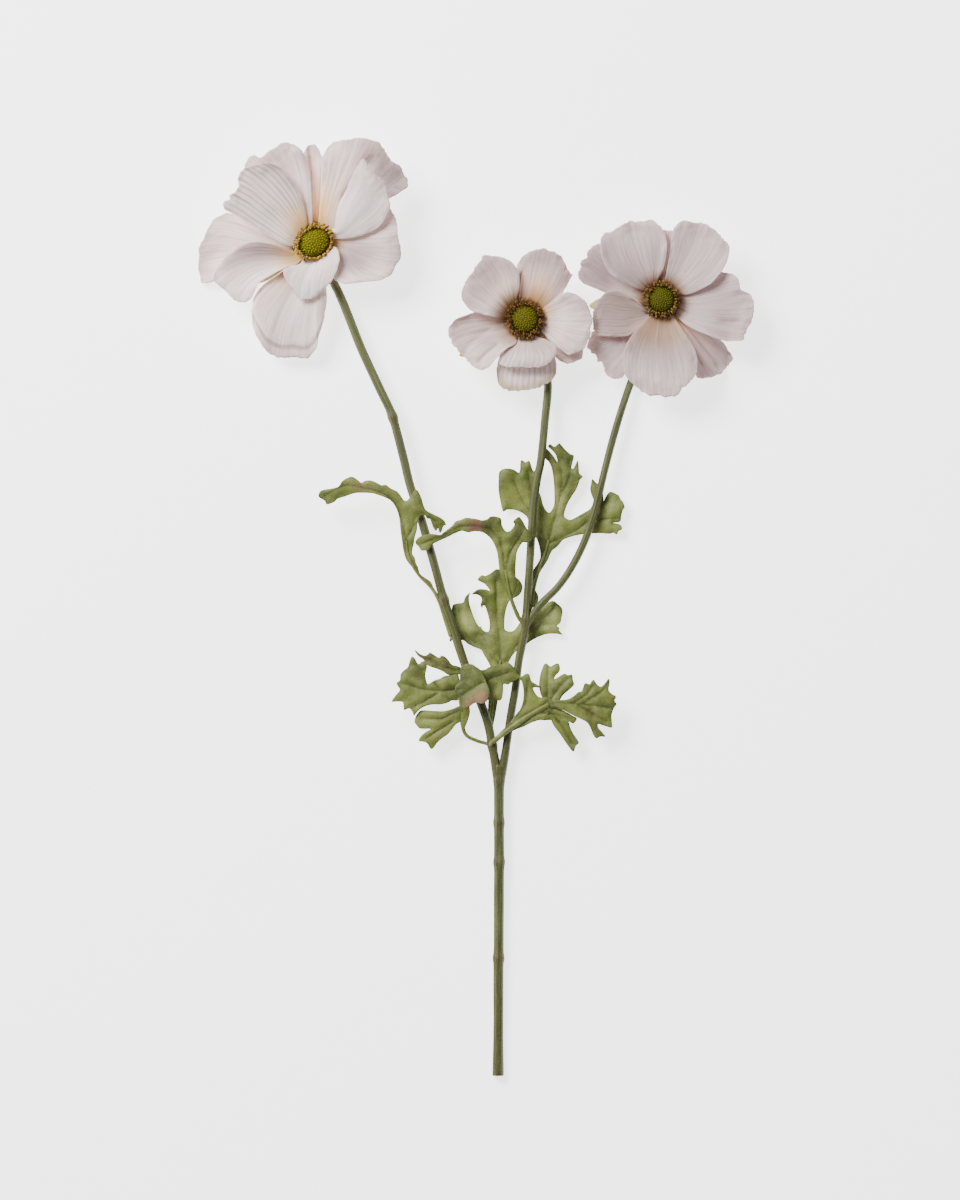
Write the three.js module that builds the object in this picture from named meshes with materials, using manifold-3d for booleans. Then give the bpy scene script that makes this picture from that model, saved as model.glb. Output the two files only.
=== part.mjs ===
// Ranunculus stem with three open blooms and six divided leaves, lying on a flat surface.
// Millimetres, +Z up. The stem's cut end is at x 0, y 0 while the pieces are made, the blooms are
// towards +Y and face up. The finished group is shifted so that the origin is the middle of its
// bounding box, on the surface.
import * as THREE from "three";
import { mergeVertices } from "three/addons/utils/BufferGeometryUtils.js";
import Module from "manifold-3d";

const wasm = await Module();
wasm.setup();

// ---------------------------------------------------------------- driving dimensions
const GAP = 0.3; // clear space between pieces that touch on the real flower

const STEM_SIDES = 8;
const STEM_STEP = 9; // length of one straight stretch of a stem's tube
const MAIN_RADIUS = 2.5;
const CUT_END_RADIUS = 2.85;
const FORK_RADIUS = 3.1;
const LEFT_BRANCH_RADIUS = 2.15;
const MIDDLE_BRANCH_RADIUS = 2.0;
const RIGHT_BRANCH_RADIUS = 1.85;
const STEM_TOP_RADIUS = 2.9; // the swollen end that carries a bloom
const COLLAR_SWELL = 0.5; // how far a collar stands out of the stem
const COLLAR_HALF_LENGTH = 4;
const FORK_TAPER_LENGTH = 20; // over which a branch narrows from the fork
const TOP_TAPER_LENGTH = 8; // over which a branch swells under its bloom
const TOP_STRAIGHT_LENGTH = 3; // last stretch, square to the bloom

const PETAL_THICKNESS = 0.7;
const PETAL_COLUMNS = 7;
const PETAL_ROWS = 6;
const PETAL_ROOT_RADIUS = 6.3; // distance of a petal's root from the bloom's axis
const PETAL_ROOT_HALF_WIDTH = 2.8;
const PETAL_DISC_RADIUS = 7.2;
const PETAL_DISC_HEIGHT = 2;

const LEAF_THICKNESS = 0.8;
const PETIOLE_SIDES = 6;
const PETIOLE_STEPS = 7;

const DISC_SIDES = 14;

const SEPAL_THICKNESS = 0.7;
const SEPAL_DISC_RADIUS = 4.2;
const SEPAL_DISC_HEIGHT = 1.2;
const SEPAL_HALF_WIDTH = 4.6;
const SEPAL_ROOT_RADIUS = 2;
const SEPAL_ROOT_HALF_WIDTH = 1.6;
const SEPAL_BELLY = 0.4;
const SEPAL_COLUMNS = 2;
const SEPAL_ROWS = 3;

const STAMEN_SIDES = 3;
const STAMEN_DISC_HEIGHT = 0.9;
const FILAMENT_RADIUS = 0.36;
const ANTHER_RADIUS = 0.62;
const ANTHER_HALF_LENGTH = 1.15;
const OUTER_ANTHER_RISE = 3.9; // height of an anther above the button's underside
const INNER_ANTHER_RISE = 4.4;
const STAMEN_DISC_MARGIN = 0.5; // how far the stamens' disc reaches beyond the button
const STAMEN_FOOT_INSET = 0.6;
const INNER_STAMEN_REACH = 1.4; // distances of the anthers from the rim of the stamens' disc
const SHORT_STAMEN_REACH = 0.8;
const CENTER_HEIGHT = 6.2;
const CENTER_SEGMENTS = 18;
const CENTER_RELIEF = 0.035; // how far the dimples reach, as a share of the button's radius
// outline of the dome from its underside to its top, as shares of its radius and height
const CENTER_PROFILE = [
  [0, 0], [0.85, 0], [0.97, 0.18], [1, 0.42], [0.9, 0.68], [0.66, 0.88], [0.34, 0.98], [0, 1],
];

const SURFACE_BOX_SIZE = 1400;
const SURFACE_BOX_DEPTH = 20;

// heights above the stem's end, along a bloom's axis, from the bottom up
const SEPAL_DISC_BOTTOM = GAP;
const PETAL_DISC_BOTTOM = SEPAL_DISC_BOTTOM + SEPAL_DISC_HEIGHT + GAP;
const PETAL_LEVEL = PETAL_DISC_BOTTOM + PETAL_DISC_HEIGHT / 2;
const STAMEN_DISC_BOTTOM = PETAL_DISC_BOTTOM + PETAL_DISC_HEIGHT + GAP;
const CENTER_BOTTOM = STAMEN_DISC_BOTTOM + STAMEN_DISC_HEIGHT + GAP;

// ---------------------------------------------------------------- colours
const finish = (color, roughness) => () =>
  new THREE.MeshStandardMaterial({ color, roughness, metalness: 0, side: THREE.DoubleSide });
const petalFinish = finish(0xe9dfdd, 0.7);
const sepalFinish = finish(0xa9b07a, 0.7);
const stamenFinish = finish(0x8a6318, 0.7);
const centerFinish = finish(0x7d8a1c, 0.75);
const stemFinish = finish(0x7a7f4a, 0.6);
const leafFinish = finish(0x86905a, 0.7);

// ---------------------------------------------------------------- stem routes
// Points along each stem's middle, from its lower end to the bloom.
const MAIN_ROUTE = [
  [0, 0, 2.45], [0.2, 50, 3.3], [0.5, 100, 4.2], [0.5, 148.5, 5.6], [1, 156, 6],
];
const LEFT_ROUTE = [
  [0.5, 146, 5.5], [-3, 166, 6.4], [-6.5, 181, 7], [-16.5, 206, 8], [-23, 226, 8.8],
  [-27.5, 240, 9.3], [-32.5, 258.5, 9.9], [-39, 281, 10.4], [-44, 296, 10.5], [-47, 308.5, 10.4],
  [-51.5, 326, 10], [-54, 333.5, 9.8], [-60, 346, 9.4], [-68, 363.5, 8.8], [-74, 378.5, 8.2],
  [-78, 388.5, 7.9], [-81.5, 396, 7.7], [-88, 408, 7.7], [-92.7, 416, 8.6],
];
const MIDDLE_ROUTE = [
  [0.5, 146, 5.5], [3.5, 161, 6.2], [6, 178.5, 7], [8.5, 193.5, 7.6], [10.5, 208.5, 8.2],
  [13, 221, 8.7], [14, 228.5, 9], [15, 243.5, 9.4], [16, 258.5, 9.7], [17.5, 283.5, 9.9],
  [19.5, 298.5, 9.9], [21.5, 308.5, 9.8], [23.5, 328.5, 9.5], [25, 347, 9], [22, 360, 8.8],
  [17.5, 371.5, 9],
];
const RIGHT_ROUTE = [
  [13.2, 225, 8.9], [21, 236, 9.1], [29.5, 244.5, 9.2], [36, 253.5, 9.1], [42.5, 266, 8.9],
  [47, 278.5, 8.6], [51, 293.5, 8.2], [56, 313.5, 7.6], [61, 331, 6.9], [66, 346, 6.3],
  [71.5, 360, 6], [77.5, 376, 6.3],
];
const MAIN_COLLARS = [59, 107, 127, 148]; // distances from the cut end
const LEFT_COLLARS = [20, 97, 192];
const MIDDLE_COLLARS = [84];

// ---------------------------------------------------------------- blooms
// A petal is a sheet between two sides and a tip edge. Each point is x, y across the
// bloom and z above the level where the petals grow; sideA and sideB run outwards from the root,
// and the tip runs from the end of sideA to the end of sideB. belly is how far the middle sags.
const LEFT_BLOOM = {
  name: "left_bloom",
  seat: [-93.4, 418.2, 13],
  axis: [0.2, -0.16, 0.966],
  center: [-91.5, 416.75],
  buttonRadius: 5.7,
  stamenReach: 9.3,
  shortStamens: [-110, 20], // the span of angles where the front petal stands close
  stamens: 20,
  sepals: [[217, 34, 9.5], [150, 16, 6], [80, 18, 4], [5, 18, 3], [290, 9, 0]],
  petals: [
    { // wide petal behind the pleated one, upper left
      sideA: [[-7.5, 8.8, 0], [-17.5, 21.8, 4], [-26.5, 31.8, 8]],
      tip: [[-34, 35.8, 11], [-34, 39.3, 12], [-30.5, 42.5, 13], [-26.5, 41.8, 13], [-22.5, 44.8, 14],
        [-19.5, 46.8, 14], [-15.5, 48.8, 15], [-10, 48, 15], [-6, 45.3, 14]],
      sideB: [[-1, 7.8, 1.5], [-1, 19.3, 6], [-1.5, 29.3, 9], [-3, 37.8, 12]],
      belly: 1,
    },
    { // pleated petal, upper left, in front
      sideA: [[-3.5, 8.8, 3], [-5.5, 19.3, 9], [-9, 27.8, 13], [-15, 35.3, 16]],
      tip: [[-21.5, 38.8, 18], [-26.5, 38.8, 18.5], [-31.5, 36.8, 18.5], [-35, 35.3, 18],
        [-37.5, 31.3, 18], [-37, 27.8, 17.5], [-39.5, 24.3, 17], [-42, 22.8, 16.5], [-42, 20.8, 16],
        [-45, 18.8, 15], [-44.5, 15.8, 14]],
      sideB: [[-9.5, -1.8, 2], [-16.5, -0.3, 5], [-26.5, 5.3, 8], [-36, 11.3, 11]],
      belly: 1, pleats: 5, pleatHeight: 0.6, columns: 11,
    },
    { // narrow folded petal, top
      sideA: [[-0.5, 7.8, -0.5], [-1, 21.8, 3], [-2.5, 34.3, 6]],
      tip: [[-5.5, 44.3, 9], [-3.5, 47.3, 10], [-0.5, 48.3, 10], [2, 46.3, 10], [3.5, 41.8, 9]],
      sideB: [[2, 7.8, -0.5], [3, 19.3, 3], [4, 31.8, 6]],
      belly: 1, columns: 4,
    },
    { // wide petal, upper right, its outer side curled back
      sideA: [[2, 7.5, 0.3], [2.4, 19.3, 5.5], [4, 31.8, 10]],
      tip: [[4, 41.8, 12], [7.5, 47.3, 14], [12.5, 50.3, 15], [17.5, 50.5, 15], [20.5, 51.5, 15],
        [26.5, 51, 14], [32, 49.3, 12], [35.5, 45.3, 10], [38.5, 40.8, 8], [42.5, 37.8, 6],
        [44.5, 33.8, 4], [46.5, 31.3, 3], [46, 27.3, 2], [42.5, 27.8, 3], [39, 28.3, 4], [36, 26.8, 5]],
      sideB: [[9.5, 3.8, 0], [17.5, 10.8, 2], [26.5, 19.3, 4], [32.5, 23.8, 5]],
      belly: -2, columns: 8,
    },
    { // upright petal curling to a point, right, in front
      sideA: [[9.5, 5.8, 2.5], [11.5, 15.3, 6.5], [14.5, 23.8, 11], [18.5, 31.3, 15.5]],
      tip: [[20.5, 35.8, 18], [24.5, 40.3, 21], [27.5, 35.8, 20], [31.5, 32.3, 18], [35.5, 28.3, 15],
        [37, 22.8, 13], [38, 16.8, 11]],
      sideB: [[14.5, 1.8, 3.5], [23.5, 3.8, 7], [32.5, 7.8, 9]],
      belly: -2.5,
    },
    { // broad petal, right and below
      sideA: [[10, 4, 0.5], [22, 9, 2.5], [32, 14, 5]],
      tip: [[38, 16.8, 6], [40, 13.3, 6], [41.5, 6.3, 6], [41.5, 2.8, 6], [43, -2.3, 5], [43, -6.8, 4],
        [41, -11.3, 3], [38, -15.8, 3], [33.5, -18.3, 3], [26.5, -19.3, 4], [18.5, -20.5, 4],
        [14.5, -20.8, 4]],
      sideB: [[8, -6, 1], [8.5, -12, 3.2], [9.5, -18, 3.6]],
      belly: 1,
    },
    { // small lip petal below the button, in front
      sideA: [[9.8, -2.2, 4], [12.5, -6.3, 8], [12.5, -12.3, 8], [11, -17.3, 7]],
      tip: [[9, -19.8, 6], [6, -21.8, 5], [5.5, -25.8, 4], [-1, -27.5, 5], [-6, -27.8, 5],
        [-7.5, -29.8, 4], [-10.5, -24.8, 5], [-13.5, -19.3, 6]],
      sideB: [[-7, -10.3, 3.6], [-11, -11.8, 6], [-14.5, -13.8, 7]],
      belly: 0.2,
    },
    { // hanging petal, bottom, its tip curled
      sideA: [[-10, -9.3, 0], [-18.5, -15.8, 1], [-26, -21.3, 2], [-30.5, -27.8, 1.5]],
      tip: [[-32, -34.3, 0], [-31.5, -40.8, -1], [-29, -46.8, -2], [-25.5, -52.8, -4], [-22, -55.3, -6],
        [-17, -57.3, -7], [-10.5, -56.8, -7], [-5.5, -57.8, -7], [-2, -55.8, -6], [1, -50.8, -3],
        [3, -44.8, -2], [5, -37.3, -1]],
      sideB: [[1.5, -9.3, 0], [5, -17.3, 1], [6, -27.3, 0.5]],
      belly: -2,
    },
    { // broad petal, lower left, in front
      sideA: [[-10.5, -4.3, 1], [-19.5, -1.3, 3], [-29.5, 0.3, 4], [-37.5, -1.8, 4]],
      tip: [[-43.5, -5.8, 3], [-48, -11.8, 2], [-50.5, -17.3, 1], [-47.5, -21.3, 1], [-42.5, -25.8, 1],
        [-39, -28.8, 1], [-35.5, -29.8, 2], [-32, -28.3, 3]],
      sideB: [[-8.5, -10.3, 3.5], [-14.5, -12.8, 6], [-21, -16.3, 6.5], [-27, -21.8, 5.5]],
      belly: 1,
    },
    { // back petal, left, drooping to the surface
      sideA: [[-11.5, -0.3, -0.5], [-23.5, 5.8, 0], [-35, 12.8, 0]],
      tip: [[-44.5, 15.3, -1], [-50, 12.3, -3], [-54, 7.3, -6], [-55.5, 3.3, -9], [-58, -0.3, -12.5],
        [-58.5, -6.3, -16], [-59, -9.8, -17], [-58, -15.8, -15], [-57, -19.3, -12], [-51.5, -18.8, -9]],
      sideB: [[-12.5, -6.3, -0.5], [-26.5, -10.3, -1], [-39.5, -14.3, -4]],
      belly: -2.5,
    },
  ],
};

const MIDDLE_BLOOM = {
  name: "middle_bloom",
  seat: [13.3, 378.2, 13.5],
  axis: [0, 0.03, 1],
  center: [13.25, 378.5],
  buttonRadius: 6.5,
  stamenReach: 11,
  shortStamens: null,
  stamens: 20,
  sepals: [[208, 37, 5], [292, 30, 1.5], [356, 18, 3], [65, 18, 3], [137, 18, 3]],
  petals: [
    { // top
      sideA: [[-4, 9.5, 0.5], [-4.5, 17, 3], [-3.8, 23.5, 5]],
      tip: [[-3.8, 27, 6], [-0.8, 31, 8], [3.3, 34, 9], [7.8, 34.8, 9.5], [12.8, 34, 9.5],
        [17.8, 31.5, 9], [20.3, 27.5, 8], [21.8, 24.5, 6.5], [23.5, 22, 5]],
      sideB: [[11.5, 5, 1], [16, 9.5, 3], [18.5, 13.5, 4.5], [21.3, 18, 5]],
      belly: -1,
    },
    { // upper left, in front
      sideA: [[-3.4, 9.5, 2.6], [-2.6, 16, 6.5], [-2.8, 22.5, 9], [-4.8, 26.5, 10]],
      tip: [[-7.3, 28.5, 10], [-10.8, 30.5, 10], [-15.3, 31.5, 9.5], [-19.8, 31.5, 9], [-21.8, 29, 9],
        [-24.8, 25, 9], [-28.8, 20, 9], [-31.3, 14, 9], [-31.3, 9.5, 8.5]],
      sideB: [[-10.3, 0.5, 3.4], [-16.3, 1, 6.5], [-22.3, 2.5, 8], [-27.3, 4.5, 8.3]],
      belly: 1.5,
    },
    { // small, behind, lower right
      sideA: [[12.8, -6.5, 0.5], [23.8, -11, 1]],
      tip: [[29.8, -15, 1], [28.8, -18.5, 0.5], [25.8, -21, 0], [21.8, -22, 0], [17.3, -20.5, 0]],
      sideB: [[7.8, -10, 0], [12.8, -16, 0]],
      belly: 0.5,
    },
    { // right
      sideA: [[10.5, 6.5, 3], [15.2, 10.5, 6.5]],
      tip: [[17.8, 12.8, 8], [21.8, 13.3, 9], [26.3, 12, 8.5], [29.8, 9, 7.5], [32.3, 5, 6.5],
        [33.5, 0, 6], [33.3, -5, 6], [31.8, -10, 6], [29.8, -14.5, 5.5], [26.3, -16.5, 5],
        [21.8, -17.5, 4]],
      sideB: [[10, -7.5, 2], [13.8, -11.5, 3.6], [17.8, -15, 4]],
      belly: -2,
    },
    { // long, bottom, behind
      sideA: [[-4.8, -10, 0.8], [-10.8, -16, 1.5], [-13.3, -21, 1.5]],
      tip: [[-13.3, -27, 1], [-13.3, -31.5, 0.5], [-10.3, -34.5, 0], [-4.8, -35.8, -0.5],
        [1.8, -35, -0.5], [8.3, -33.5, 0], [13.3, -30.5, 0.5], [15.8, -27, 1]],
      sideB: [[7.8, -10, 0.8], [13.8, -16, 1.5], [15.8, -21.5, 1.5]],
      belly: 0.8,
    },
    { // short, bottom, in front
      sideA: [[-5.3, -10, 2.5], [-10.3, -15, 4.6]],
      tip: [[-12.8, -18.5, 5.5], [-12.3, -22.5, 6], [-7.3, -24, 6.5], [0.3, -24.3, 7], [7.8, -24, 7.5],
        [12.3, -22, 8], [15.8, -18, 8]],
      sideB: [[6.8, -9, 3.2], [11.8, -11, 6.5], [15.8, -14, 8]],
      belly: -1.2,
    },
    { // lower left, in front
      sideA: [[-9.5, 3.5, 0.8], [-18, 4, 2.6], [-24.8, 3.8, 4]],
      tip: [[-29.3, 1.5, 5], [-34.8, -0.5, 5], [-37.3, -3, 4], [-37.8, -6.5, 3.5], [-36.8, -10, 3.5],
        [-35.8, -12.5, 3.5], [-32.3, -17, 5], [-29.3, -20, 5.5], [-25.8, -23.5, 6.5], [-21.8, -25.5, 7],
        [-17.8, -24, 7.5]],
      sideB: [[-3.8, -11.5, 4.3], [-9.3, -15.5, 7.5], [-13.3, -19, 8]],
      belly: 1.5,
    },
  ],
};

const RIGHT_BLOOM = {
  name: "right_bloom",
  seat: [81.5, 388.3, 11],
  axis: [0, 0.02, 1],
  center: [81.5, 388.5],
  buttonRadius: 6.6,
  stamenReach: 10,
  shortStamens: null,
  stamens: 20,
  sepals: [[184, 36, 4], [256, 18, 3], [328, 16, 3], [40, 20, 3], [112, 20, 3]],
  petals: [
    { // back, in the notch at the top
      sideA: [[-4.5, 9, 0.3], [-7, 22, 1], [-7, 30, 1.5]],
      tip: [[-4, 33.5, 2], [1.5, 34.7, 2.5], [5, 34.5, 2.5], [10, 33, 2]],
      sideB: [[6, 9, 0.3], [11, 20, 1], [13, 28, 1.5]],
      belly: 0,
    },
    { // back, left
      sideA: [[-10.5, 7.5, 0.5], [-19.5, 16, 1.5], [-26.5, 24, 2.5]],
      tip: [[-30, 28.5, 3], [-34, 26.5, 3], [-37, 23.5, 3], [-37.5, 21, 3], [-40, 19, 2.5],
        [-40, 16.5, 2], [-41.5, 14, 2], [-41.5, 11, 2.5], [-39, 8, 3]],
      sideB: [[-9.5, -3, 0.4], [-19, 0.5, 1.6], [-27, 3.6, 3.2], [-34, 6, 3.5]],
      belly: 0.5,
    },
    { // upper left, in front
      sideA: [[-1.5, 9.5, 2], [1.5, 17, 5], [2.8, 25, 7], [2, 31.5, 7.5]],
      tip: [[-0.5, 36.5, 7], [-5, 39.5, 7], [-10, 38.5, 8], [-15.5, 39.2, 8], [-20.5, 36.5, 8.5],
        [-25, 33.5, 8], [-28.5, 33, 8], [-30.5, 29.5, 8.5]],
      sideB: [[-10.5, 5, 2.6], [-18.5, 8, 6], [-25.5, 12.5, 8.5], [-30, 21, 9]],
      belly: 1.2,
    },
    { // right
      sideA: [[12, 4.5, 0.8], [19.5, 8.5, 2], [26, 12.5, 3]],
      tip: [[30.5, 14, 5.5], [35, 13, 6], [38.5, 9.5, 6], [40, 5, 5.5], [43.5, 3, 5], [46, 0, 4.5],
        [46, -6, 4], [44.5, -12.5, 4], [42, -16, 4], [41.5, -19.5, 4.5], [40, -20.8, 5]],
      sideB: [[8.5, -9, 2.6], [14.5, -14, 5], [22.5, -18, 6.5], [31.5, -20.5, 6]],
      belly: 1,
    },
    { // upper right, in front
      sideA: [[1.8, 9.5, 2], [3.3, 17.5, 4.5], [4.5, 25, 6], [5, 31, 7]],
      tip: [[6, 35.5, 7.5], [9.5, 38.8, 8], [14.5, 39, 8], [18, 38, 7.5], [19.5, 38.5, 7.5],
        [23.5, 36.5, 8], [28, 33.5, 8.5], [31, 29.5, 9], [33.5, 27, 9], [33.5, 22, 9], [32.5, 18, 9]],
      sideB: [[13, 2.5, 3], [19.5, 5, 5.5], [25, 8, 7.5], [29.5, 13, 8.5]],
      belly: 1.2,
    },
    { // back, lower right, drooping to the surface
      sideA: [[11.5, -9, 0.3], [19.5, -13, -0.5], [26.5, -17.5, -2]],
      tip: [[31.5, -21.5, -5], [34.5, -25.5, -11], [36.5, -28.5, -15.5], [34, -32, -13.5], [31, -36, -9.5],
        [26.5, -38, -7.5], [22, -39, -6.5], [18, -38.5, -6]],
      sideB: [[7.5, -15, 0.3], [12.5, -25, -1.5], [15.5, -33, -4]],
      belly: -1,
    },
    { // back, lower left
      sideA: [[-9.5, -9, 0.3], [-19.5, -13, 0], [-28.5, -14, 0]],
      tip: [[-34.5, -16, -0.5], [-37, -22.5, -1.5], [-35.5, -25.5, -2], [-33, -27.5, -2],
        [-31.5, -30.5, -2.5], [-29.5, -31, -2.5], [-28.5, -34.5, -3], [-26.5, -38, -3], [-23, -39.5, -3],
        [-19, -38.5, -2.5]],
      sideB: [[-5.5, -12.5, 0.3], [-10.5, -22.5, 0.5], [-14.5, -31, -0.5]],
      belly: 0.5,
    },
    { // left, its upper edge raised
      sideA: [[-8, -3.5, 3], [-13.5, 1, 7], [-20.5, 4, 8], [-25, 4.7, 7.3]],
      tip: [[-29, 2.5, 6], [-32, -1, 4.5], [-34, -6, 3.5], [-34.5, -12.5, 3], [-32, -18, 3]],
      sideB: [[-6.5, -8.5, 2], [-10.5, -14, 2.8], [-16.5, -18, 3.4], [-24.5, -18.5, 3.2]],
      belly: 1,
    },
    { // bottom, in front
      sideA: [[-7, -9.5, 3.2], [-13.5, -16.5, 6.5], [-18, -23.5, 8], [-19, -31, 7.5]],
      tip: [[-18, -38.5, 6], [-14.5, -42, 5], [-10.5, -45.5, 4.5], [-5.5, -48, 4], [-1.5, -47.5, 4],
        [2.5, -48.8, 4], [8.5, -47.5, 4.5], [10.5, -44.5, 5], [14.5, -41, 6], [17.5, -37, 7]],
      sideB: [[6.5, -9, 3.2], [11.5, -16.5, 6], [16.5, -25, 8], [18, -32, 8]],
      belly: 0.8,
    },
  ],
};
const BLOOMS = [LEFT_BLOOM, MIDDLE_BLOOM, RIGHT_BLOOM];

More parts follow.
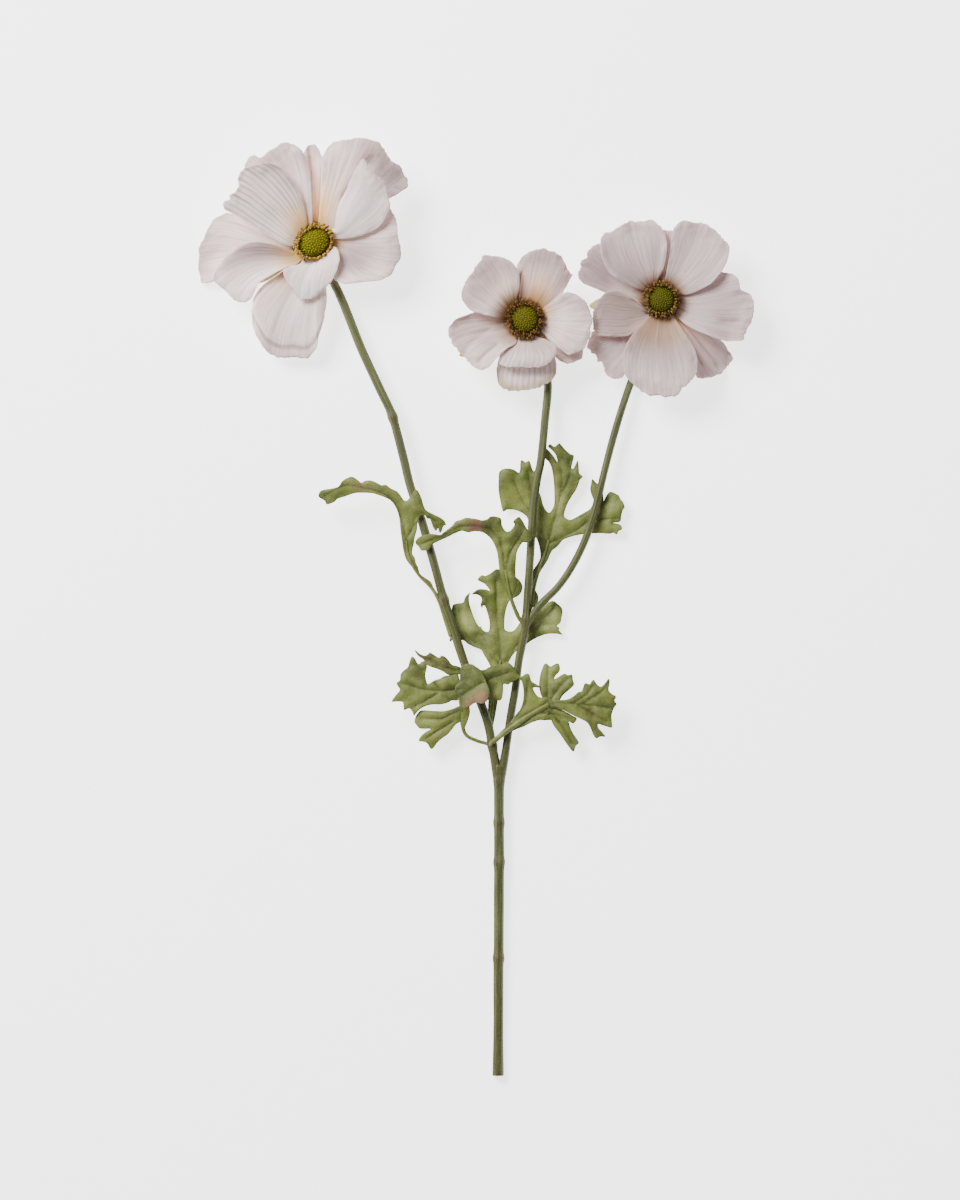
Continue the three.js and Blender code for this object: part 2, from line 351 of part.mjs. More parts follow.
// ---------------------------------------------------------------- leaves
// Each leaf is a round stalk and its blades. A blade is given by the points round its rim, measured
// from the stem's cut end, with z above the surface.
const LEAVES = [
  {
    name: "leaf_left_arching",
    stalkRadii: [1.1, 0.7],
    stalk: [[-31.8, 242.5, 9.6], [-34.5, 246, 10.3], [-39.25, 250.75, 11.4], [-43, 256.5, 12.4],
      [-45.25, 262.5, 13.4], [-45.75, 268.5, 14]],
    blades: [
      // whole blade: an upright body, a long lobe arching to the left and a hooked one to the right
      [[-32, 241.75, 9.5], [-34.25, 244.5, 10.2], [-37.5, 248, 10.8], [-40, 251, 11.4],
        [-43.5, 255.5, 12.3], [-46, 259, 13], [-47.25, 263, 13.6], [-48, 268, 14.2],
        [-48.75, 273.5, 14.6], [-49.25, 278.5, 15], [-50, 282, 15.4], [-51.5, 285.5, 16],
        [-53.5, 288, 16.6], [-56, 289.5, 17.2], [-59.5, 290.75, 17.6], [-63, 291.75, 18],
        [-68, 292, 18], [-71.5, 291.75, 17.6], [-75.5, 290.5, 16.6], [-80, 289, 15.4],
        [-81.75, 287.5, 14.4], [-85.5, 286.25, 13.4], [-86.5, 288, 13.6], [-89.5, 290, 14],
        [-89.5, 291.5, 14.6], [-88.5, 293, 15.4], [-86, 293.75, 16], [-82.5, 294.25, 16.8],
        [-79.5, 295.25, 18], [-78, 297.5, 19.2], [-76, 299, 20.2], [-73, 300, 20.8],
        [-70.5, 298.75, 20.8], [-68.25, 297, 20.6], [-66, 298, 21], [-63, 298, 21], [-60, 296.75, 20.6],
        [-58, 295.75, 20.2], [-56, 296, 20], [-53.5, 294.25, 19.2], [-50.5, 292.75, 18.4],
        [-48.5, 290.5, 17.4], [-46.75, 288, 16.4], [-45, 288.5, 16.2], [-43, 291.5, 16.4],
        [-41.5, 293.5, 16.8], [-40, 293, 16.8], [-38.25, 289.5, 16.4], [-37.25, 286, 15.8],
        [-35.75, 283.25, 15.2], [-32, 281.25, 14.6], [-28.5, 279.5, 14.2], [-26.75, 278, 13.4],
        [-26, 276, 12.6], [-27.25, 275.5, 12.8], [-28.25, 272.75, 12], [-29.25, 272.25, 11.8],
        [-30, 274.5, 12.4], [-31, 273, 12.2], [-32.5, 275, 12.8], [-33.25, 277, 13.4], [-34, 279, 13.8],
        [-35.5, 279.25, 14.2], [-36.75, 281, 14.6], [-39, 280, 14.8], [-40.25, 277, 14.8],
        [-40.5, 273.5, 14.6], [-41.5, 270, 14.2], [-42, 267, 13.8], [-42.75, 263.5, 13.4],
        [-42.75, 261.5, 13], [-41.5, 259.5, 12.8], [-41, 257, 12.4], [-40, 255, 12], [-39, 251.5, 11.4],
        [-37, 250, 11], [-34, 248, 10.4], [-32.75, 246, 10], [-31.9, 243.25, 9.6]],
    ],
  },
  {
    name: "leaf_middle_arching",
    stalkRadii: [1.1, 0.7],
    stalk: [[10.5, 229.5, 9.8], [8.25, 234.5, 11], [6.5, 239.5, 12.3], [5, 246, 13.6],
      [3.75, 253.5, 14.8]],
    blades: [
      // whole blade: an upright body, a long lobe arching to the left and toothed ones to the right
      [[10.25, 228.5, 9.8], [9, 231, 10.4], [7.5, 235, 11.2], [6, 239, 12], [3.5, 243.5, 13],
        [1.5, 248.5, 14], [0.75, 252.5, 14.8], [0.25, 257.5, 15.6], [-0.5, 262.5, 16.4],
        [-2, 266.5, 17], [-4, 269.5, 17.6], [-6, 271.25, 18.2], [-8.5, 272.5, 18.8],
        [-11.5, 272.75, 19.2], [-15, 272.25, 19], [-18, 273, 18.8], [-21, 272, 18.4],
        [-24, 270.5, 17.8], [-26.5, 269.25, 17.2], [-30, 267.75, 16.4], [-32.5, 266.5, 15.8],
        [-33.5, 265, 15.2], [-35, 263.5, 14.6], [-38.25, 263.25, 14.2], [-39.5, 265, 14.6],
        [-41, 266.5, 14.8], [-41.25, 267.75, 15.2], [-40, 269.5, 15.8], [-37, 271, 16.4],
        [-33, 271.5, 17], [-29, 271, 17.6], [-27.5, 272, 18], [-25.5, 273.5, 18.8], [-23, 275.5, 19.8],
        [-21, 277.75, 20.8], [-18.5, 278.5, 21.6], [-16, 279.5, 22.2], [-13, 279.25, 22.6],
        [-10, 278.75, 22.6], [-8, 278.25, 22.4], [-5.5, 278.75, 22], [-4, 280, 21.8],
        [-2, 280.25, 21.4], [1, 279.5, 20.8], [1.75, 278, 20.4], [1.75, 276.5, 20], [2.5, 274.5, 19.4],
        [4, 272.75, 19], [5.5, 272.75, 19], [7, 274, 19], [8.25, 276.25, 19.2], [7.5, 277.5, 19.6],
        [9, 279.25, 19.4], [10.5, 280, 19.2], [11.75, 278.75, 18.6], [13, 276.75, 17.8],
        [14.5, 274, 16.8], [16.5, 272, 15.8], [19.25, 270, 14.6], [17.5, 269.25, 15], [16, 267.5, 15],
        [14, 267.25, 15.4], [12.25, 267.25, 15.8], [11, 265.5, 16], [9.5, 262.5, 16], [9, 258.5, 15.8],
        [8.75, 252.5, 15], [9, 249.5, 14.4], [9.5, 247, 13.8], [8.75, 243.5, 13.2], [7.25, 240, 12.2],
        [7.75, 237.5, 11.6], [9, 234.5, 10.8], [10.5, 232, 10.2], [11, 230, 9.8]],
    ],
  },
  {
    name: "leaf_upper_right",
    stalkRadii: [1.1, 0.7],
    stalk: [[17, 236.5, 6.6], [18, 244.5, 5.8], [20.5, 253.5, 4.8], [23.5, 261.5, 4.2], [25.5, 268.5, 3.8]],
    blades: [
      // whole blade: three toothed lobes on a winged stalk
      [[16.5, 235.5, 6.3], [16.75, 242.5, 5.8], [17.25, 248.5, 5.2], [17.5, 253, 4.8], [20, 257, 4.4],
        [21.25, 260, 4.2], [20.75, 265, 4], [19.25, 269.5, 3.8], [16.5, 274.5, 3.4], [15, 279, 3.2],
        [14, 280.75, 3], [11.5, 282.5, 2.8], [8, 283.75, 2.9], [4.5, 283.75, 3.4], [2.75, 282.75, 4.5],
        [1.75, 285, 4.4], [1, 289, 4.6], [0.25, 293.5, 5], [0.25, 299.5, 5.3], [0.75, 302.75, 5.6],
        [3, 304.25, 6], [6.5, 304.25, 5.8], [8.5, 303.5, 5.2], [10.75, 302.5, 4.6], [11.25, 307.5, 5],
        [12, 308.75, 5.4], [13.75, 307.5, 5], [15.75, 308.25, 5.2], [17.75, 303, 4.2], [19.5, 305, 4.6],
        [21.75, 307.5, 5.2], [21.5, 301.5, 4.8], [20.5, 298, 4.4], [20.25, 294, 4], [21.5, 290.5, 3.7],
        [22.5, 286.5, 3.5], [24, 283.5, 3.5], [25.75, 282.25, 3.5], [27.25, 284, 3.6],
        [28.25, 287, 3.8], [28.25, 293.5, 4.4], [27.75, 300, 5.2], [26.75, 305, 6], [25.25, 308, 6.2],
        [23.75, 309.5, 6], [23.5, 314.5, 6.4], [24.75, 314, 6.6], [27.5, 311, 6.4],
        [29.75, 307.75, 5.6], [29, 311, 6.6], [27, 313.5, 7.6], [25, 315.25, 8.2], [26.25, 316.5, 8.4],
        [28.25, 315.25, 7.8], [30.5, 317, 8.2], [31.5, 316.25, 8], [33.5, 314, 7.6], [36, 311.75, 7.4],
        [38, 310.75, 7.6], [37.25, 307, 6.6], [36.75, 304.75, 6], [37.75, 304.25, 6], [38.75, 306, 6.4],
        [40, 308.5, 7.2], [40.5, 304.5, 6.6], [40.75, 302, 6.4], [42.5, 300.25, 6.8], [41, 298.75, 6],
        [40.5, 297, 5.6], [39, 293.5, 5], [37, 290.5, 4.4], [35, 287, 4], [33.5, 283, 3.7],
        [33.25, 280.5, 3.6], [34.5, 279.25, 3.5], [36.5, 278.75, 3.4], [40, 280.5, 3.3],
        [43.5, 282.5, 3.2], [46, 284, 3.2], [47.5, 286.5, 3.3], [48, 288.5, 3.5], [47, 291, 3.9],
        [46.25, 294, 4.4], [46.75, 297, 5], [47.25, 299.25, 5.4], [49.5, 297, 4.8], [51.25, 296.5, 4.6],
        [52.5, 292.5, 4.2], [53, 288.25, 4], [53.5, 289.25, 4.2], [55.25, 292, 4.8], [56.75, 292.75, 5],
        [59, 291.75, 5.2], [60.5, 291, 5.4], [61.5, 289, 5.6], [62.75, 287.5, 5.8], [63.5, 285, 6],
        [62.5, 283.5, 5.9], [61.75, 280.5, 5.6], [61.25, 277.75, 5.4], [57.5, 277.25, 4.6],
        [61.25, 276.25, 5.2], [62.25, 274, 5.4], [60.5, 273, 5.2], [59.5, 271.25, 5.2],
        [58, 272.25, 4.8], [56, 271.75, 4.6], [51, 272, 4], [46, 271.75, 3.5], [41, 271.25, 3.3],
        [36, 270, 3.4], [32.5, 268.5, 3.6], [30, 265.5, 3.8], [27, 263, 4], [25, 258.5, 4.2],
        [21.5, 253, 4.7], [19.5, 248.5, 5.2], [18.5, 244.5, 5.7], [20.25, 240.25, 5.9],
        [19.25, 235.5, 6.3]],
    ],
  },
  {
    name: "leaf_behind_fork",
    stalkRadii: [1.2, 0.7],
    stalk: [[-3, 169, 2.8], [-3.5, 178.5, 3], [-2.5, 188.5, 3.3], [-0.5, 197.5, 3.7], [1.5, 208.5, 3.9]],
    blades: [
      // whole blade: three toothed lobes on a winged stalk
      [[-3.75, 168, 2.8], [-4.75, 174.5, 2.9], [-5, 181.5, 3.1], [-4.75, 188.5, 3.3],
        [-3.5, 196.5, 3.6], [-3, 202.5, 3.8], [-4, 205.5, 3.9], [-5.5, 208.5, 3.9], [-7, 211, 3.8],
        [-8.5, 213.5, 3.7], [-12, 215, 3.5], [-15, 216.5, 3.3], [-17.25, 218.25, 3.1], [-20, 218.5, 3],
        [-22.25, 218.75, 3], [-24.25, 217.5, 3.2], [-23.75, 221.5, 3.3], [-23, 225.5, 3.7],
        [-23.25, 231.5, 4], [-22.75, 235.75, 4.2], [-20.5, 236.75, 4.3], [-17.5, 237.25, 4.4],
        [-16.5, 239.75, 4.7], [-15, 241.5, 5], [-13.75, 242.25, 5.2], [-14.5, 240, 4.9],
        [-14.25, 236.5, 4.6], [-13, 232.5, 4.2], [-11.5, 228.5, 3.9], [-9.75, 225.5, 3.8],
        [-8.75, 225, 3.8], [-7.75, 226, 4], [-8.25, 224.5, 3.8], [-7, 223, 3.7], [-5, 222.5, 3.7],
        [-4.25, 224, 3.8], [-4.25, 227.5, 4], [-5, 231, 4.3], [-6, 234.5, 4.8], [-7.25, 236, 5],
        [-8, 234.5, 5], [-8.75, 236, 5.4], [-8.25, 238, 5.8], [-8.25, 239.5, 6.4], [-9.5, 240.75, 7],
        [-11.5, 241.5, 7.8], [-13, 241.25, 8.4], [-11, 243.25, 8.6], [-9, 244, 8.4], [-6, 243.75, 7.8],
        [-4, 243.25, 7.2], [-5.5, 245.25, 7.6], [-7, 246.75, 7.9], [-8.5, 247.5, 8.1],
        [-10.25, 248.75, 8.4], [-9, 250.25, 8.4], [-8, 251, 8.4], [-6.25, 250.5, 8], [-4, 251.75, 7.8],
        [-2, 253.25, 7.7], [-0.5, 254, 7.6], [2, 253.5, 7.2], [5, 253, 7], [7.5, 252, 6.6],
        [9, 250, 6.4], [11, 248.25, 6.2], [12.25, 245.5, 6], [11.75, 242.5, 5.9], [10, 240.5, 5.8],
        [7, 239, 5.8], [5.75, 238, 5.7], [4.75, 236, 5.4], [3.75, 232.5, 5], [3.25, 228.5, 4.5],
        [3.25, 224.5, 4], [4, 223.25, 3.9], [5.5, 222.75, 3.9], [7.5, 223, 3.8], [9.5, 225, 3.6],
        [11, 227.25, 3.4], [13.5, 230.5, 3.2], [17.5, 233.5, 3], [22, 235.5, 3], [25.5, 237.5, 3.2],
        [28, 238, 3.4], [30, 236.5, 3.6], [32.25, 234, 3.9], [32, 230, 3.9], [31.25, 227, 3.8],
        [29.5, 225.5, 3.5], [31, 224.5, 3.8], [30.5, 223.5, 3.8], [32.5, 221, 4.2], [30, 221.5, 3.9],
        [25, 221.5, 3.3], [21, 220.25, 3], [17, 218.25, 3], [13.75, 216, 3.1], [10.5, 214, 3.3],
        [7.5, 211, 3.6], [5, 206.5, 3.9], [3, 201.5, 3.9], [1, 195.5, 3.6], [0, 188.5, 3.3],
        [-1, 182.5, 3.1], [-1.75, 178.5, 3], [-2.75, 173.5, 2.9], [-3, 168, 2.8]],
    ],
  },
  {
    name: "leaf_lower_left",
    stalkRadii: [0.9, 1],
    stalk: [[-6.35, 166.75, 6.3], [-10.5, 168, 7], [-15.5, 170.5, 8], [-17.5, 174.5, 9],
      [-17.75, 180, 10.4], [-19, 190, 12.6]],
    blades: [
      // broad toothed lobe to the left
      [[-20.5, 202.5, 14.5], [-24, 201, 14.2], [-27, 200.5, 14], [-29, 199.25, 14], [-32, 198.25, 14],
        [-35, 196.5, 13.6], [-36, 199, 14.2], [-36.25, 201.5, 14.6], [-35.5, 205, 15], [-36, 207, 15.4],
        [-37.5, 208, 15.6], [-39.75, 206.5, 15.2], [-41.5, 209.25, 15.6], [-43, 210.25, 15.6],
        [-44.25, 207.5, 15], [-45, 205, 14.6], [-47.5, 203, 14.2], [-48.75, 201, 13.8],
        [-49, 198.5, 13.6], [-50.75, 197, 13.4], [-49.75, 195, 13.2], [-49, 193.5, 13.2],
        [-51, 191, 12.6], [-53.25, 187.75, 11.6], [-51, 187.75, 12], [-47.75, 187.5, 12.4],
        [-47.25, 185.5, 12.2], [-47, 183.5, 11.8], [-44.5, 184.25, 12], [-43, 183, 12],
        [-42, 180.75, 11.4], [-40.5, 182.5, 11.8], [-38.5, 184.25, 12], [-36, 185.5, 12.2],
        [-32.5, 186.25, 12.2], [-29, 186.25, 12.2], [-25.5, 187, 12.2], [-23, 188.25, 12.4],
        [-20, 188.5, 12.6], [-18.5, 192.5, 13.2], [-19, 197.5, 14]],
      // narrow lobe, upper left
      [[-18.5, 204.5, 15], [-20.5, 205.5, 15.4], [-23, 206.25, 15.8], [-25, 208.75, 17],
        [-26.5, 210.25, 17.6], [-28.25, 210.75, 17.8], [-29.5, 209.75, 17.6], [-32, 211.25, 17.8],
        [-34, 212.25, 18], [-35.5, 211, 17.6], [-37.25, 210.75, 17.2], [-39.5, 211.75, 17],
        [-41.5, 213.5, 16.6], [-40, 211, 16], [-38, 209.5, 15.8], [-37, 208.5, 15.8],
        [-36, 206.5, 15.6], [-34, 205.25, 15.4], [-31, 204.25, 15.2], [-28, 203, 15],
        [-26, 201.75, 14.8], [-24.5, 201, 14.6], [-21.5, 201.5, 14.4], [-19, 201.5, 14.4]],
      // two fingers, lower left
      [[-18.5, 185.5, 12], [-23, 184, 11.4], [-27, 183, 11], [-31, 183, 10.8], [-35, 183.25, 10.4],
        [-38.5, 183.25, 10], [-40, 182, 9.8], [-41.25, 180, 9.6], [-41.75, 177.5, 9.4],
        [-40.5, 175.5, 9.4], [-39.25, 174.25, 9.4], [-37, 174, 9.4], [-33.5, 174, 9.2],
        [-36, 172.5, 8.8], [-38.5, 170.5, 8.6], [-39.75, 168, 8.2], [-37.5, 167.5, 8.2],
        [-35.5, 166.75, 8], [-33.75, 164, 7.6], [-32.25, 164.5, 7.6], [-30.5, 167, 8],
        [-28, 169.25, 8.4], [-25.5, 171, 8.8], [-23, 173.75, 9.4], [-21, 176.25, 10],
        [-18.5, 178, 10.6], [-17.5, 181.5, 11.4]],
      // back of the folded centre lobe, rising to its crest
      [[-19.5, 191, 13], [-19, 196.5, 14], [-18.5, 201.5, 15.6], [-17.5, 205, 17.2], [-15.5, 206.5, 18],
        [-13, 206.25, 18.4], [-11, 205, 18.2], [-9, 203.75, 18], [-6.5, 203.75, 17.4], [-5, 204.75, 17],
        [-3.5, 205.25, 16.8], [-1.5, 205.5, 16.4], [1, 206, 16], [3, 206.75, 15.8], [4.5, 207.5, 15.4],
        [6, 206.75, 15.4], [8, 204.75, 15.2], [9, 202.5, 15], [11, 200, 14.6], [9.5, 198.75, 14.6],
        [7, 197.5, 14.6], [5, 196.25, 14.6], [2.75, 196.5, 14.6], [2.5, 192.5, 14.2],
        [1.5, 188.5, 13.8], [-1, 188.5, 13.8], [-5, 188.5, 13.8], [-10, 188.5, 13.6], [-15, 188.5, 13.4]],
      // front of the folded centre lobe, hanging from the crest
      [[-19.5, 190, 17], [-21, 191.5, 16.8], [-21.5, 193.5, 16.8], [-21, 195.75, 16.8],
        [-19.25, 198, 17], [-19, 202.5, 17.2], [-18.5, 205, 17.4], [-17, 206.25, 17.8],
        [-15.5, 206.75, 18.2], [-13, 206.5, 18.6], [-11, 205.25, 18.4], [-9, 203.75, 18.2],
        [-7, 200.5, 19], [-5.5, 197, 19.6], [-4.25, 193.5, 19.8], [-4.25, 191, 19.6],
        [-5.5, 188.25, 19.2], [-8, 186.75, 18.8], [-10, 187.25, 18.8], [-12, 187, 18.4],
        [-14, 185.5, 18], [-16.5, 184.25, 17.4], [-18, 184.5, 17.2], [-18.5, 188, 17.2]],
      // wing of the stalk
      [[-19, 186.5, 12.2], [-19.25, 181.5, 11.4], [-19, 177.5, 10.4], [-18.25, 174, 9.6],
        [-17.5, 172, 9.2], [-16.75, 174, 9.4], [-15.5, 177, 10], [-14.5, 180, 10.6], [-14, 183, 11.2],
        [-15, 186.5, 12]],
    ],
  },
  {
    name: "leaf_lower_right",
    stalkRadii: [1.2, 1.5],
    stalk: [[-2.6, 167.5, 10.1], [2.5, 171.5, 11.1], [8.5, 176, 11.6], [16, 181, 12.2],
      [25.5, 186.5, 13]],
    blades: [
      // winged stalk and the lobe standing up to the left
      [[-3, 168, 10.2], [-0.5, 170.75, 10.5], [2.5, 173.75, 11], [6, 177.25, 11.3], [8.75, 181, 11.8],
        [11, 183.75, 12.4], [12.25, 187, 13], [12.75, 191, 13.8], [12.5, 195, 14.6], [11.75, 198, 15.4],
        [10.5, 199.75, 16.2], [12, 200.5, 16.8], [14, 201.75, 17.4], [15.5, 201.5, 17.6],
        [16.25, 199.5, 17], [16.75, 198, 16.4], [19, 196.5, 15.8], [20.75, 195.5, 15.4],
        [20.5, 194.75, 15.2], [18.75, 195, 15.2], [17.5, 194.5, 15], [18.25, 192.5, 14.6],
        [19.75, 190.5, 14.2], [21.5, 189.75, 14], [24.5, 190, 13.8], [27, 188, 13.6], [27, 184.5, 13],
        [25.5, 181.5, 12.4], [24, 178.5, 11.8], [21, 178.5, 11.9], [17, 177.25, 11.6],
        [13, 175.25, 11.2], [9, 173.75, 11], [5, 171.5, 10.8], [1, 168.75, 10.3], [-2, 166.25, 10.1]],
      // two upper fingers
      [[24.5, 185.5, 13.2], [22.5, 189, 13.6], [21, 192.5, 13.8], [20.5, 196.5, 13.8],
        [21, 200.5, 13.6], [22, 204, 13.4], [23, 206.25, 13.2], [24.25, 206.75, 13.2],
        [26.25, 205.25, 13.2], [28, 206.25, 13.2], [30.25, 206.75, 13.2], [31, 204.5, 13.2],
        [30.5, 202.5, 13.3], [29, 201, 13.5], [28, 199, 13.6], [30, 200, 13.8], [32, 201.25, 14],
        [33.5, 201.75, 14.2], [34.75, 201, 14.4], [37, 201.25, 14.6], [37.5, 198.5, 14.6],
        [38, 196.25, 14.4], [36.5, 194.5, 14.2], [34.5, 192.75, 14], [32.75, 191.25, 13.8],
        [31.5, 189.5, 13.6], [30, 186.5, 13.4], [27.5, 184.5, 13.2]],
      // broad toothed lobe to the right
      [[27.5, 188, 14], [31, 188.5, 14.6], [35, 189, 15.2], [38, 190.75, 15.8], [40, 192.5, 16.2],
        [41.75, 193, 16.4], [42.5, 195, 16.6], [43.5, 197, 16.6], [45.75, 196.5, 16.6],
        [46.5, 197.75, 16.4], [47.75, 198.75, 16.2], [49, 197, 16], [51, 195.25, 15.6],
        [53, 196.5, 15.6], [54.75, 198.75, 15.4], [55.5, 199.25, 15.2], [55.75, 197, 15],
        [55.25, 193.5, 14.8], [57, 191.5, 14.2], [59, 190.25, 13.6], [58.25, 188.25, 13.6],
        [59.25, 186.5, 13], [58, 184.5, 13], [56.75, 181, 12.6], [57, 177.5, 12], [57, 174.75, 11.4],
        [55, 175, 11.8], [52.5, 175.75, 12.2], [50, 176.5, 12.6], [50.25, 174.5, 12.2],
        [52, 172.5, 11.4], [53.75, 170.25, 10.4], [51.25, 170.25, 10.6], [49.25, 169.25, 10.2],
        [47.75, 171, 10.8], [46.5, 174, 11.8], [45, 176.75, 12.6], [43, 178.25, 13.2],
        [39.75, 179.75, 13.8], [36.5, 181.5, 14], [32.5, 183.5, 14], [28, 185, 13.8]],
      // short lobe under the broad one
      [[21, 184.5, 12.6], [25, 186, 12.8], [29, 184.5, 12.4], [32, 183.5, 12.2], [35, 182, 11.8],
        [37.5, 180.5, 11.4], [39.5, 179.25, 11], [37.75, 176.75, 10.6], [35.5, 177.75, 11],
        [35.25, 176.25, 10.8], [32, 177.5, 11.2], [29, 178.25, 11.6], [26, 178.5, 11.8], [23, 179, 12]],
      // long finger pointing down
      [[25, 182.5, 12.2], [26.5, 178.75, 11.6], [28, 175.5, 11], [31, 171.5, 10.2], [34, 167, 9.2],
        [36, 164.25, 8.6], [37.75, 162.5, 8.2], [38.5, 164, 8.4], [39.25, 165.75, 8.6],
        [40.5, 167, 8.6], [39.5, 169, 9], [37.75, 171.5, 9.6], [36.25, 174.5, 10.4], [35.25, 177.5, 11],
        [32, 181, 11.6], [28.5, 183.5, 12.2]],
    ],
  },
];

// ---------------------------------------------------------------- solids
const UP = new THREE.Vector3(0, 0, 1);
const vectors = (points) => points.map((p) => new THREE.Vector3(...p));

// turns a closed three.js geometry into a solid that can be joined and cut
function solid(geometry) {
  const bare = geometry.clone();
  bare.deleteAttribute("normal");
  bare.deleteAttribute("uv");
  const merged = mergeVertices(bare, 1e-4);
  return new wasm.Manifold(new wasm.Mesh({
    numProp: 3,
    vertProperties: new Float32Array(merged.attributes.position.array),
    triVerts: new Uint32Array(merged.index.array),
  }));
}

function geometryOf(body) {
  const mesh = body.getMesh();
  const geometry = new THREE.BufferGeometry();
  geometry.setAttribute("position", new THREE.BufferAttribute(mesh.vertProperties, 3));
  geometry.setIndex(new THREE.BufferAttribute(mesh.triVerts, 1));
  geometry.computeVertexNormals();
  return geometry;
}

// one body out of many, with any hollow that joining seals filled
function join(bodies) {
  const sum = bodies.reduce((whole, body) => whole.add(body));
  const shells = sum.decompose().sort((a, b) => b.volume() - a.volume());
  return shells[0];
}

// cuts away what would sink into the surface, which leaves a small flat to rest on
function restOnSurface(body) {
  const box = new THREE.BoxGeometry(SURFACE_BOX_SIZE, SURFACE_BOX_SIZE, SURFACE_BOX_DEPTH);
  box.translate(0, 0, -SURFACE_BOX_DEPTH / 2);
  return body.subtract(solid(box));
}

// closed body between the rows of points of a front and a back face
function closedSheet(front, back) {
  const rows = front.length;
  const columns = front[0].length;
  const positions = [...front.flat(), ...back.flat()].flatMap((p) => [p.x, p.y, p.z]);
  const top = (i, j) => i * columns + j;
  const under = (i, j) => rows * columns + i * columns + j;
  const triangles = [];
  const quad = (a, b, c, d) => triangles.push(a, b, c, a, c, d);
  for (let i = 0; i + 1 < rows; i++) {
    for (let j = 0; j + 1 < columns; j++) {
      quad(top(i, j), top(i + 1, j), top(i + 1, j + 1), top(i, j + 1));
      triangles.push(under(i, j), under(i + 1, j + 1), under(i + 1, j));
      triangles.push(under(i, j), under(i, j + 1), under(i + 1, j + 1));
    }
    quad(under(i, 0), under(i + 1, 0), top(i + 1, 0), top(i, 0));
    quad(top(i, columns - 1), top(i + 1, columns - 1), under(i + 1, columns - 1), under(i, columns - 1));
  }
  for (let j = 0; j + 1 < columns; j++) {
    quad(top(0, j), top(0, j + 1), under(0, j + 1), under(0, j));
    quad(under(rows - 1, j), under(rows - 1, j + 1), top(rows - 1, j + 1), top(rows - 1, j));
  }
  const geometry = new THREE.BufferGeometry();
  geometry.setAttribute("position", new THREE.Float32BufferAttribute(positions, 3));
  geometry.setIndex(triangles);
  return geometry;
}

// gives a grid of points its thickness, half to each side
function thicken(grid, thickness) {
  const last = grid.length - 1;
  const end = grid[0].length - 1;
  const offset = (side) => grid.map((row, i) => row.map((point, j) => {
    const along = grid[Math.min(i + 1, last)][j].clone().sub(grid[Math.max(i - 1, 0)][j]);
    const across = row[Math.min(j + 1, end)].clone().sub(row[Math.max(j - 1, 0)]);
    const normal = along.cross(across).normalize();
    return point.clone().addScaledVector(normal, (side * thickness) / 2);
  }));
  return closedSheet(offset(1), offset(-1));
}

// points by their share of the length of a smooth curve
function edgeCurve(points) {
  const curve = new THREE.CatmullRomCurve3(vectors(points), false, "catmullrom", 0.5);
  return (t) => curve.getPointAt(t);
}

const evenShares = (count) => Array.from({ length: count + 1 }, (_, k) => k / count);

// the grid of a petal or sepal: its four edges are blended across, and its middle sags by belly
function sheetGrid(lobe, root) {
  const { sideA, tip, sideB, belly = 0, pleats = 0, pleatHeight = 0 } = lobe;
  const { columns = PETAL_COLUMNS, rows = PETAL_ROWS } = lobe;
  const edgeA = edgeCurve([root[0], ...sideA, tip[0]]);
  const edgeB = edgeCurve([root[1], ...sideB, tip[tip.length - 1]]);
  const edgeTip = edgeCurve(tip);
  const [rootA, rootB] = vectors(root);
  const [tipA, tipB] = [edgeTip(0), edgeTip(1)];
  return evenShares(rows).map((v) => evenShares(columns).map((u) => {
    const point = rootA.clone().lerp(rootB, u).multiplyScalar(1 - v).addScaledVector(edgeTip(u), v);
    point.addScaledVector(edgeA(v), 1 - u).addScaledVector(edgeB(v), u);
    point.addScaledVector(rootA, -(1 - u) * (1 - v)).addScaledVector(rootB, -u * (1 - v));
    point.addScaledVector(tipA, -(1 - u) * v).addScaledVector(tipB, -u * v);
    const sag = belly * Math.sin(Math.PI * u) * Math.sin(Math.PI * v);
    const pleat = pleatHeight * Math.cos(2 * Math.PI * pleats * u) * Math.sin(Math.PI * u) * v;
    point.z += pleat - sag;
    return point;
  }));
}

// tube whose radius changes along a route, closed by flat ends
function taperedTube(route, radiusAt, sides, steps) {
  const curve = new THREE.CatmullRomCurve3(vectors(route), false, "catmullrom", 0.5);
  const frames = curve.computeFrenetFrames(steps, false);
  const positions = [];
  const triangles = [];
  for (let i = 0; i <= steps; i++) {
    const middle = curve.getPointAt(i / steps);
    const radius = radiusAt(i / steps, curve.getLength());
    for (let k = 0; k < sides; k++) {
      const angle = (2 * Math.PI * (k + 0.5)) / sides;
      const p = middle.clone().addScaledVector(frames.normals[i], radius * Math.cos(angle));
      p.addScaledVector(frames.binormals[i], radius * Math.sin(angle));
      positions.push(p.x, p.y, p.z);
    }
  }
  for (let i = 0; i < steps; i++) {
    for (let k = 0; k < sides; k++) {
      const a = i * sides + k;
      const b = i * sides + ((k + 1) % sides);
      triangles.push(a, b, b + sides, a, b + sides, a + sides);
    }
  }
  for (let k = 1; k + 1 < sides; k++) {
    const top = steps * sides;
    triangles.push(0, k + 1, k, top, top + k, top + k + 1);
  }
  const geometry = new THREE.BufferGeometry();
  geometry.setAttribute("position", new THREE.Float32BufferAttribute(positions, 3));
  geometry.setIndex(triangles);
  return solid(geometry);
}

function lathe(profile, segments) {
  const geometry = new THREE.LatheGeometry(profile.map(([r, z]) => new THREE.Vector2(r, z)), segments);
  geometry.rotateX(Math.PI / 2);
  return geometry;
}

// round disc with its underside at height z
function disc(radius, z, height) {
  const geometry = new THREE.CylinderGeometry(radius, radius, height, DISC_SIDES);
  geometry.rotateX(Math.PI / 2).translate(0, 0, z + height / 2);
  return geometry;
}

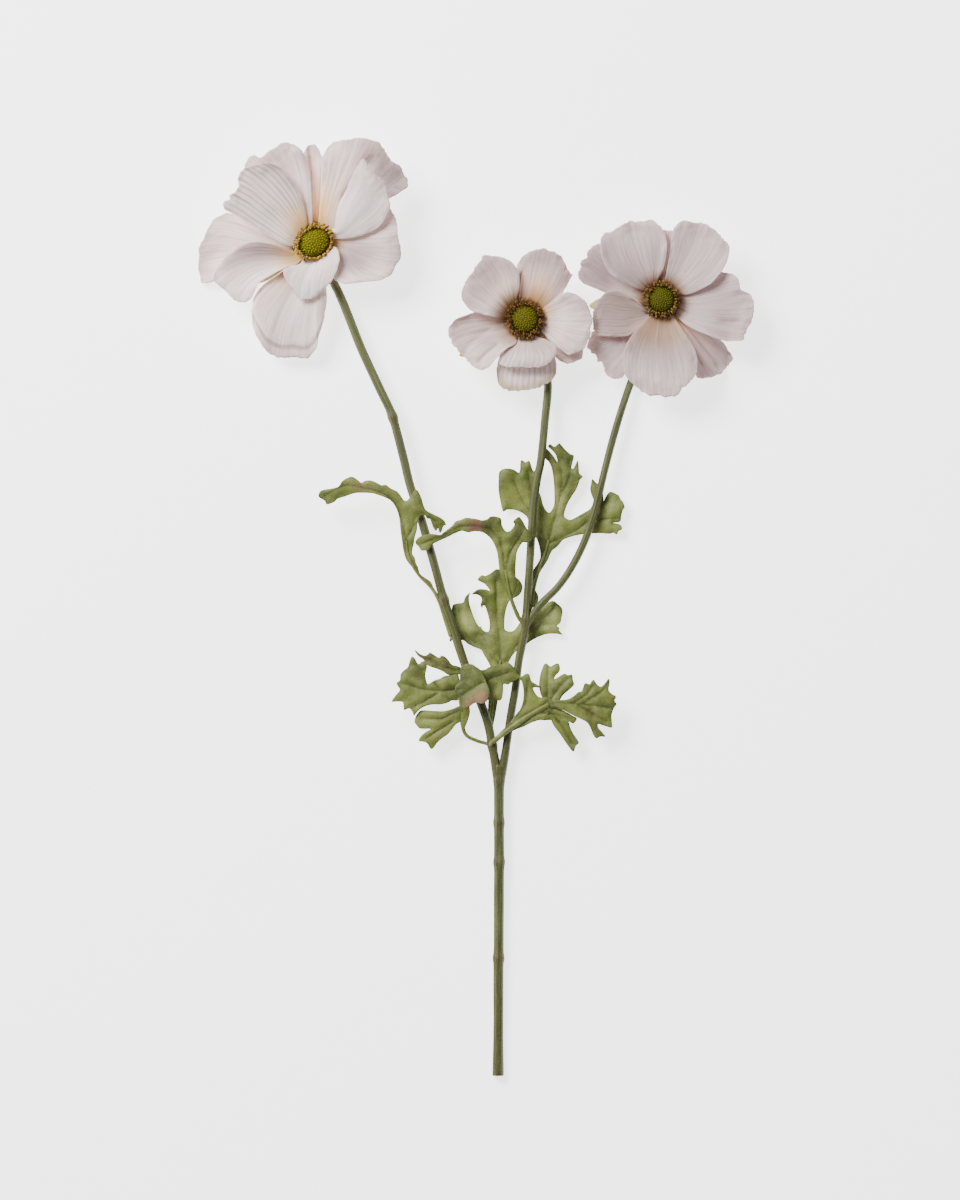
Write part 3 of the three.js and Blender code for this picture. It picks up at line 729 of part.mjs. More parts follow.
// ---------------------------------------------------------------- stem
const smooth = (t) => t * t * (3 - 2 * t);

// radius along a branch: its own radius, a swelling at each collar and at the bloom's seat
function branchRadius(base, collars, startRadius, endRadius) {
  return (t, length) => {
    const distance = t * length;
    const swell = Math.max(0, ...collars.map((c) => 1 - Math.abs(distance - c) / COLLAR_HALF_LENGTH));
    const start = (startRadius - base) * (1 - smooth(Math.min(1, distance / FORK_TAPER_LENGTH)));
    const end = (endRadius - base) * smooth(Math.max(0, 1 - (length - distance) / TOP_TAPER_LENGTH));
    return base + start + end + COLLAR_SWELL * swell;
  };
}

// route of a branch that ends square to its bloom
function branchRoute(route, bloom) {
  const seat = new THREE.Vector3(...bloom.seat);
  const axis = new THREE.Vector3(...bloom.axis).normalize();
  const below = seat.clone().addScaledVector(axis, -TOP_STRAIGHT_LENGTH);
  return [...route, below.toArray(), seat.toArray()];
}

function stemTube(route, base, collars, startRadius, endRadius) {
  const length = new THREE.CatmullRomCurve3(vectors(route)).getLength();
  const radius = branchRadius(base, collars, startRadius, endRadius);
  return taperedTube(route, radius, STEM_SIDES, Math.round(length / STEM_STEP));
}

function branch(route, bloom, base, collars, startRadius) {
  return stemTube(branchRoute(route, bloom), base, collars, startRadius, STEM_TOP_RADIUS);
}

function stem() {
  return restOnSurface(join([
    stemTube(MAIN_ROUTE, MAIN_RADIUS, MAIN_COLLARS, CUT_END_RADIUS, FORK_RADIUS),
    branch(LEFT_ROUTE, LEFT_BLOOM, LEFT_BRANCH_RADIUS, LEFT_COLLARS, MAIN_RADIUS),
    branch(MIDDLE_ROUTE, MIDDLE_BLOOM, MIDDLE_BRANCH_RADIUS, MIDDLE_COLLARS, MAIN_RADIUS),
    branch(RIGHT_ROUTE, RIGHT_BLOOM, RIGHT_BRANCH_RADIUS, [], RIGHT_BRANCH_RADIUS),
  ]));
}

// ---------------------------------------------------------------- pieces of a bloom
// places a geometry made round the z axis on a bloom's stem
function seated(geometry, bloom) {
  const axis = new THREE.Vector3(...bloom.axis).normalize();
  const turn = new THREE.Quaternion().setFromUnitVectors(UP, axis);
  const place = new THREE.Matrix4().makeRotationFromQuaternion(turn);
  place.setPosition(...bloom.seat);
  return geometry.applyMatrix4(place);
}

// one end of the line where a petal grows from the tilted disc, measured like the petal's points
function rootPoint(bloom, way, side) {
  const axis = new THREE.Vector3(...bloom.axis).normalize();
  const hub = new THREE.Vector3(...bloom.seat).addScaledVector(axis, PETAL_LEVEL);
  const dx = way.x * PETAL_ROOT_RADIUS + side * way.y * PETAL_ROOT_HALF_WIDTH;
  const dy = way.y * PETAL_ROOT_RADIUS - side * way.x * PETAL_ROOT_HALF_WIDTH;
  const dz = -(axis.x * dx + axis.y * dy) / axis.z;
  const level = bloom.seat[2] + PETAL_LEVEL;
  return [hub.x + dx - bloom.center[0], hub.y + dy - bloom.center[1], hub.z + dz - level];
}

function petal(bloom, lobe) {
  const outer = lobe.tip[Math.floor(lobe.tip.length / 2)];
  const way = new THREE.Vector2(outer[0], outer[1]).normalize();
  const first = lobe.sideA[0];
  const leftOfWay = way.x * first[1] - way.y * first[0] > 0;
  const sides = leftOfWay ? [-1, 1] : [1, -1];
  const root = sides.map((side) => rootPoint(bloom, way, side));
  const grid = sheetGrid(lobe, root);
  const shift = new THREE.Vector3(...bloom.center, bloom.seat[2] + PETAL_LEVEL);
  grid.flat().forEach((point) => point.add(shift));
  return solid(facingOut(thicken(grid, PETAL_THICKNESS)));
}

// turns a sheet's triangles round when its sides were given the other way about
function facingOut(geometry) {
  const position = geometry.attributes.position;
  const index = geometry.index.array;
  const [a, b, c] = [new THREE.Vector3(), new THREE.Vector3(), new THREE.Vector3()];
  let volume = 0;
  for (let k = 0; k < index.length; k += 3) {
    a.fromBufferAttribute(position, index[k]);
    b.fromBufferAttribute(position, index[k + 1]);
    c.fromBufferAttribute(position, index[k + 2]);
    volume += a.dot(b.cross(c));
  }
  if (volume < 0) {
    for (let k = 0; k < index.length; k += 3) {
      [index[k + 1], index[k + 2]] = [index[k + 2], index[k + 1]];
    }
  }
  return geometry;
}

function petals(bloom) {
  const base = solid(seated(disc(PETAL_DISC_RADIUS, PETAL_DISC_BOTTOM, PETAL_DISC_HEIGHT), bloom));
  return restOnSurface(join([base, ...bloom.petals.map((lobe) => petal(bloom, lobe))]));
}

// dome of carpels, with dimples raised by moving every other corner in and out
function center(bloom) {
  const profile = CENTER_PROFILE.map(([x, z]) => [x * bloom.buttonRadius, z * CENTER_HEIGHT]);
  const geometry = lathe(profile, CENTER_SEGMENTS);
  const position = geometry.attributes.position;
  for (let k = 0; k < position.count; k++) {
    const ring = k % profile.length;
    const segment = Math.floor(k / profile.length) % CENTER_SEGMENTS;
    if (ring > 1 && ring < profile.length - 1) {
      const grow = 1 + CENTER_RELIEF * ((ring + segment) % 2 ? 1 : -1);
      position.setXYZ(k, position.getX(k) * grow, position.getY(k) * grow, position.getZ(k));
    }
  }
  geometry.translate(0, 0, CENTER_BOTTOM);
  return solid(seated(geometry, bloom));
}

// whether an angle in degrees lies in the span where the stamens stay short
function inSpan(span, degrees) {
  if (!span) {
    return false;
  }
  const turned = ((degrees - span[0]) % 360 + 360) % 360;
  return turned < span[1] - span[0];
}

// outline of one stamen from its foot: a thin filament that widens into the anther
const stamenProfile = (length) => [
  [0, 0], [FILAMENT_RADIUS, 0], [FILAMENT_RADIUS, length - ANTHER_HALF_LENGTH], [ANTHER_RADIUS, length],
  [0, length + ANTHER_HALF_LENGTH],
];

// one stamen, leaning out from the disc at an angle round the bloom
function stamen(bloom, discRadius, degrees, outer) {
  const reach = inSpan(bloom.shortStamens, degrees)
    ? discRadius + SHORT_STAMEN_REACH
    : (outer ? bloom.stamenReach : discRadius + INNER_STAMEN_REACH);
  const rise = outer ? OUTER_ANTHER_RISE : INNER_ANTHER_RISE;
  const foot = new THREE.Vector3(discRadius - STAMEN_FOOT_INSET, 0, STAMEN_DISC_BOTTOM + GAP);
  const way = new THREE.Vector3(reach, 0, CENTER_BOTTOM + rise).sub(foot);
  const turn = new THREE.Quaternion().setFromUnitVectors(UP, way.clone().normalize());
  const geometry = lathe(stamenProfile(way.length()), STAMEN_SIDES);
  geometry.applyQuaternion(turn).translate(...foot.toArray());
  geometry.rotateZ(THREE.MathUtils.degToRad(degrees));
  return solid(seated(geometry, bloom));
}

// two whorls of stamens round the button, each a filament with an anther at its end
function stamens(bloom) {
  const discRadius = bloom.buttonRadius + STAMEN_DISC_MARGIN;
  const bodies = [solid(seated(disc(discRadius, STAMEN_DISC_BOTTOM, STAMEN_DISC_HEIGHT), bloom))];
  for (let k = 0; k < bloom.stamens; k++) {
    bodies.push(stamen(bloom, discRadius, (360 * k) / bloom.stamens, k % 2 === 0));
  }
  return join(bodies);
}

// one pointed sepal lying along +x, its tip lower than its root by droop
function sepal(length, droop) {
  const wide = Math.min(SEPAL_HALF_WIDTH, length / 5);
  const level = SEPAL_DISC_BOTTOM + SEPAL_DISC_HEIGHT / 2;
  const at = (share, side, fall) => [length * share, wide * side, level - droop * fall];
  const lobe = {
    sideA: [at(0.35, -0.8, 0.2), at(0.7, -1, 0.6)],
    tip: [at(0.9, -0.6, 0.9), at(1, 0, 1), at(0.9, 0.6, 0.9)],
    sideB: [at(0.35, 0.8, 0.2), at(0.7, 1, 0.6)],
    belly: SEPAL_BELLY,
    columns: SEPAL_COLUMNS,
    rows: SEPAL_ROWS,
  };
  const root = [-1, 1].map((side) => [SEPAL_ROOT_RADIUS, side * SEPAL_ROOT_HALF_WIDTH, level]);
  return facingOut(thicken(sheetGrid(lobe, root), SEPAL_THICKNESS));
}

function sepals(bloom) {
  const bodies = [solid(seated(disc(SEPAL_DISC_RADIUS, SEPAL_DISC_BOTTOM, SEPAL_DISC_HEIGHT), bloom))];
  for (const [degrees, length, droop] of bloom.sepals) {
    const geometry = sepal(length, droop).rotateZ(THREE.MathUtils.degToRad(degrees));
    bodies.push(solid(seated(geometry, bloom)));
  }
  return join(bodies);
}

// ---------------------------------------------------------------- leaves
// thin body inside a rim of points, with the same triangles on its upper and lower face
function blade(outline) {
  const rim = vectors(outline);
  const flat = rim.map((p) => new THREE.Vector2(p.x, p.y));
  if (THREE.ShapeUtils.isClockWise(flat)) {
    rim.reverse();
    flat.reverse();
  }
  const faces = THREE.ShapeUtils.triangulateShape(flat, []);
  const normals = rim.map(() => new THREE.Vector3());
  for (const [a, b, c] of faces) {
    const normal = rim[b].clone().sub(rim[a]).cross(rim[c].clone().sub(rim[a]));
    [a, b, c].forEach((k) => normals[k].add(normal));
  }
  const count = rim.length;
  const face = (side) => rim.map((p, k) => (
    p.clone().addScaledVector(normals[k].clone().normalize(), (side * LEAF_THICKNESS) / 2)));
  const positions = [...face(1), ...face(-1)].flatMap((p) => [p.x, p.y, p.z]);
  const triangles = [];
  for (const [a, b, c] of faces) {
    triangles.push(a, b, c, count + c, count + b, count + a);
  }
  for (let k = 0; k < count; k++) {
    const next = (k + 1) % count;
    triangles.push(count + k, count + next, next, count + k, next, k);
  }
  const geometry = new THREE.BufferGeometry();
  geometry.setAttribute("position", new THREE.Float32BufferAttribute(positions, 3));
  geometry.setIndex(triangles);
  return solid(geometry);
}

function leaf({ stalk, stalkRadii, blades }) {
  const stalkRadius = (t) => stalkRadii[0] + (stalkRadii[1] - stalkRadii[0]) * t;
  return join([
    taperedTube(stalk, stalkRadius, PETIOLE_SIDES, PETIOLE_STEPS),
    ...blades.map((outline) => blade(outline)),
  ]);
}

// ---------------------------------------------------------------- assembly
const pieces = [{ name: "stem", body: stem(), material: stemFinish() }];
for (const plan of LEAVES) {
  pieces.push({ name: plan.name, body: leaf(plan), material: leafFinish() });
}
for (const bloom of BLOOMS) {
  pieces.push({ name: `${bloom.name}_sepals`, body: sepals(bloom), material: sepalFinish() });
  pieces.push({ name: `${bloom.name}_petals`, body: petals(bloom), material: petalFinish() });
  pieces.push({ name: `${bloom.name}_stamens`, body: stamens(bloom), material: stamenFinish() });
  pieces.push({ name: `${bloom.name}_center`, body: center(bloom), material: centerFinish() });
}

const flower = new THREE.Group();
for (const { name, body, material } of pieces) {
  const mesh = new THREE.Mesh(geometryOf(body), material);
  mesh.name = name;
  flower.add(mesh);
}
const bounds = new THREE.Box3().setFromObject(flower, true);
const middle = bounds.getCenter(new THREE.Vector3());
flower.position.set(-middle.x, -middle.y, -bounds.min.z);

const part = new THREE.Group();
part.add(flower);
export default part;
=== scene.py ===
# %% [markdown]
# # A ranunculus stem with three open blooms
# The real flower is one cut stem that forks into three branches. Each branch ends in an open bloom
# of thin white petals round a green button, and divided leaves stand at the forks. It lies on a
# table, with its blooms facing up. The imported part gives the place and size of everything, so it
# is loaded first. Each later step builds one finer piece over one of its plain solids.

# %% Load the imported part
import math
import random

import bmesh
import bpy
import numpy as np
from mathutils import Matrix, Vector, noise


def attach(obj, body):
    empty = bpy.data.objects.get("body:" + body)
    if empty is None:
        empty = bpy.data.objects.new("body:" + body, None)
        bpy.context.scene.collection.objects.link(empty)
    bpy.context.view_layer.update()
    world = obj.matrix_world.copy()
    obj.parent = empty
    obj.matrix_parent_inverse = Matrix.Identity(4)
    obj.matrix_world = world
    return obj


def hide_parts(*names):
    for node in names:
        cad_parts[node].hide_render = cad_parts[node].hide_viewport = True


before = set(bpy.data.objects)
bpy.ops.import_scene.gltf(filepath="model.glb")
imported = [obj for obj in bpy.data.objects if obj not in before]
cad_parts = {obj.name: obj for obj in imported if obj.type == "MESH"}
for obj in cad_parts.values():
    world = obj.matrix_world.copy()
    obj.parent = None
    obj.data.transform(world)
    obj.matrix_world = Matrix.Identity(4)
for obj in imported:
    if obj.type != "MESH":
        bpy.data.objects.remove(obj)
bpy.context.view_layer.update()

print("nodes:", ", ".join(sorted(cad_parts)))

# %% [markdown]
# ## Units and smooth lines
# Every shape below is drawn in millimetres from the stem's cut end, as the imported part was, and
# turned into metres in the part's frame at the end. Petal edges, leaf rims and stems all follow
# smooth lines through a few points. A Catmull-Rom line is used because it passes through each
# point, so the outline stays where it was measured.

# %% Smooth lines through points
MM = 0.001
CUT_END = np.array([11.256, -233.836, 0.0])  # where the stem's cut end lies in the part
SURFACE_CLEARANCE = 0.05                     # how far above the table the lowest point stays


def smooth_line(points, per_span=12):
    p = np.array(points, float)
    p = np.vstack([2 * p[0] - p[1], p, 2 * p[-1] - p[-2]])
    t = np.linspace(0, 1, per_span, endpoint=False)[:, None]
    spans = [
        0.5 * (2 * b + (c - a) * t + (2 * a - 5 * b + 4 * c - d) * t**2
               + (3 * b - a - 3 * c + d) * t**3)
        for a, b, c, d in zip(p, p[1:], p[2:], p[3:])
    ]
    return np.vstack([*spans, p[-2:-1]])


def along(line, shares):
    """Points of a line at these shares of its length."""
    steps = np.linalg.norm(np.diff(line, axis=0), axis=1)
    length = np.concatenate([[0], np.cumsum(steps)])
    wanted = np.asarray(shares) * length[-1]
    return np.column_stack([np.interp(wanted, length, line[:, k]) for k in range(3)])


def smooth_step(low, high, value):
    t = np.clip((np.asarray(value, float) - low) / (high - low), 0, 1)
    return t * t * (3 - 2 * t)


def in_part(points):
    """Millimetres from the cut end to metres in the part, never below the table."""
    placed = (np.asarray(points, float) + CUT_END) * MM
    placed[..., 2] = np.maximum(placed[..., 2], SURFACE_CLEARANCE * MM)
    return placed


test_line = along(smooth_line([(0, 0, 0), (10, 5, 0), (20, 0, 0)]), [0, 0.5, 1])
print("middle of a test line:", test_line[1].round(2))

# %% [markdown]
# ## Table, light and camera
# The stem lies down, so the camera looks straight down on it, with the blooms towards the top of
# the picture. A long lens from three metres keeps the blooms from spreading apart. One wide soft
# lamp stands to the upper left and a white sky fills the shadows, as in a light tent. The table
# glows a little, so that it comes out near white without more light on the petals.

# %% Camera straight above
LENS = 180
SENSOR = 36
PICTURE_HEIGHT = 0.600                     # metres of table that the picture's height covers
PICTURE_MIDDLE = (0.00226, 0.00466, 0.012)  # the point that the picture is centred on

camera = bpy.data.objects.new("camera", bpy.data.cameras.new("camera"))
camera.data.lens = LENS
camera.data.sensor_width = SENSOR
camera.data.clip_end = 20
camera.location = Vector(PICTURE_MIDDLE) + Vector((0, 0, LENS * PICTURE_HEIGHT / SENSOR))
bpy.context.scene.collection.objects.link(camera)
bpy.context.scene.camera = camera
print("camera height in metres:", round(camera.location.z, 3))

# %% Materials from nodes


def new_material(name, **sockets):
    """A material and its shader, with constant values set on the shader's own sockets."""
    material = bpy.data.materials.new(name)
    material.use_nodes = True
    shader = material.node_tree.nodes["Principled BSDF"]
    for socket, value in sockets.items():
        shader.inputs[socket.replace("_", " ")].default_value = value
    return material, shader


def fill(material, node, inputs):
    for key, value in inputs.items():
        if isinstance(value, bpy.types.NodeSocket):
            material.node_tree.links.new(value, node.inputs[key])
        else:
            node.inputs[key].default_value = value


def add_node(material, kind, inputs, **settings):
    node = material.node_tree.nodes.new("ShaderNode" + kind)
    for key, value in settings.items():
        setattr(node, key, value)
    fill(material, node, inputs)
    return node


def uv_of(material):
    return add_node(material, "UVMap", {}, uv_map="UVMap").outputs["UV"]


def tint_of(material):
    return add_node(material, "Attribute", {}, attribute_name="tint").outputs["Color"]


def place_of(material):
    return add_node(material, "TexCoord", {}).outputs["Object"]


def mix_colors(material, factor, first, second, blend="MIX"):
    node = add_node(material, "Mix", {}, data_type="RGBA", blend_type=blend)
    fill(material, node, {0: factor, 6: first, 7: second})
    return node.outputs[2]


def noise_on(material, vector, scale, detail=3, roughness=0.5):
    inputs = {"Vector": vector, "Scale": scale, "Detail": detail, "Roughness": roughness}
    return add_node(material, "TexNoise", inputs).outputs["Fac"]


def stretched(material, vector, scale):
    return add_node(material, "Mapping", {"Vector": vector, "Scale": scale}).outputs["Vector"]


def spread(material, value, low, high, to_low=0.0, to_high=1.0):
    inputs = {"Value": value, "From Min": low, "From Max": high, "To Min": to_low,
              "To Max": to_high}
    return add_node(material, "MapRange", inputs).outputs["Result"]


def bump_on(material, shader, height, distance, strength=1.0):
    inputs = {"Height": height, "Distance": distance, "Strength": strength}
    fill(material, shader, {"Normal": add_node(material, "Bump", inputs).outputs["Normal"]})


def color(red, green, blue):
    """A colour as it shows on a screen, 0 to 255, turned into the linear values Blender uses."""
    def linear(c):
        c /= 255
        return c / 12.92 if c <= 0.04045 else ((c + 0.055) / 1.055) ** 2.4
    return (linear(red), linear(green), linear(blue), 1.0)


print("white petal colour, linear:", [round(c, 3) for c in color(226, 218, 214)])

# %% Table and soft light
WHITE = (1.0, 1.0, 1.0, 1.0)
TABLE_SIZE = 6                  # metres
TABLE_GLOW = 2.3
SKY_STRENGTH = 0.45
LAMP_POWER = 94                 # watts
LAMP_SIZE = 0.9                 # metres across, so that the shadows have soft edges
LAMP_PLACE = (-1.0, 1.1, 1.35)  # upper left of the picture, and above

table_mesh = bpy.data.meshes.new("table")
bm = bmesh.new()
bmesh.ops.create_grid(bm, x_segments=2, y_segments=2, size=TABLE_SIZE / 2)
bm.to_mesh(table_mesh)
bm.free()
table = bpy.data.objects.new("table", table_mesh)
bpy.context.scene.collection.objects.link(table)

table_paint, table_shader = new_material(
    "table_paint", Roughness=0.9, Emission_Color=WHITE, Emission_Strength=TABLE_GLOW)
table_grain = noise_on(table_paint, place_of(table_paint), 40)
table_tone = mix_colors(table_paint, table_grain, color(246, 246, 247), color(250, 250, 250))
fill(table_paint, table_shader, {"Base Color": table_tone})
table_mesh.materials.append(table_paint)

sky = bpy.context.scene.world or bpy.data.worlds.new("sky")
bpy.context.scene.world = sky
sky.use_nodes = True
sky.node_tree.nodes["Background"].inputs["Color"].default_value = WHITE
sky.node_tree.nodes["Background"].inputs["Strength"].default_value = SKY_STRENGTH

lamp = bpy.data.objects.new("soft_lamp", bpy.data.lights.new("soft_lamp", "AREA"))
lamp.data.energy = LAMP_POWER
lamp.data.size = LAMP_SIZE
lamp.location = LAMP_PLACE
lamp.rotation_mode = "QUATERNION"
lamp.rotation_quaternion = (-lamp.location).to_track_quat("-Z", "Y")
bpy.context.scene.collection.objects.link(lamp)
print("lamp distance in metres:", round(lamp.location.length, 2))

# %% [markdown]
# ## Sheets, tubes and pieces
# Petals and sepals start as flat grids whose corners are moved onto a curved sheet, and then get
# their thickness with solidify. Stems, stalks and filaments start as flat grids too, rolled round a
# line and closed. A grid brings even quads and its own UV map, so fine streaks in a material can
# follow the growth of a petal or a stem. Each vertex also carries a tint, the broad colour that
# the material then works its fine detail into.

# %% Helpers for every piece
RIM_THINNESS = 0.3  # a sheet's thickness at its rim, as a share of its thickness inside


def start_piece():
    bm = bmesh.new()
    bm.loops.layers.uv.new("UVMap")
    bm.verts.layers.int.new("row")
    bm.verts.layers.int.new("column")
    return bm, bm.verts.layers.float_color.new("tint")


def finish_piece(name, bm, material, node=None):
    """Puts a bmesh drawn in millimetres in its place in the part, and lets it ride."""
    placed = in_part([vert.co for vert in bm.verts])
    for vert, co in zip(bm.verts, placed):
        vert.co = co
    for layer in ("row", "column"):
        if layer in bm.verts.layers.int:
            bm.verts.layers.int.remove(bm.verts.layers.int[layer])
    mesh = bpy.data.meshes.new(name)
    bm.to_mesh(mesh)
    bm.free()
    mesh.materials.append(material)
    mesh.shade_smooth()
    piece = bpy.data.objects.new(name, mesh)
    bpy.context.scene.collection.objects.link(piece)
    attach(piece, "root")
    if node:
        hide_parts(node)
    triangles = sum(len(face.vertices) - 2 for face in mesh.polygons)
    print(name, "has", triangles, "triangles")


def normals_of(sheet):
    """Unit normals of a grid of points, pointing up on the whole, and its unit outward ways."""
    across, outward = np.gradient(sheet, axis=1), np.gradient(sheet, axis=0)
    normal = np.cross(across, outward)
    normal /= np.linalg.norm(normal, axis=-1, keepdims=True) + 1e-9
    if normal[..., 2].mean() < 0:
        normal = -normal
    return normal, outward / (np.linalg.norm(outward, axis=-1, keepdims=True) + 1e-9)


def faces_of(verts):
    """Every face at these corners, once each and always in the same order."""
    return list(dict.fromkeys(face for vert in verts for face in vert.link_faces))


def add_sheet(bm, tint, positions, tints, thickness):
    """A flat grid moved onto rows and columns of positions, then given its thickness."""
    rows, columns = positions.shape[0] - 1, positions.shape[1] - 1
    positions = positions.copy()
    positions[..., 2] = np.maximum(positions[..., 2], 2 * SURFACE_CLEARANCE + thickness / 2)
    row, column = bm.verts.layers.int["row"], bm.verts.layers.int["column"]
    made = bmesh.ops.create_grid(bm, x_segments=columns, y_segments=rows, size=0.5, calc_uvs=True)
    for vert in made["verts"]:
        vert[row] = round((vert.co.y + 0.5) * rows)
        vert[column] = round((vert.co.x + 0.5) * columns)
        vert.co = positions[vert[row], vert[column]]
        vert[tint] = (*tints[vert[row], vert[column]], 1)
    faces = faces_of(made["verts"])
    grown = bmesh.ops.solidify(bm, geom=faces, thickness=thickness)["geom"]
    back = [part for part in grown if isinstance(part, bmesh.types.BMVert)]
    i = np.minimum(np.arange(rows + 1), rows - np.arange(rows + 1))[:, None]
    j = np.minimum(np.arange(columns + 1), columns - np.arange(columns + 1))[None]
    taper = RIM_THINNESS + (1 - RIM_THINNESS) * smooth_step(0, 4, np.minimum(i, j))
    offsets = normals_of(positions)[0] * taper[..., None] * thickness / 2
    for verts, side in ((made["verts"], 1), (back, -1)):
        for vert in verts:
            place = vert[row], vert[column]
            vert.co = positions[place] + side * offsets[place]
    bmesh.ops.recalc_face_normals(bm, faces=faces_of(made["verts"] + back))


def thicken(bm, thickness):
    """Gives a whole open sheet its thickness, half of it on each side."""
    faces, verts = bm.faces[:], bm.verts[:]
    bmesh.ops.recalc_face_normals(bm, faces=faces)
    for part in faces + verts:
        part.normal_update()
    moved = [vert.co + vert.normal * thickness / 2 for vert in verts]
    for vert, co in zip(verts, moved):
        vert.co = co
    bmesh.ops.solidify(bm, geom=faces, thickness=thickness)


def frames_along(line):
    """Two directions square to a line at each of its points, without twist."""
    ways = np.gradient(line, axis=0)
    ways /= np.linalg.norm(ways, axis=1)[:, None]
    first = np.cross(ways[0], (0.03, 0.02, 1.0))
    sides = [first / np.linalg.norm(first)]
    for way in ways[1:]:
        side = sides[-1] - way * np.dot(sides[-1], way)
        sides.append(side / np.linalg.norm(side))
    sides = np.array(sides)
    return sides, np.cross(ways, sides)


def add_tube(bm, tint, line, radius_at, tint_at, sides):
    """A flat grid rolled round a line, its seam merged and its ends closed."""
    steps = len(line) - 1
    across, up = frames_along(line)
    made = bmesh.ops.create_grid(bm, x_segments=sides, y_segments=steps, size=0.5, calc_uvs=True)
    for vert in made["verts"]:
        i, angle = round((vert.co.y + 0.5) * steps), 2 * math.pi * (vert.co.x + 0.5)
        radius = radius_at(i / steps, angle)
        vert.co = line[i] + radius * (math.cos(angle) * across[i] + math.sin(angle) * up[i])
        vert[tint] = (*tint_at(i / steps, angle), 1)
    verts = made["verts"]
    bmesh.ops.remove_doubles(bm, verts=verts, dist=1e-5)
    verts = [vert for vert in verts if vert.is_valid]
    ends = dict.fromkeys(edge for vert in verts for edge in vert.link_edges if edge.is_boundary)
    bmesh.ops.holes_fill(bm, edges=list(ends), sides=sides + 1)
    bmesh.ops.recalc_face_normals(bm, faces=faces_of(verts))


def spin_outline(bm, outline, sides):
    """Turns a line of (radius, height) points once round the upright axis."""
    verts = [bm.verts.new((radius, 0, height)) for radius, height in outline]
    edges = [bm.edges.new(pair) for pair in zip(verts, verts[1:])]
    bmesh.ops.spin(bm, geom=verts + edges, cent=(0, 0, 0), axis=(0, 0, 1), angle=2 * math.pi,
                   steps=sides, use_merge=True)


def mixed(first, second, share):
    """A colour between two, for one share or an array of shares."""
    share = np.asarray(share, float)[..., None]
    return np.array(first[:3]) * (1 - share) + np.array(second[:3]) * share


def noise_at(points, scale, seed=0.0):
    """Smooth noise from -1 to 1 at each point of an array."""
    flat = np.reshape(points, (-1, 3)) * scale + np.array([seed, 1.7 * seed, -seed])
    return np.array([noise.noise(Vector(p)) for p in flat]).reshape(np.shape(points)[:-1])


print("noise at a point:", round(float(noise_at(np.array([[10.0, 5.0, 1.0]]), 0.1)[0]), 3))

# %% [markdown]
# ## Where the blooms sit
# Each bloom has a seat, where its stem ends, and an axis that it faces along. From the seat up come
# the sepals, the petals, the ring of stamens and the button of carpels, each a little above the
# last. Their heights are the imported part's, so each finer piece lands on its plain solid.

# %% The three blooms
SEPAL_LEVEL = 0.9  # levels are heights above a bloom's seat
PETAL_LEVEL = 2.8
STAMEN_LEVEL = 4.4
BUTTON_LEVEL = 5.3
BUTTON_HEIGHT = 6.2

# "middle" is where the bloom's middle shows, which its petals are measured from. "short_stamens"
# are the angles between which the stamens are short. "stretch" is the way, in degrees, in which
# a button that is seen askew shows wider, and how much. Each sepal has its angle, length and droop.
BLOOMS = {
    "left_bloom": {
        "seat": (-93.4, 418.2, 13), "axis": (0.2, -0.16, 0.966), "middle": (-91.5, 416.75),
        "button_radius": 6.7, "stamen_reach": 8.9, "short_stamens": (-110, 20),
        "stretch": (28, 1.16),
        "sepals": [(217, 34, 9.5), (150, 16, 6), (80, 18, 4), (5, 18, 3), (290, 9, 0)],
    },
    "middle_bloom": {
        "seat": (13.3, 378.2, 13.5), "axis": (0, 0.03, 1), "middle": (13.25, 378.5),
        "button_radius": 6.5, "stamen_reach": 9.2, "short_stamens": None,
        "sepals": [(208, 37, 5), (292, 30, 1.5), (356, 18, 3), (65, 18, 3), (137, 18, 3)],
    },
    "right_bloom": {
        "seat": (81.5, 388.3, 11), "axis": (0, 0.02, 1), "middle": (81.5, 388.5),
        "button_radius": 6.2, "stamen_reach": 8.6, "short_stamens": None,
        "sepals": [(184, 36, 4), (256, 18, 3), (328, 16, 3), (40, 20, 3), (112, 20, 3)],
    },
}


def tilted(bloom, points):
    """Points drawn round an upright axis, turned and moved onto a bloom's seat."""
    turn = Vector((0, 0, 1)).rotation_difference(Vector(bloom["axis"])).to_matrix()
    if "stretch" in bloom:
        degrees, factor = bloom["stretch"]
        way = Vector((math.cos(math.radians(degrees)), math.sin(math.radians(degrees)), 0))
        turn = turn @ Matrix.Scale(factor, 3, way)
    return np.reshape(points, (-1, 3)) @ np.array(turn).T + np.array(bloom["seat"])


def seat_piece(bloom, bm):
    """Moves everything that was drawn round an upright axis onto a bloom's seat."""
    for vert, co in zip(bm.verts, tilted(bloom, [v.co for v in bm.verts])):
        vert.co = co


for name, bloom in BLOOMS.items():
    top = tilted(bloom, [(0, 0, BUTTON_LEVEL + BUTTON_HEIGHT)])[0]
    print(name, "button top at", top.round(1), "mm from the cut end")
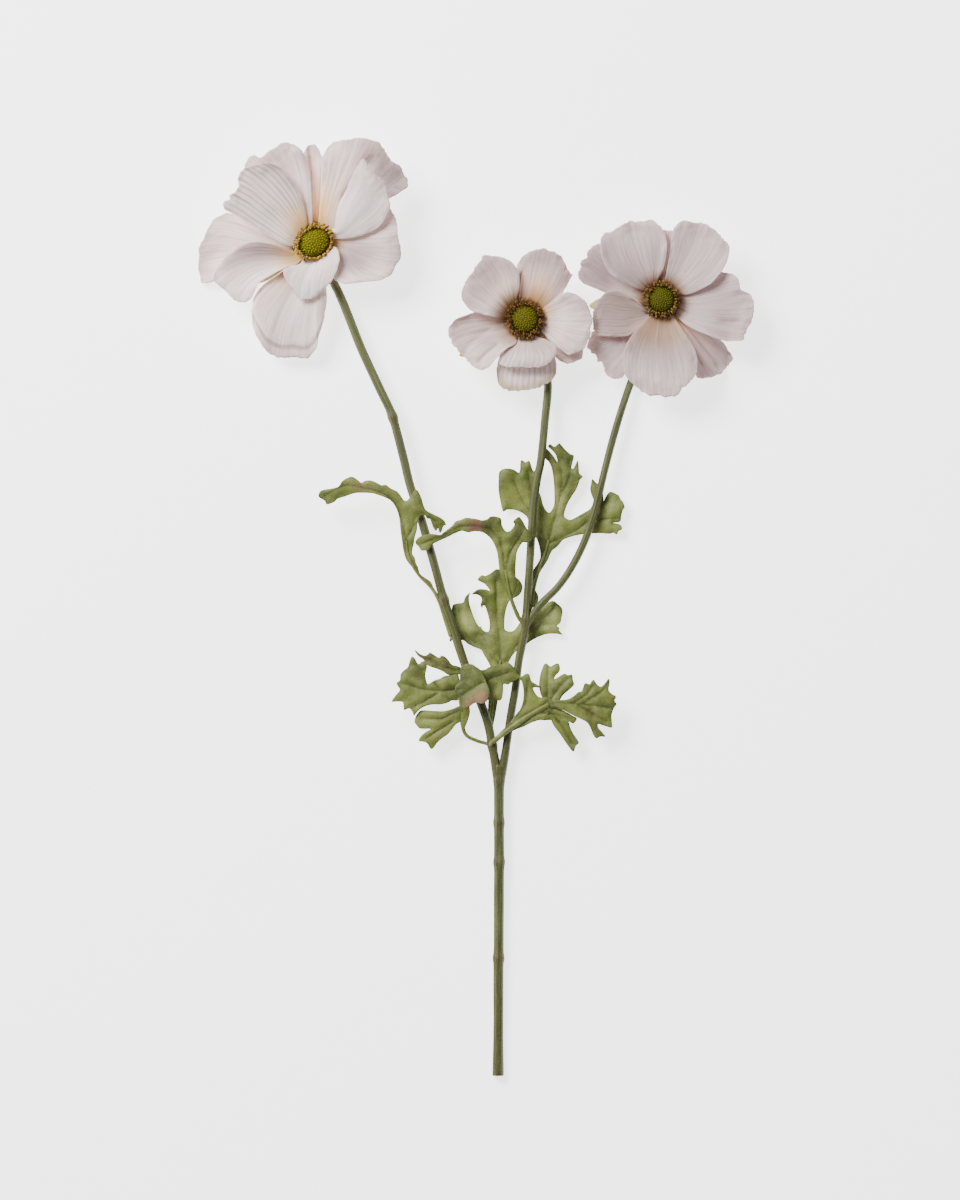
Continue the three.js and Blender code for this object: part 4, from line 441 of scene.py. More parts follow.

# %% [markdown]
# ## One sheet for every petal
# A petal is a thin sheet between its root, its two sides and its tip edge. A blend of those four
# lines gives a smooth sheet with just that outline. What makes a petal its own, such as pleats,
# folds and patches of painted shade and painted light, is a short row of changes to a plain one.

# %% What a petal may change
PLAIN_PETAL = {  # across and along go from 0 to 1, from side a to side b and from root to tip
    "belly": 0,            # mm that the middle sags, or rises where it is below 0
    "pleats": 0,           # waves from side to side, and their height in mm
    "pleat_height": 0,
    "fine_pleats": 0,      # narrower waves that wander a little, and their height in mm
    "fine_pleat_height": 0,
    "cup": 0.5,            # mm that both sides rise, or droop where it is below 0
    "rib_height": 0.11,    # mm
    "folds": [],           # middle, lean and width across, height in mm, start, end, share of brown along it, painted shade in the fold
    "bands": [],           # steps: where along the petal, and their height in mm
    "shade": 0,            # share of painted shade, mostly for petals that lie behind others, on top of the bloom's own
    "painted_shade_and_light": [],         # middle across and along, width across and along, painted shade or, below 0, painted light
    "peach": 0.45,         # share of peach near the stamens
    "peach_reach": 20,     # mm from the bloom's middle
    "peach_at": (0.5, 9),  # its middle and width across, 9 for the whole petal
    "haze": 0.85,          # share of the brown next to the stamens
    "haze_reach": None,    # mm, where it isn't the bloom's own
    "green_rim": 0,        # share of green on the tip
}
print("a petal may change", len(PLAIN_PETAL), "values")

# %% A petal's sheet
PETAL_COLUMNS = 64
PETAL_ROWS = 48
PETAL_THICKNESS = 0.55
PETAL_ROOT_RADIUS = 6.3
PETAL_ROOT_HALF_WIDTH = 3.9


def petal_root(bloom, petal):
    """Both ends of the line where a petal grows from the tilted cup."""
    axis = np.array(bloom["axis"]) / np.linalg.norm(bloom["axis"])
    hub = np.array(bloom["seat"]) + axis * PETAL_LEVEL
    outer = np.array(petal["tip"][len(petal["tip"]) // 2][:2])
    way = outer / np.linalg.norm(outer)
    first, last = petal["side_a"][0], petal["side_b"][0]
    sides = (-1, 1) if last[0] * first[1] - last[1] * first[0] > 0 else (1, -1)
    ends = []
    for side in sides:
        x = way[0] * PETAL_ROOT_RADIUS + side * way[1] * PETAL_ROOT_HALF_WIDTH
        y = way[1] * PETAL_ROOT_RADIUS - side * way[0] * PETAL_ROOT_HALF_WIDTH
        z = -(axis[0] * x + axis[1] * y) / axis[2]
        ends.append(hub + (x, y, z) - petal_zero(bloom))
    return ends


def petal_zero(bloom):
    """The point that a petal's own points are measured from."""
    return np.array([*bloom["middle"], bloom["seat"][2] + PETAL_LEVEL])


def blended_sheet(root, piece, u, v):
    """A sheet blended between its root, its two sides and its tip edge."""
    side_a = along(smooth_line([root[0], *piece["side_a"], piece["tip"][0]]), v)[:, None]
    side_b = along(smooth_line([root[1], *piece["side_b"], piece["tip"][-1]]), v)[:, None]
    tip = along(smooth_line(piece["tip"]), u)[None]
    u, v = u[None, :, None], v[:, None, None]
    foot = root[0] * (1 - u) + root[1] * u
    corners = ((1 - u) * (1 - v) * root[0] + u * (1 - v) * root[1]
               + (1 - u) * v * tip[:, :1] + u * v * tip[:, -1:])
    sheet = (1 - v) * foot + v * tip + (1 - u) * side_a + u * side_b - corners
    pleats = np.cos(2 * np.pi * piece["pleats"] * u) * np.sin(np.pi * u) * v
    sag = np.sin(np.pi * u) * np.sin(np.pi * v)
    sheet[..., 2:] += piece["pleat_height"] * pleats - piece["belly"] * sag
    return sheet


print("petal grid:", PETAL_COLUMNS, "by", PETAL_ROWS)

# %% [markdown]
# A petal's edge is thinner and wetter than its middle when it grows, so it ends up longer than the
# petal can hold and waves up and down. Fine ribs run from the root to the rim over the veins. Both
# are added by moving the sheet along its normals, so they show from every side.

# %% Waves, ribs and folds
SWAY = 1.3          # mm, the slow waves of the whole petal
RUFFLE = 0.85       # mm, the waves of its rim
FINE_RUFFLE = 0.4
SCALLOP = 0.6       # mm that the tip is notched in and out
FINE_SCALLOP = 0.6
RIBS = 24
DEEP_GROOVE = 0.25  # mm below its surroundings at which a groove gets its full painted shade


def shares_on(sheet):
    """How far across and along the petal each column and row of a sheet is, from 0 to 1."""
    rows, columns = sheet.shape[:2]
    return np.linspace(0, 1, columns)[None], np.linspace(0, 1, rows)[:, None]


def fold_line(fold, u, v):
    """How much each point of a petal lies in a fold, from 0 to 1."""
    middle, lean, width, _, start, end, _ = fold
    line = np.exp(-(((u - middle - lean * (v - 0.5)) / width) ** 2))
    return line * smooth_step(start, start + 0.15, v) * (1 - smooth_step(end - 0.15, end, v))


def fine_relief(sheet, petal, seed, u, v):
    """Ribs and folds, in millimetres above the smooth sheet."""
    streaks = np.stack([RIBS * u + 0 * v, 1.1 * v + 0 * u, 0 * u * v], -1)
    ribs = noise_at(streaks, 1.0, seed + 3) + 0.5 * noise_at(streaks, 2.1, seed + 4)
    height = petal["rib_height"] * ribs * smooth_step(0.02, 0.35, v)
    pleats = np.cos(2 * np.pi * petal["fine_pleats"] * u + 1.5 * noise_at(sheet, 0.05, seed))
    height += petal["fine_pleat_height"] * pleats * smooth_step(0.1, 0.5, v)
    for fold in petal["folds"]:
        height += fold[3] * fold_line(fold, u, v)
    for start, rise in petal["bands"]:
        height += rise * smooth_step(start - 0.03, start + 0.03, v)
    return height


def live_sheet(sheet, petal, seed):
    """The sheet with its waves and fine relief, and how deep in a groove each point lies."""
    u, v = shares_on(sheet)
    normal, outward = normals_of(sheet)
    rim = np.maximum(smooth_step(0.72, 1, v) + 0 * u,
                     smooth_step(0.7, 1, np.abs(2 * u - 1)) * smooth_step(0.2, 0.55, v))
    height = RUFFLE * rim * noise_at(sheet, 0.13, seed)
    height += FINE_RUFFLE * rim * noise_at(sheet, 0.4, seed + 5)
    height += SWAY * noise_at(sheet, 0.055, seed + 9) * np.sin(np.pi * v)
    height += petal["cup"] * ((2 * u - 1) ** 2 - 0.4) * smooth_step(0.15, 0.7, v)
    relief = fine_relief(sheet, petal, seed, u, v)
    sunk = np.zeros_like(relief)
    sunk[:, 2:-2] = (relief[:, :-4] + relief[:, 4:]) / 2 - relief[:, 2:-2]
    sunk[2:-2] += (relief[:-4] + relief[4:]) / 2 - relief[2:-2]
    notch = SCALLOP * noise_at(sheet, 0.28, seed + 7) * smooth_step(0.8, 1, v)
    notch += FINE_SCALLOP * noise_at(sheet, 0.8, seed + 8) * smooth_step(0.93, 1, v)
    moved = sheet + normal * (height + relief)[..., None] + outward * notch[..., None]
    return moved, np.clip(sunk / DEEP_GROOVE, -1, 1)


print("ruffle of", RUFFLE, "mm at the rims")

# %% Broad colours of a petal, with painted shade and light
PETAL_WHITES = {  # the left bloom is the whitest and the right one the greyest
    "left_bloom": color(249, 231, 224),
    "middle_bloom": color(240, 219, 209),
    "right_bloom": color(206, 190, 189),
}
PETAL_SHADE = color(206, 187, 185)  # greyer white: the white's uneven tone, painted shade on petals behind others, and the darker edges
PETAL_PAINTED_SHADE = color(158, 142, 142)   # painted shade in patches
PETAL_PAINTED_LIGHT = color(250, 240, 238)    # painted light in patches
PETAL_GROOVE_SHADE = color(150, 130, 122)   # painted shade in the bottoms of grooves
PETAL_GREEN = color(160, 150, 104)
PEACH_FILTER = np.array((1.06, 0.82, 0.45))  # full peach multiplies red, green and blue by these
STREAKS_ACROSS = 22   # streaks by which the edges of all these colours stray
STREAKS_ALONG = 1.2
SHADE_DRIFT = 0.9     # share by which slow noise makes more or less shade
EDGE_FROM = 0.93      # share of the way to the rim where the thin, darker edge starts: the rim's own greyer see-through tone, and painted shade where it curls
EDGE_SHADE_SHARE = 0.8
ROOT_SHARE = 0.9
GROOVE_SHADE_SHARE = 0.6
HAZE_COLORS = {  # the brown that fades outwards from the stamens
    "left_bloom": color(176, 138, 66),
    "middle_bloom": color(112, 82, 38),
    "right_bloom": color(112, 82, 48),
}
HAZE_REACH = {  # mm from the bloom's middle at which the brown starts to fade, and is gone
    "left_bloom": (8.4, 17), "middle_bloom": (10, 20), "right_bloom": (9.3, 16.5),
}
SHADE_BASE = {  # share of soft shade on the whole bloom, less than none where it is below 0
    "left_bloom": -0.1, "middle_bloom": 0.35, "right_bloom": 0.35,
}
ROOT_COLORS = {  # right under the stamens, on every petal
    "left_bloom": color(134, 100, 44),
    "middle_bloom": color(92, 58, 20),
    "right_bloom": color(92, 57, 22),
}


def tinted(tints, tone, share):
    """Colours moved towards a tone, each by its share."""
    return tints + (np.array(tone[:3]) - tints) * np.clip(share, 0, 1)[..., None]


def petal_tints(name, sheet, sunk, petal, seed):
    """White that turns peach and then brown towards the stamens, with a darker edge, painted light
    in some patches, and painted shade in others and in grooves and folds.
    """
    u, v = np.broadcast_arrays(*shares_on(sheet))
    streaks = noise_at(np.stack([u * STREAKS_ACROSS, v * STREAKS_ALONG, 0 * u], -1), 1.0, seed)
    from_middle = np.hypot(sheet[..., 0], sheet[..., 1])
    # the noise is the white's own uneven tone; a petal's own share is painted shade
    shade = SHADE_BASE[name] + SHADE_DRIFT * noise_at(sheet, 0.06, seed + 2) + petal["shade"]
    tints = mixed(PETAL_WHITES[name], PETAL_SHADE, np.clip(shade, 0, 1))
    # a darker edge: the rim's own greyer see-through tone, and painted shade where it curls
    edge = np.maximum(smooth_step(EDGE_FROM, 1, v), smooth_step(EDGE_FROM, 1, np.abs(2 * u - 1)))
    tints = tinted(tints, PETAL_SHADE, EDGE_SHADE_SHARE * edge)
    # painted shade and painted light in patches
    for u_middle, v_middle, u_width, v_width, amount in petal["painted_shade_and_light"]:
        near = np.exp(-(((u - u_middle) / u_width) ** 2) - ((v - v_middle) / v_width) ** 2)
        tints = tinted(tints, PETAL_PAINTED_SHADE if amount > 0 else PETAL_PAINTED_LIGHT, abs(amount) * near)
    reach = petal["peach_reach"] + 4 * streaks
    peach = petal["peach"] * (1 - smooth_step(0.35 * reach, reach, from_middle))
    middle, width = petal["peach_at"]
    peach = peach * np.exp(-(((u - middle) / width) ** 2))
    tints = tints * (1 + peach[..., None] * (PEACH_FILTER - 1))
    low, high = HAZE_REACH[name]
    high = petal["haze_reach"] or high
    haze = 1 - smooth_step(low, high, from_middle + 1.4 * streaks)
    tints = tinted(tints, HAZE_COLORS[name], haze * petal["haze"])
    under = 1 - smooth_step(low - 0.5, low + 2, from_middle + 0.8 * streaks)
    tints = tinted(tints, ROOT_COLORS[name], ROOT_SHARE * under)
    # painted shade in grooves, where ribs, pleats and folds sink below their surroundings
    groove = np.maximum(sunk, 0) * smooth_step(0, 0.2, v)
    tints = tinted(tints, PETAL_GROOVE_SHADE, GROOVE_SHADE_SHARE * groove)
    # painted brown shade along the folds
    for fold in petal["folds"]:
        tints = tinted(tints, HAZE_COLORS["middle_bloom"], fold[6] * fold_line(fold, u, v))
    green = petal["green_rim"] * smooth_step(0.8, 0.97, v + 0.05 * streaks)
    return tinted(tints, PETAL_GREEN, green)


print("haze reaches", HAZE_REACH["middle_bloom"], "mm on the middle bloom")

# %% [markdown]
# ## Petal finish
# A petal is thin, soft and slightly see-through, with hair-fine streaks from root to rim. The
# streaks come from noise stretched along the petal's UV map, and they colour the white a little and
# raise a very low bump. A little subsurface light keeps the shadows soft, as in a real petal.

# %% Petal finish
petal_white, petal_shader = new_material(
    "petal_white", Roughness=0.6, Subsurface_Weight=0.15, Subsurface_Scale=0.0015,
    Subsurface_Radius=(1.0, 0.8, 0.7), Sheen_Weight=0.12, Specular_IOR_Level=0.3)
petal_uv = uv_of(petal_white)
petal_tint = tint_of(petal_white)
petal_place = place_of(petal_white)
fine_streaks = noise_on(petal_white, stretched(petal_white, petal_uv, (70, 2.2, 1)), 1, 4, 0.6)
wide_streaks = noise_on(petal_white, stretched(petal_white, petal_uv, (26, 1.4, 1)), 1, 3)
cells = noise_on(petal_white, petal_place, 2200, 2)
streak_dark = spread(petal_white, fine_streaks, 0.45, 0.7, 0, 0.8)
streak_pink = spread(petal_white, wide_streaks, 0.42, 0.7, 0, 0.45)
petal_color = mix_colors(petal_white, streak_dark, petal_tint, color(222, 204, 202), "MULTIPLY")
petal_color = mix_colors(petal_white, streak_pink, petal_color, color(224, 212, 220), "MULTIPLY")
fill(petal_white, petal_shader, {"Base Color": petal_color})
petal_height = add_node(petal_white, "Math", {0: fine_streaks, 1: cells, 2: 0.0},
                        operation="ADD").outputs[0]
bump_on(petal_white, petal_shader, petal_height, 0.00022, 0.6)
print("petal finish has", len(petal_white.node_tree.nodes), "nodes")

# %% [markdown]
# ## Petals
# A bloom's petals overlap like roof tiles, some in front and some behind, and no two are alike.
# Each is given by the points along its two sides and its tip edge, measured across the bloom and
# above the level where the petals grow. Writing them one by one keeps the outline that each real
# petal has, which one repeated petal could not.

# %% Petals of the left bloom
# In these tables a petal's shade share and its patches are painted shade and painted light, and the
# brown of a fold is painted shade along it.
LEFT_PETALS = [
    {  # wide petal behind the pleated one, upper left
        "side_a": [(-7.5, 8.8, 0), (-17.5, 21.8, 4), (-26.5, 31.8, 8)],
        "tip": [(-34, 35.8, 11), (-34, 39.3, 12), (-30.5, 42.5, 13), (-26.5, 41.8, 13),
            (-22.5, 44.8, 14), (-19.5, 46.8, 14), (-15.5, 48.8, 15), (-10, 48, 15),
            (-6, 45.3, 14)],
        "side_b": [(-1, 7.8, 1.5), (-1, 19.3, 6), (-1.5, 29.3, 9), (-3, 37.8, 12)],
        "belly": 1, "peach": 0.2, "rib_height": 0.2, "cup": -0.6,
        "painted_shade_and_light": [(0.95, 0.5, 0.14, 0.5, 0.2), (0.3, 0.9, 0.3, 0.1, 0.3)],
    },
    {  # pleated petal, upper left, in front
        "side_a": [(-3.5, 8.8, 2.4), (-5.5, 19.3, 7), (-9, 27.8, 10.8), (-15, 35.3, 14.6)],
        "tip": [(-21.5, 38.8, 18), (-26.5, 38.8, 18.5), (-31.5, 36.8, 18.5), (-35, 35.3, 18),
            (-37.5, 31.3, 18), (-37, 27.8, 17.5), (-39.5, 24.3, 17), (-42, 22.8, 16.5),
            (-42, 20.8, 16), (-45, 18.8, 15), (-44.5, 15.8, 14)],
        "side_b": [(-9.5, -1.8, 2), (-16.5, -0.3, 5), (-26.5, 5.3, 8), (-36, 11.3, 11)],
        "belly": 1, "pleats": 7, "pleat_height": 0.36, "fine_pleats": 13,
        "fine_pleat_height": 0.13, "peach": 1.2, "peach_reach": 28, "peach_at": (0.2, 0.45),
        "haze": 0.5,
        "painted_shade_and_light": [(0.15, 0.3, 0.15, 0.25, -0.6), (0.05, 0.7, 0.07, 0.3, 0.5),
            (0.8, 0.7, 0.3, 0.4, -0.8)],
    },
    {  # narrow folded petal, top
        "side_a": [(-2.5, 7.8, -0.5), (-3.6, 21.8, 3), (-4.6, 34.3, 6)],
        "tip": [(-5.5, 44.3, 9), (-3.5, 47.3, 10), (-0.5, 48.3, 10), (2, 46.3, 10),
            (4.4, 41.8, 9)],
        "side_b": [(2, 7.8, -0.5), (3.6, 19.3, 3), (5, 31.8, 6)],
        "belly": 1, "peach": 1.1, "peach_reach": 34, "haze": 0.5,
        "folds": [(0.3, 0, 0.09, -0.9, -0.1, 1.2, 0.3), (0.75, 0, 0.08, -0.7, -0.1, 0.9, 0.3)],
        "painted_shade_and_light": [(0.5, 0.95, 0.5, 0.12, 0.4), (0.5, 0.4, 0.5, 0.3, -0.5)],
    },
    {  # wide petal, upper right, its outer side curled back
        "side_a": [(2, 7.5, 0.3), (2.4, 19.3, 5.5), (4, 31.8, 10)],
        "tip": [(4, 41.8, 12), (7.5, 47.3, 14), (12.5, 50.3, 15), (17.5, 50.5, 15),
            (20.5, 51.5, 15), (26.5, 51, 14), (32, 49.3, 12), (35.5, 45.3, 10), (38.5, 40.8, 8),
            (42.5, 37.8, 6), (44.5, 33.8, 4), (46.5, 31.3, 3), (46, 27.3, 2), (42.5, 27.8, 3),
            (39, 28.3, 4), (36, 26.8, 5)],
        "side_b": [(9.5, 3.8, 0), (17.5, 10.8, 2), (26.5, 19.3, 4), (32.5, 23.8, 5)],
        "belly": -2, "peach": 1.3, "peach_reach": 40, "peach_at": (0.1, 0.25), "haze": 0.5,
        "rib_height": 0.14,
        "folds": [(0.42, 0.12, 0.05, -1, 0.3, 0.95, 0.12)],
        "painted_shade_and_light": [(0.65, 0.92, 0.22, 0.2, 0.95), (0.25, 0.5, 0.12, 0.3, -0.5)],
    },
    {  # upright petal curling to a point, right, in front
        "side_a": [(9.5, 5.8, 2.5), (11.5, 15.3, 6.5), (14.5, 23.8, 11), (18.5, 31.3, 15.5)],
        "tip": [(20.5, 35.8, 18), (24.5, 40.3, 21), (27.5, 35.8, 20), (31.5, 32.3, 18),
            (35.5, 28.3, 15), (37, 22.8, 13), (38, 16.8, 11)],
        "side_b": [(14.5, 1.8, 3.3), (23.5, 3.8, 5.6), (32.5, 7.8, 7.4)],
        "belly": -2.5, "rib_height": 0.05, "peach": 0.2, "haze": 0.15,
        "painted_shade_and_light": [(0.3, 0.5, 0.3, 0.4, -0.6), (0.6, 0.7, 0.3, 0.3, -0.5)],
    },
    {  # broad petal, right and below
        "side_a": [(10, 4, 1), (22, 9, 3.2), (32, 14, 5.2)],
        "tip": [(38, 16.8, 6), (40, 13.3, 6), (41.5, 6.3, 6), (41.5, 2.8, 6), (43, -2.3, 5),
            (43, -6.8, 4), (41, -11.3, 3), (38, -15.8, 3), (33.5, -18.3, 3), (26.5, -19.3, 4),
            (18.5, -20.5, 4), (14.5, -20.8, 4)],
        "side_b": [(8, -6, 1), (8.5, -12, 3.2), (9.5, -18, 3.6)],
        "belly": 1, "peach": 0.9, "peach_reach": 20, "peach_at": (0.15, 0.3),
        "painted_shade_and_light": [(0.3, 0.97, 0.35, 0.12, 0.6), (0.6, 0.4, 0.35, 0.35, 0.9),
            (0.05, 0.4, 0.14, 0.4, -0.7)],
    },
    {  # small lip petal below the button, in front
        "side_a": [(10, -2.2, 4), (12.5, -7.3, 8), (11.5, -13, 8), (10, -17, 7)],
        "tip": [(8.5, -19.5, 6), (5, -23, 5), (0.5, -27, 5), (-4, -28.2, 4.5), (-6.8, -29, 4),
            (-9.5, -24.8, 5), (-13.5, -20, 6)],
        "side_b": [(-7, -10.3, 3.6), (-12, -11.8, 6), (-15.5, -14.8, 7)],
        "belly": 0.2, "cup": 0, "rib_height": 0.05, "haze": 0.12, "peach": 0.05,
        "painted_shade_and_light": [(0.4, 0.4, 0.4, 0.3, -0.6), (0.5, 0.9, 0.4, 0.2, -0.7)],
    },
    {  # hanging petal, bottom, its tip curled
        "side_a": [(-10, -9.3, 0), (-18.5, -15.8, 1), (-26, -21.3, 2), (-30.5, -27.8, 1.5)],
        "tip": [(-32, -34.3, 0), (-31.5, -40.8, -1), (-29, -46.8, -2), (-25.5, -52.8, -4),
            (-22, -55.3, -6), (-17, -57.3, -7), (-10.5, -56.8, -7), (-5.5, -57.8, -7),
            (-2, -55.8, -6), (1, -50.8, -3), (3, -44.8, -2), (5, -37.3, -1)],
        "side_b": [(1.5, -9.3, 0), (5, -17.3, 1), (6, -27.3, 0.5)],
        "belly": -2, "cup": -0.6, "peach": 0.7, "peach_at": (0.1, 0.3), "peach_reach": 40,
        "folds": [(0.01, 0, 0.05, -0.4, -0.1, 0.45, 0.9)],
        "bands": [(0.88, -0.8)],
        "painted_shade_and_light": [(0.5, 0.6, 0.3, 0.25, -0.6), (0.1, 0.15, 0.3, 0.25, 1.1)],
    },
    {  # broad petal, lower left, in front
        "side_a": [(-10.5, -4.3, 1), (-19.5, -1.3, 3), (-29.5, 0.3, 4), (-37.5, -1.8, 4)],
        "tip": [(-43.5, -5.8, 3), (-48, -11.8, 2), (-50.5, -17.3, 1), (-47.5, -21.3, 1),
            (-42.5, -25.8, 1), (-39, -28.8, 1), (-35.5, -29.8, 2), (-32, -28.3, 3)],
        "side_b": [(-8.5, -10.3, 3.5), (-14.5, -12.2, 6), (-21, -15.4, 6.5), (-27.5, -20.9, 5.5)],
        "belly": 1, "haze": 1, "haze_reach": 23, "peach": 0.8, "peach_reach": 32,
        "painted_shade_and_light": [(0.15, 0.42, 0.5, 0.4, 1.1), (0.8, 0.75, 0.15, 0.3, -0.6)],
    },
    {  # back petal, left, drooping to the surface
        "side_a": [(-11.5, -0.3, -0.5), (-23.5, 5.8, 0), (-35, 12.8, 0)],
        "tip": [(-44.5, 15.3, -1), (-50, 12.3, -3), (-54, 7.3, -6), (-55.5, 3.3, -9),
            (-58, -0.3, -12.5), (-58.5, -6.3, -16), (-59, -9.8, -17), (-58, -15.8, -15),
            (-57, -19.3, -12), (-51.5, -18.8, -9)],
        "side_b": [(-12.5, -6.3, -0.5), (-26.5, -10.3, -1), (-39.5, -14.3, -4)],
        "belly": -2.5, "cup": -0.6,
        "painted_shade_and_light": [(0.7, 0.95, 0.35, 0.15, 0.5)],
    },
]
print("left bloom:", len(LEFT_PETALS), "petals")

# %% Petals of the middle bloom
# Shade shares, patches and fold browns are painted shade and painted light here too.
MIDDLE_PETALS = [
    {  # top
        "side_a": [(-4, 9.5, 0.5), (-4.5, 17, 3), (-3.8, 23.5, 5)],
        "tip": [(-3.8, 27, 6), (-0.8, 31, 8), (3.3, 34, 9), (7.8, 34.8, 9.5), (12.8, 34, 9.5),
            (17.8, 31.5, 9), (20.3, 27.5, 8), (21.8, 24.5, 6.5), (23.5, 22, 5)],
        "side_b": [(11.5, 5, 1), (16, 9.5, 3), (18.5, 13.5, 4.5), (21.3, 18, 5)],
        "belly": -1, "peach": 1.3, "peach_reach": 27, "peach_at": (0.6, 0.35), "haze": 0.6,
        "folds": [(0.1, 0.1, 0.045, -0.8, -0.1, 0.8, 0.8)],
        "painted_shade_and_light": [(0.5, 0.9, 0.6, 0.3, 0.75)],
    },
    {  # upper left, in front
        "side_a": [(-3.4, 9.5, 2.6), (-2.6, 16, 6.5), (-2.8, 22.5, 9), (-4.8, 26.5, 10)],
        "tip": [(-7.3, 28.5, 10), (-10.8, 30.5, 10), (-15.3, 31.5, 9.5), (-19.8, 31.5, 9),
            (-21.8, 29, 9), (-24.8, 25, 9), (-28.8, 20, 9), (-31.3, 14, 9), (-31.3, 9.5, 8.5)],
        "side_b": [(-10.3, 0.5, 3.4), (-16.3, 1, 6.5), (-22.3, 2.5, 8), (-27.3, 4.5, 8.3)],
        "belly": 1.5, "peach": 0.3, "haze": 1,
        "painted_shade_and_light": [(0.5, 0.85, 0.6, 0.3, 0.65), (0.9, 0.35, 0.2, 0.3, -0.5)],
    },
    {  # small, behind, lower right
        "side_a": [(12.8, -6.5, 0.5), (23.8, -11, 1)],
        "tip": [(29.8, -15, 1), (28.8, -18.5, 0.5), (25.8, -21, 0), (21.8, -22, 0),
            (17.3, -20.5, 0)],
        "side_b": [(7.8, -10, 0), (12.8, -16, 0)],
        "belly": 0.5, "shade": 0.5,
    },
    {  # right
        "side_a": [(10.5, 6.5, 3), (15.2, 10.5, 6.5)],
        "tip": [(17.8, 12.8, 8), (21.8, 13.3, 9), (26.3, 12, 8.5), (29.8, 9, 7.5), (32.3, 5, 6.5),
            (33.5, 0, 6), (33.3, -5, 6), (31.8, -10, 6), (29.8, -14.5, 5.5), (26.3, -16.5, 5),
            (21.8, -17.5, 4)],
        "side_b": [(10, -7.5, 2), (13.8, -11.5, 3.6), (17.8, -15, 4)],
        "belly": -2, "peach": 1.2, "peach_at": (0.1, 0.4), "haze": 0.35, "fine_pleats": 14,
        "fine_pleat_height": 0.04,
        "painted_shade_and_light": [(0.4, 0.5, 0.4, 0.4, -0.5)],
    },
    {  # long, bottom, behind
        "side_a": [(-4.8, -10, 0.8), (-10.8, -16, 1.5), (-13.3, -21, 1.5)],
        "tip": [(-13.3, -27, 1), (-13.3, -31.5, 0.5), (-10.3, -34.5, 0), (-4.8, -35.8, -0.5),
            (1.8, -35, -0.5), (8.3, -33.5, 0), (13.3, -30.5, 0.5), (15.8, -27, 1)],
        "side_b": [(7.8, -10, 0.8), (13.8, -16, 1.5), (15.8, -21.5, 1.5)],
        "belly": 0.8, "cup": -0.6, "green_rim": 0.7, "fine_pleats": 13, "fine_pleat_height": 0.07,
        "painted_shade_and_light": [(0.5, 0.75, 0.5, 0.3, -0.7)],
    },
    {  # short, bottom, in front
        "side_a": [(-5.3, -10, 2.5), (-10.3, -15, 4.6)],
        "tip": [(-12.8, -18.5, 5.5), (-12.3, -22.5, 6), (-7.3, -24, 6.5), (0.3, -24.3, 7),
            (7.8, -24, 7.5), (12.3, -22, 8), (15.8, -18, 8)],
        "side_b": [(6.8, -9, 3.2), (11.8, -11, 6.5), (15.8, -14, 8)],
        "belly": -1.2, "fine_pleats": 14, "fine_pleat_height": 0.06, "haze": 0.3, "peach": 0.2,
        "painted_shade_and_light": [(0.85, 0.5, 0.3, 0.5, 0.6), (0.35, 0.8, 0.3, 0.2, -0.5)],
    },
    {  # lower left, in front
        "side_a": [(-9.5, 3.5, 0.8), (-18, 4, 2.6), (-24.8, 3.8, 4)],
        "tip": [(-29.3, 1.5, 5), (-34.8, -0.5, 5), (-37.3, -3, 4), (-37.8, -6.5, 3.5),
            (-36.8, -10, 3.5), (-35.8, -12.5, 3.5), (-32.3, -17, 5), (-29.3, -20, 5.5),
            (-25.8, -23.5, 6.5), (-21.8, -25.5, 7), (-17.8, -24, 7.5)],
        "side_b": [(-3.8, -11.5, 4.3), (-9.3, -15.5, 7.5), (-13.3, -19, 8)],
        "belly": 1.5, "haze": 0.7, "peach": 0.4,
        "folds": [(0.45, 0.3, 0.06, -0.7, 0.35, 1.1, 0), (0.75, 0.1, 0.05, -0.6, 0.4, 1, 0.2)],
        "painted_shade_and_light": [(0.6, 0.55, 0.3, 0.3, 0.65), (0.3, 0.5, 0.2, 0.3, 0.3),
            (0.4, 0.97, 0.5, 0.1, 0.4)],
    },
]
print("middle bloom:", len(MIDDLE_PETALS), "petals")
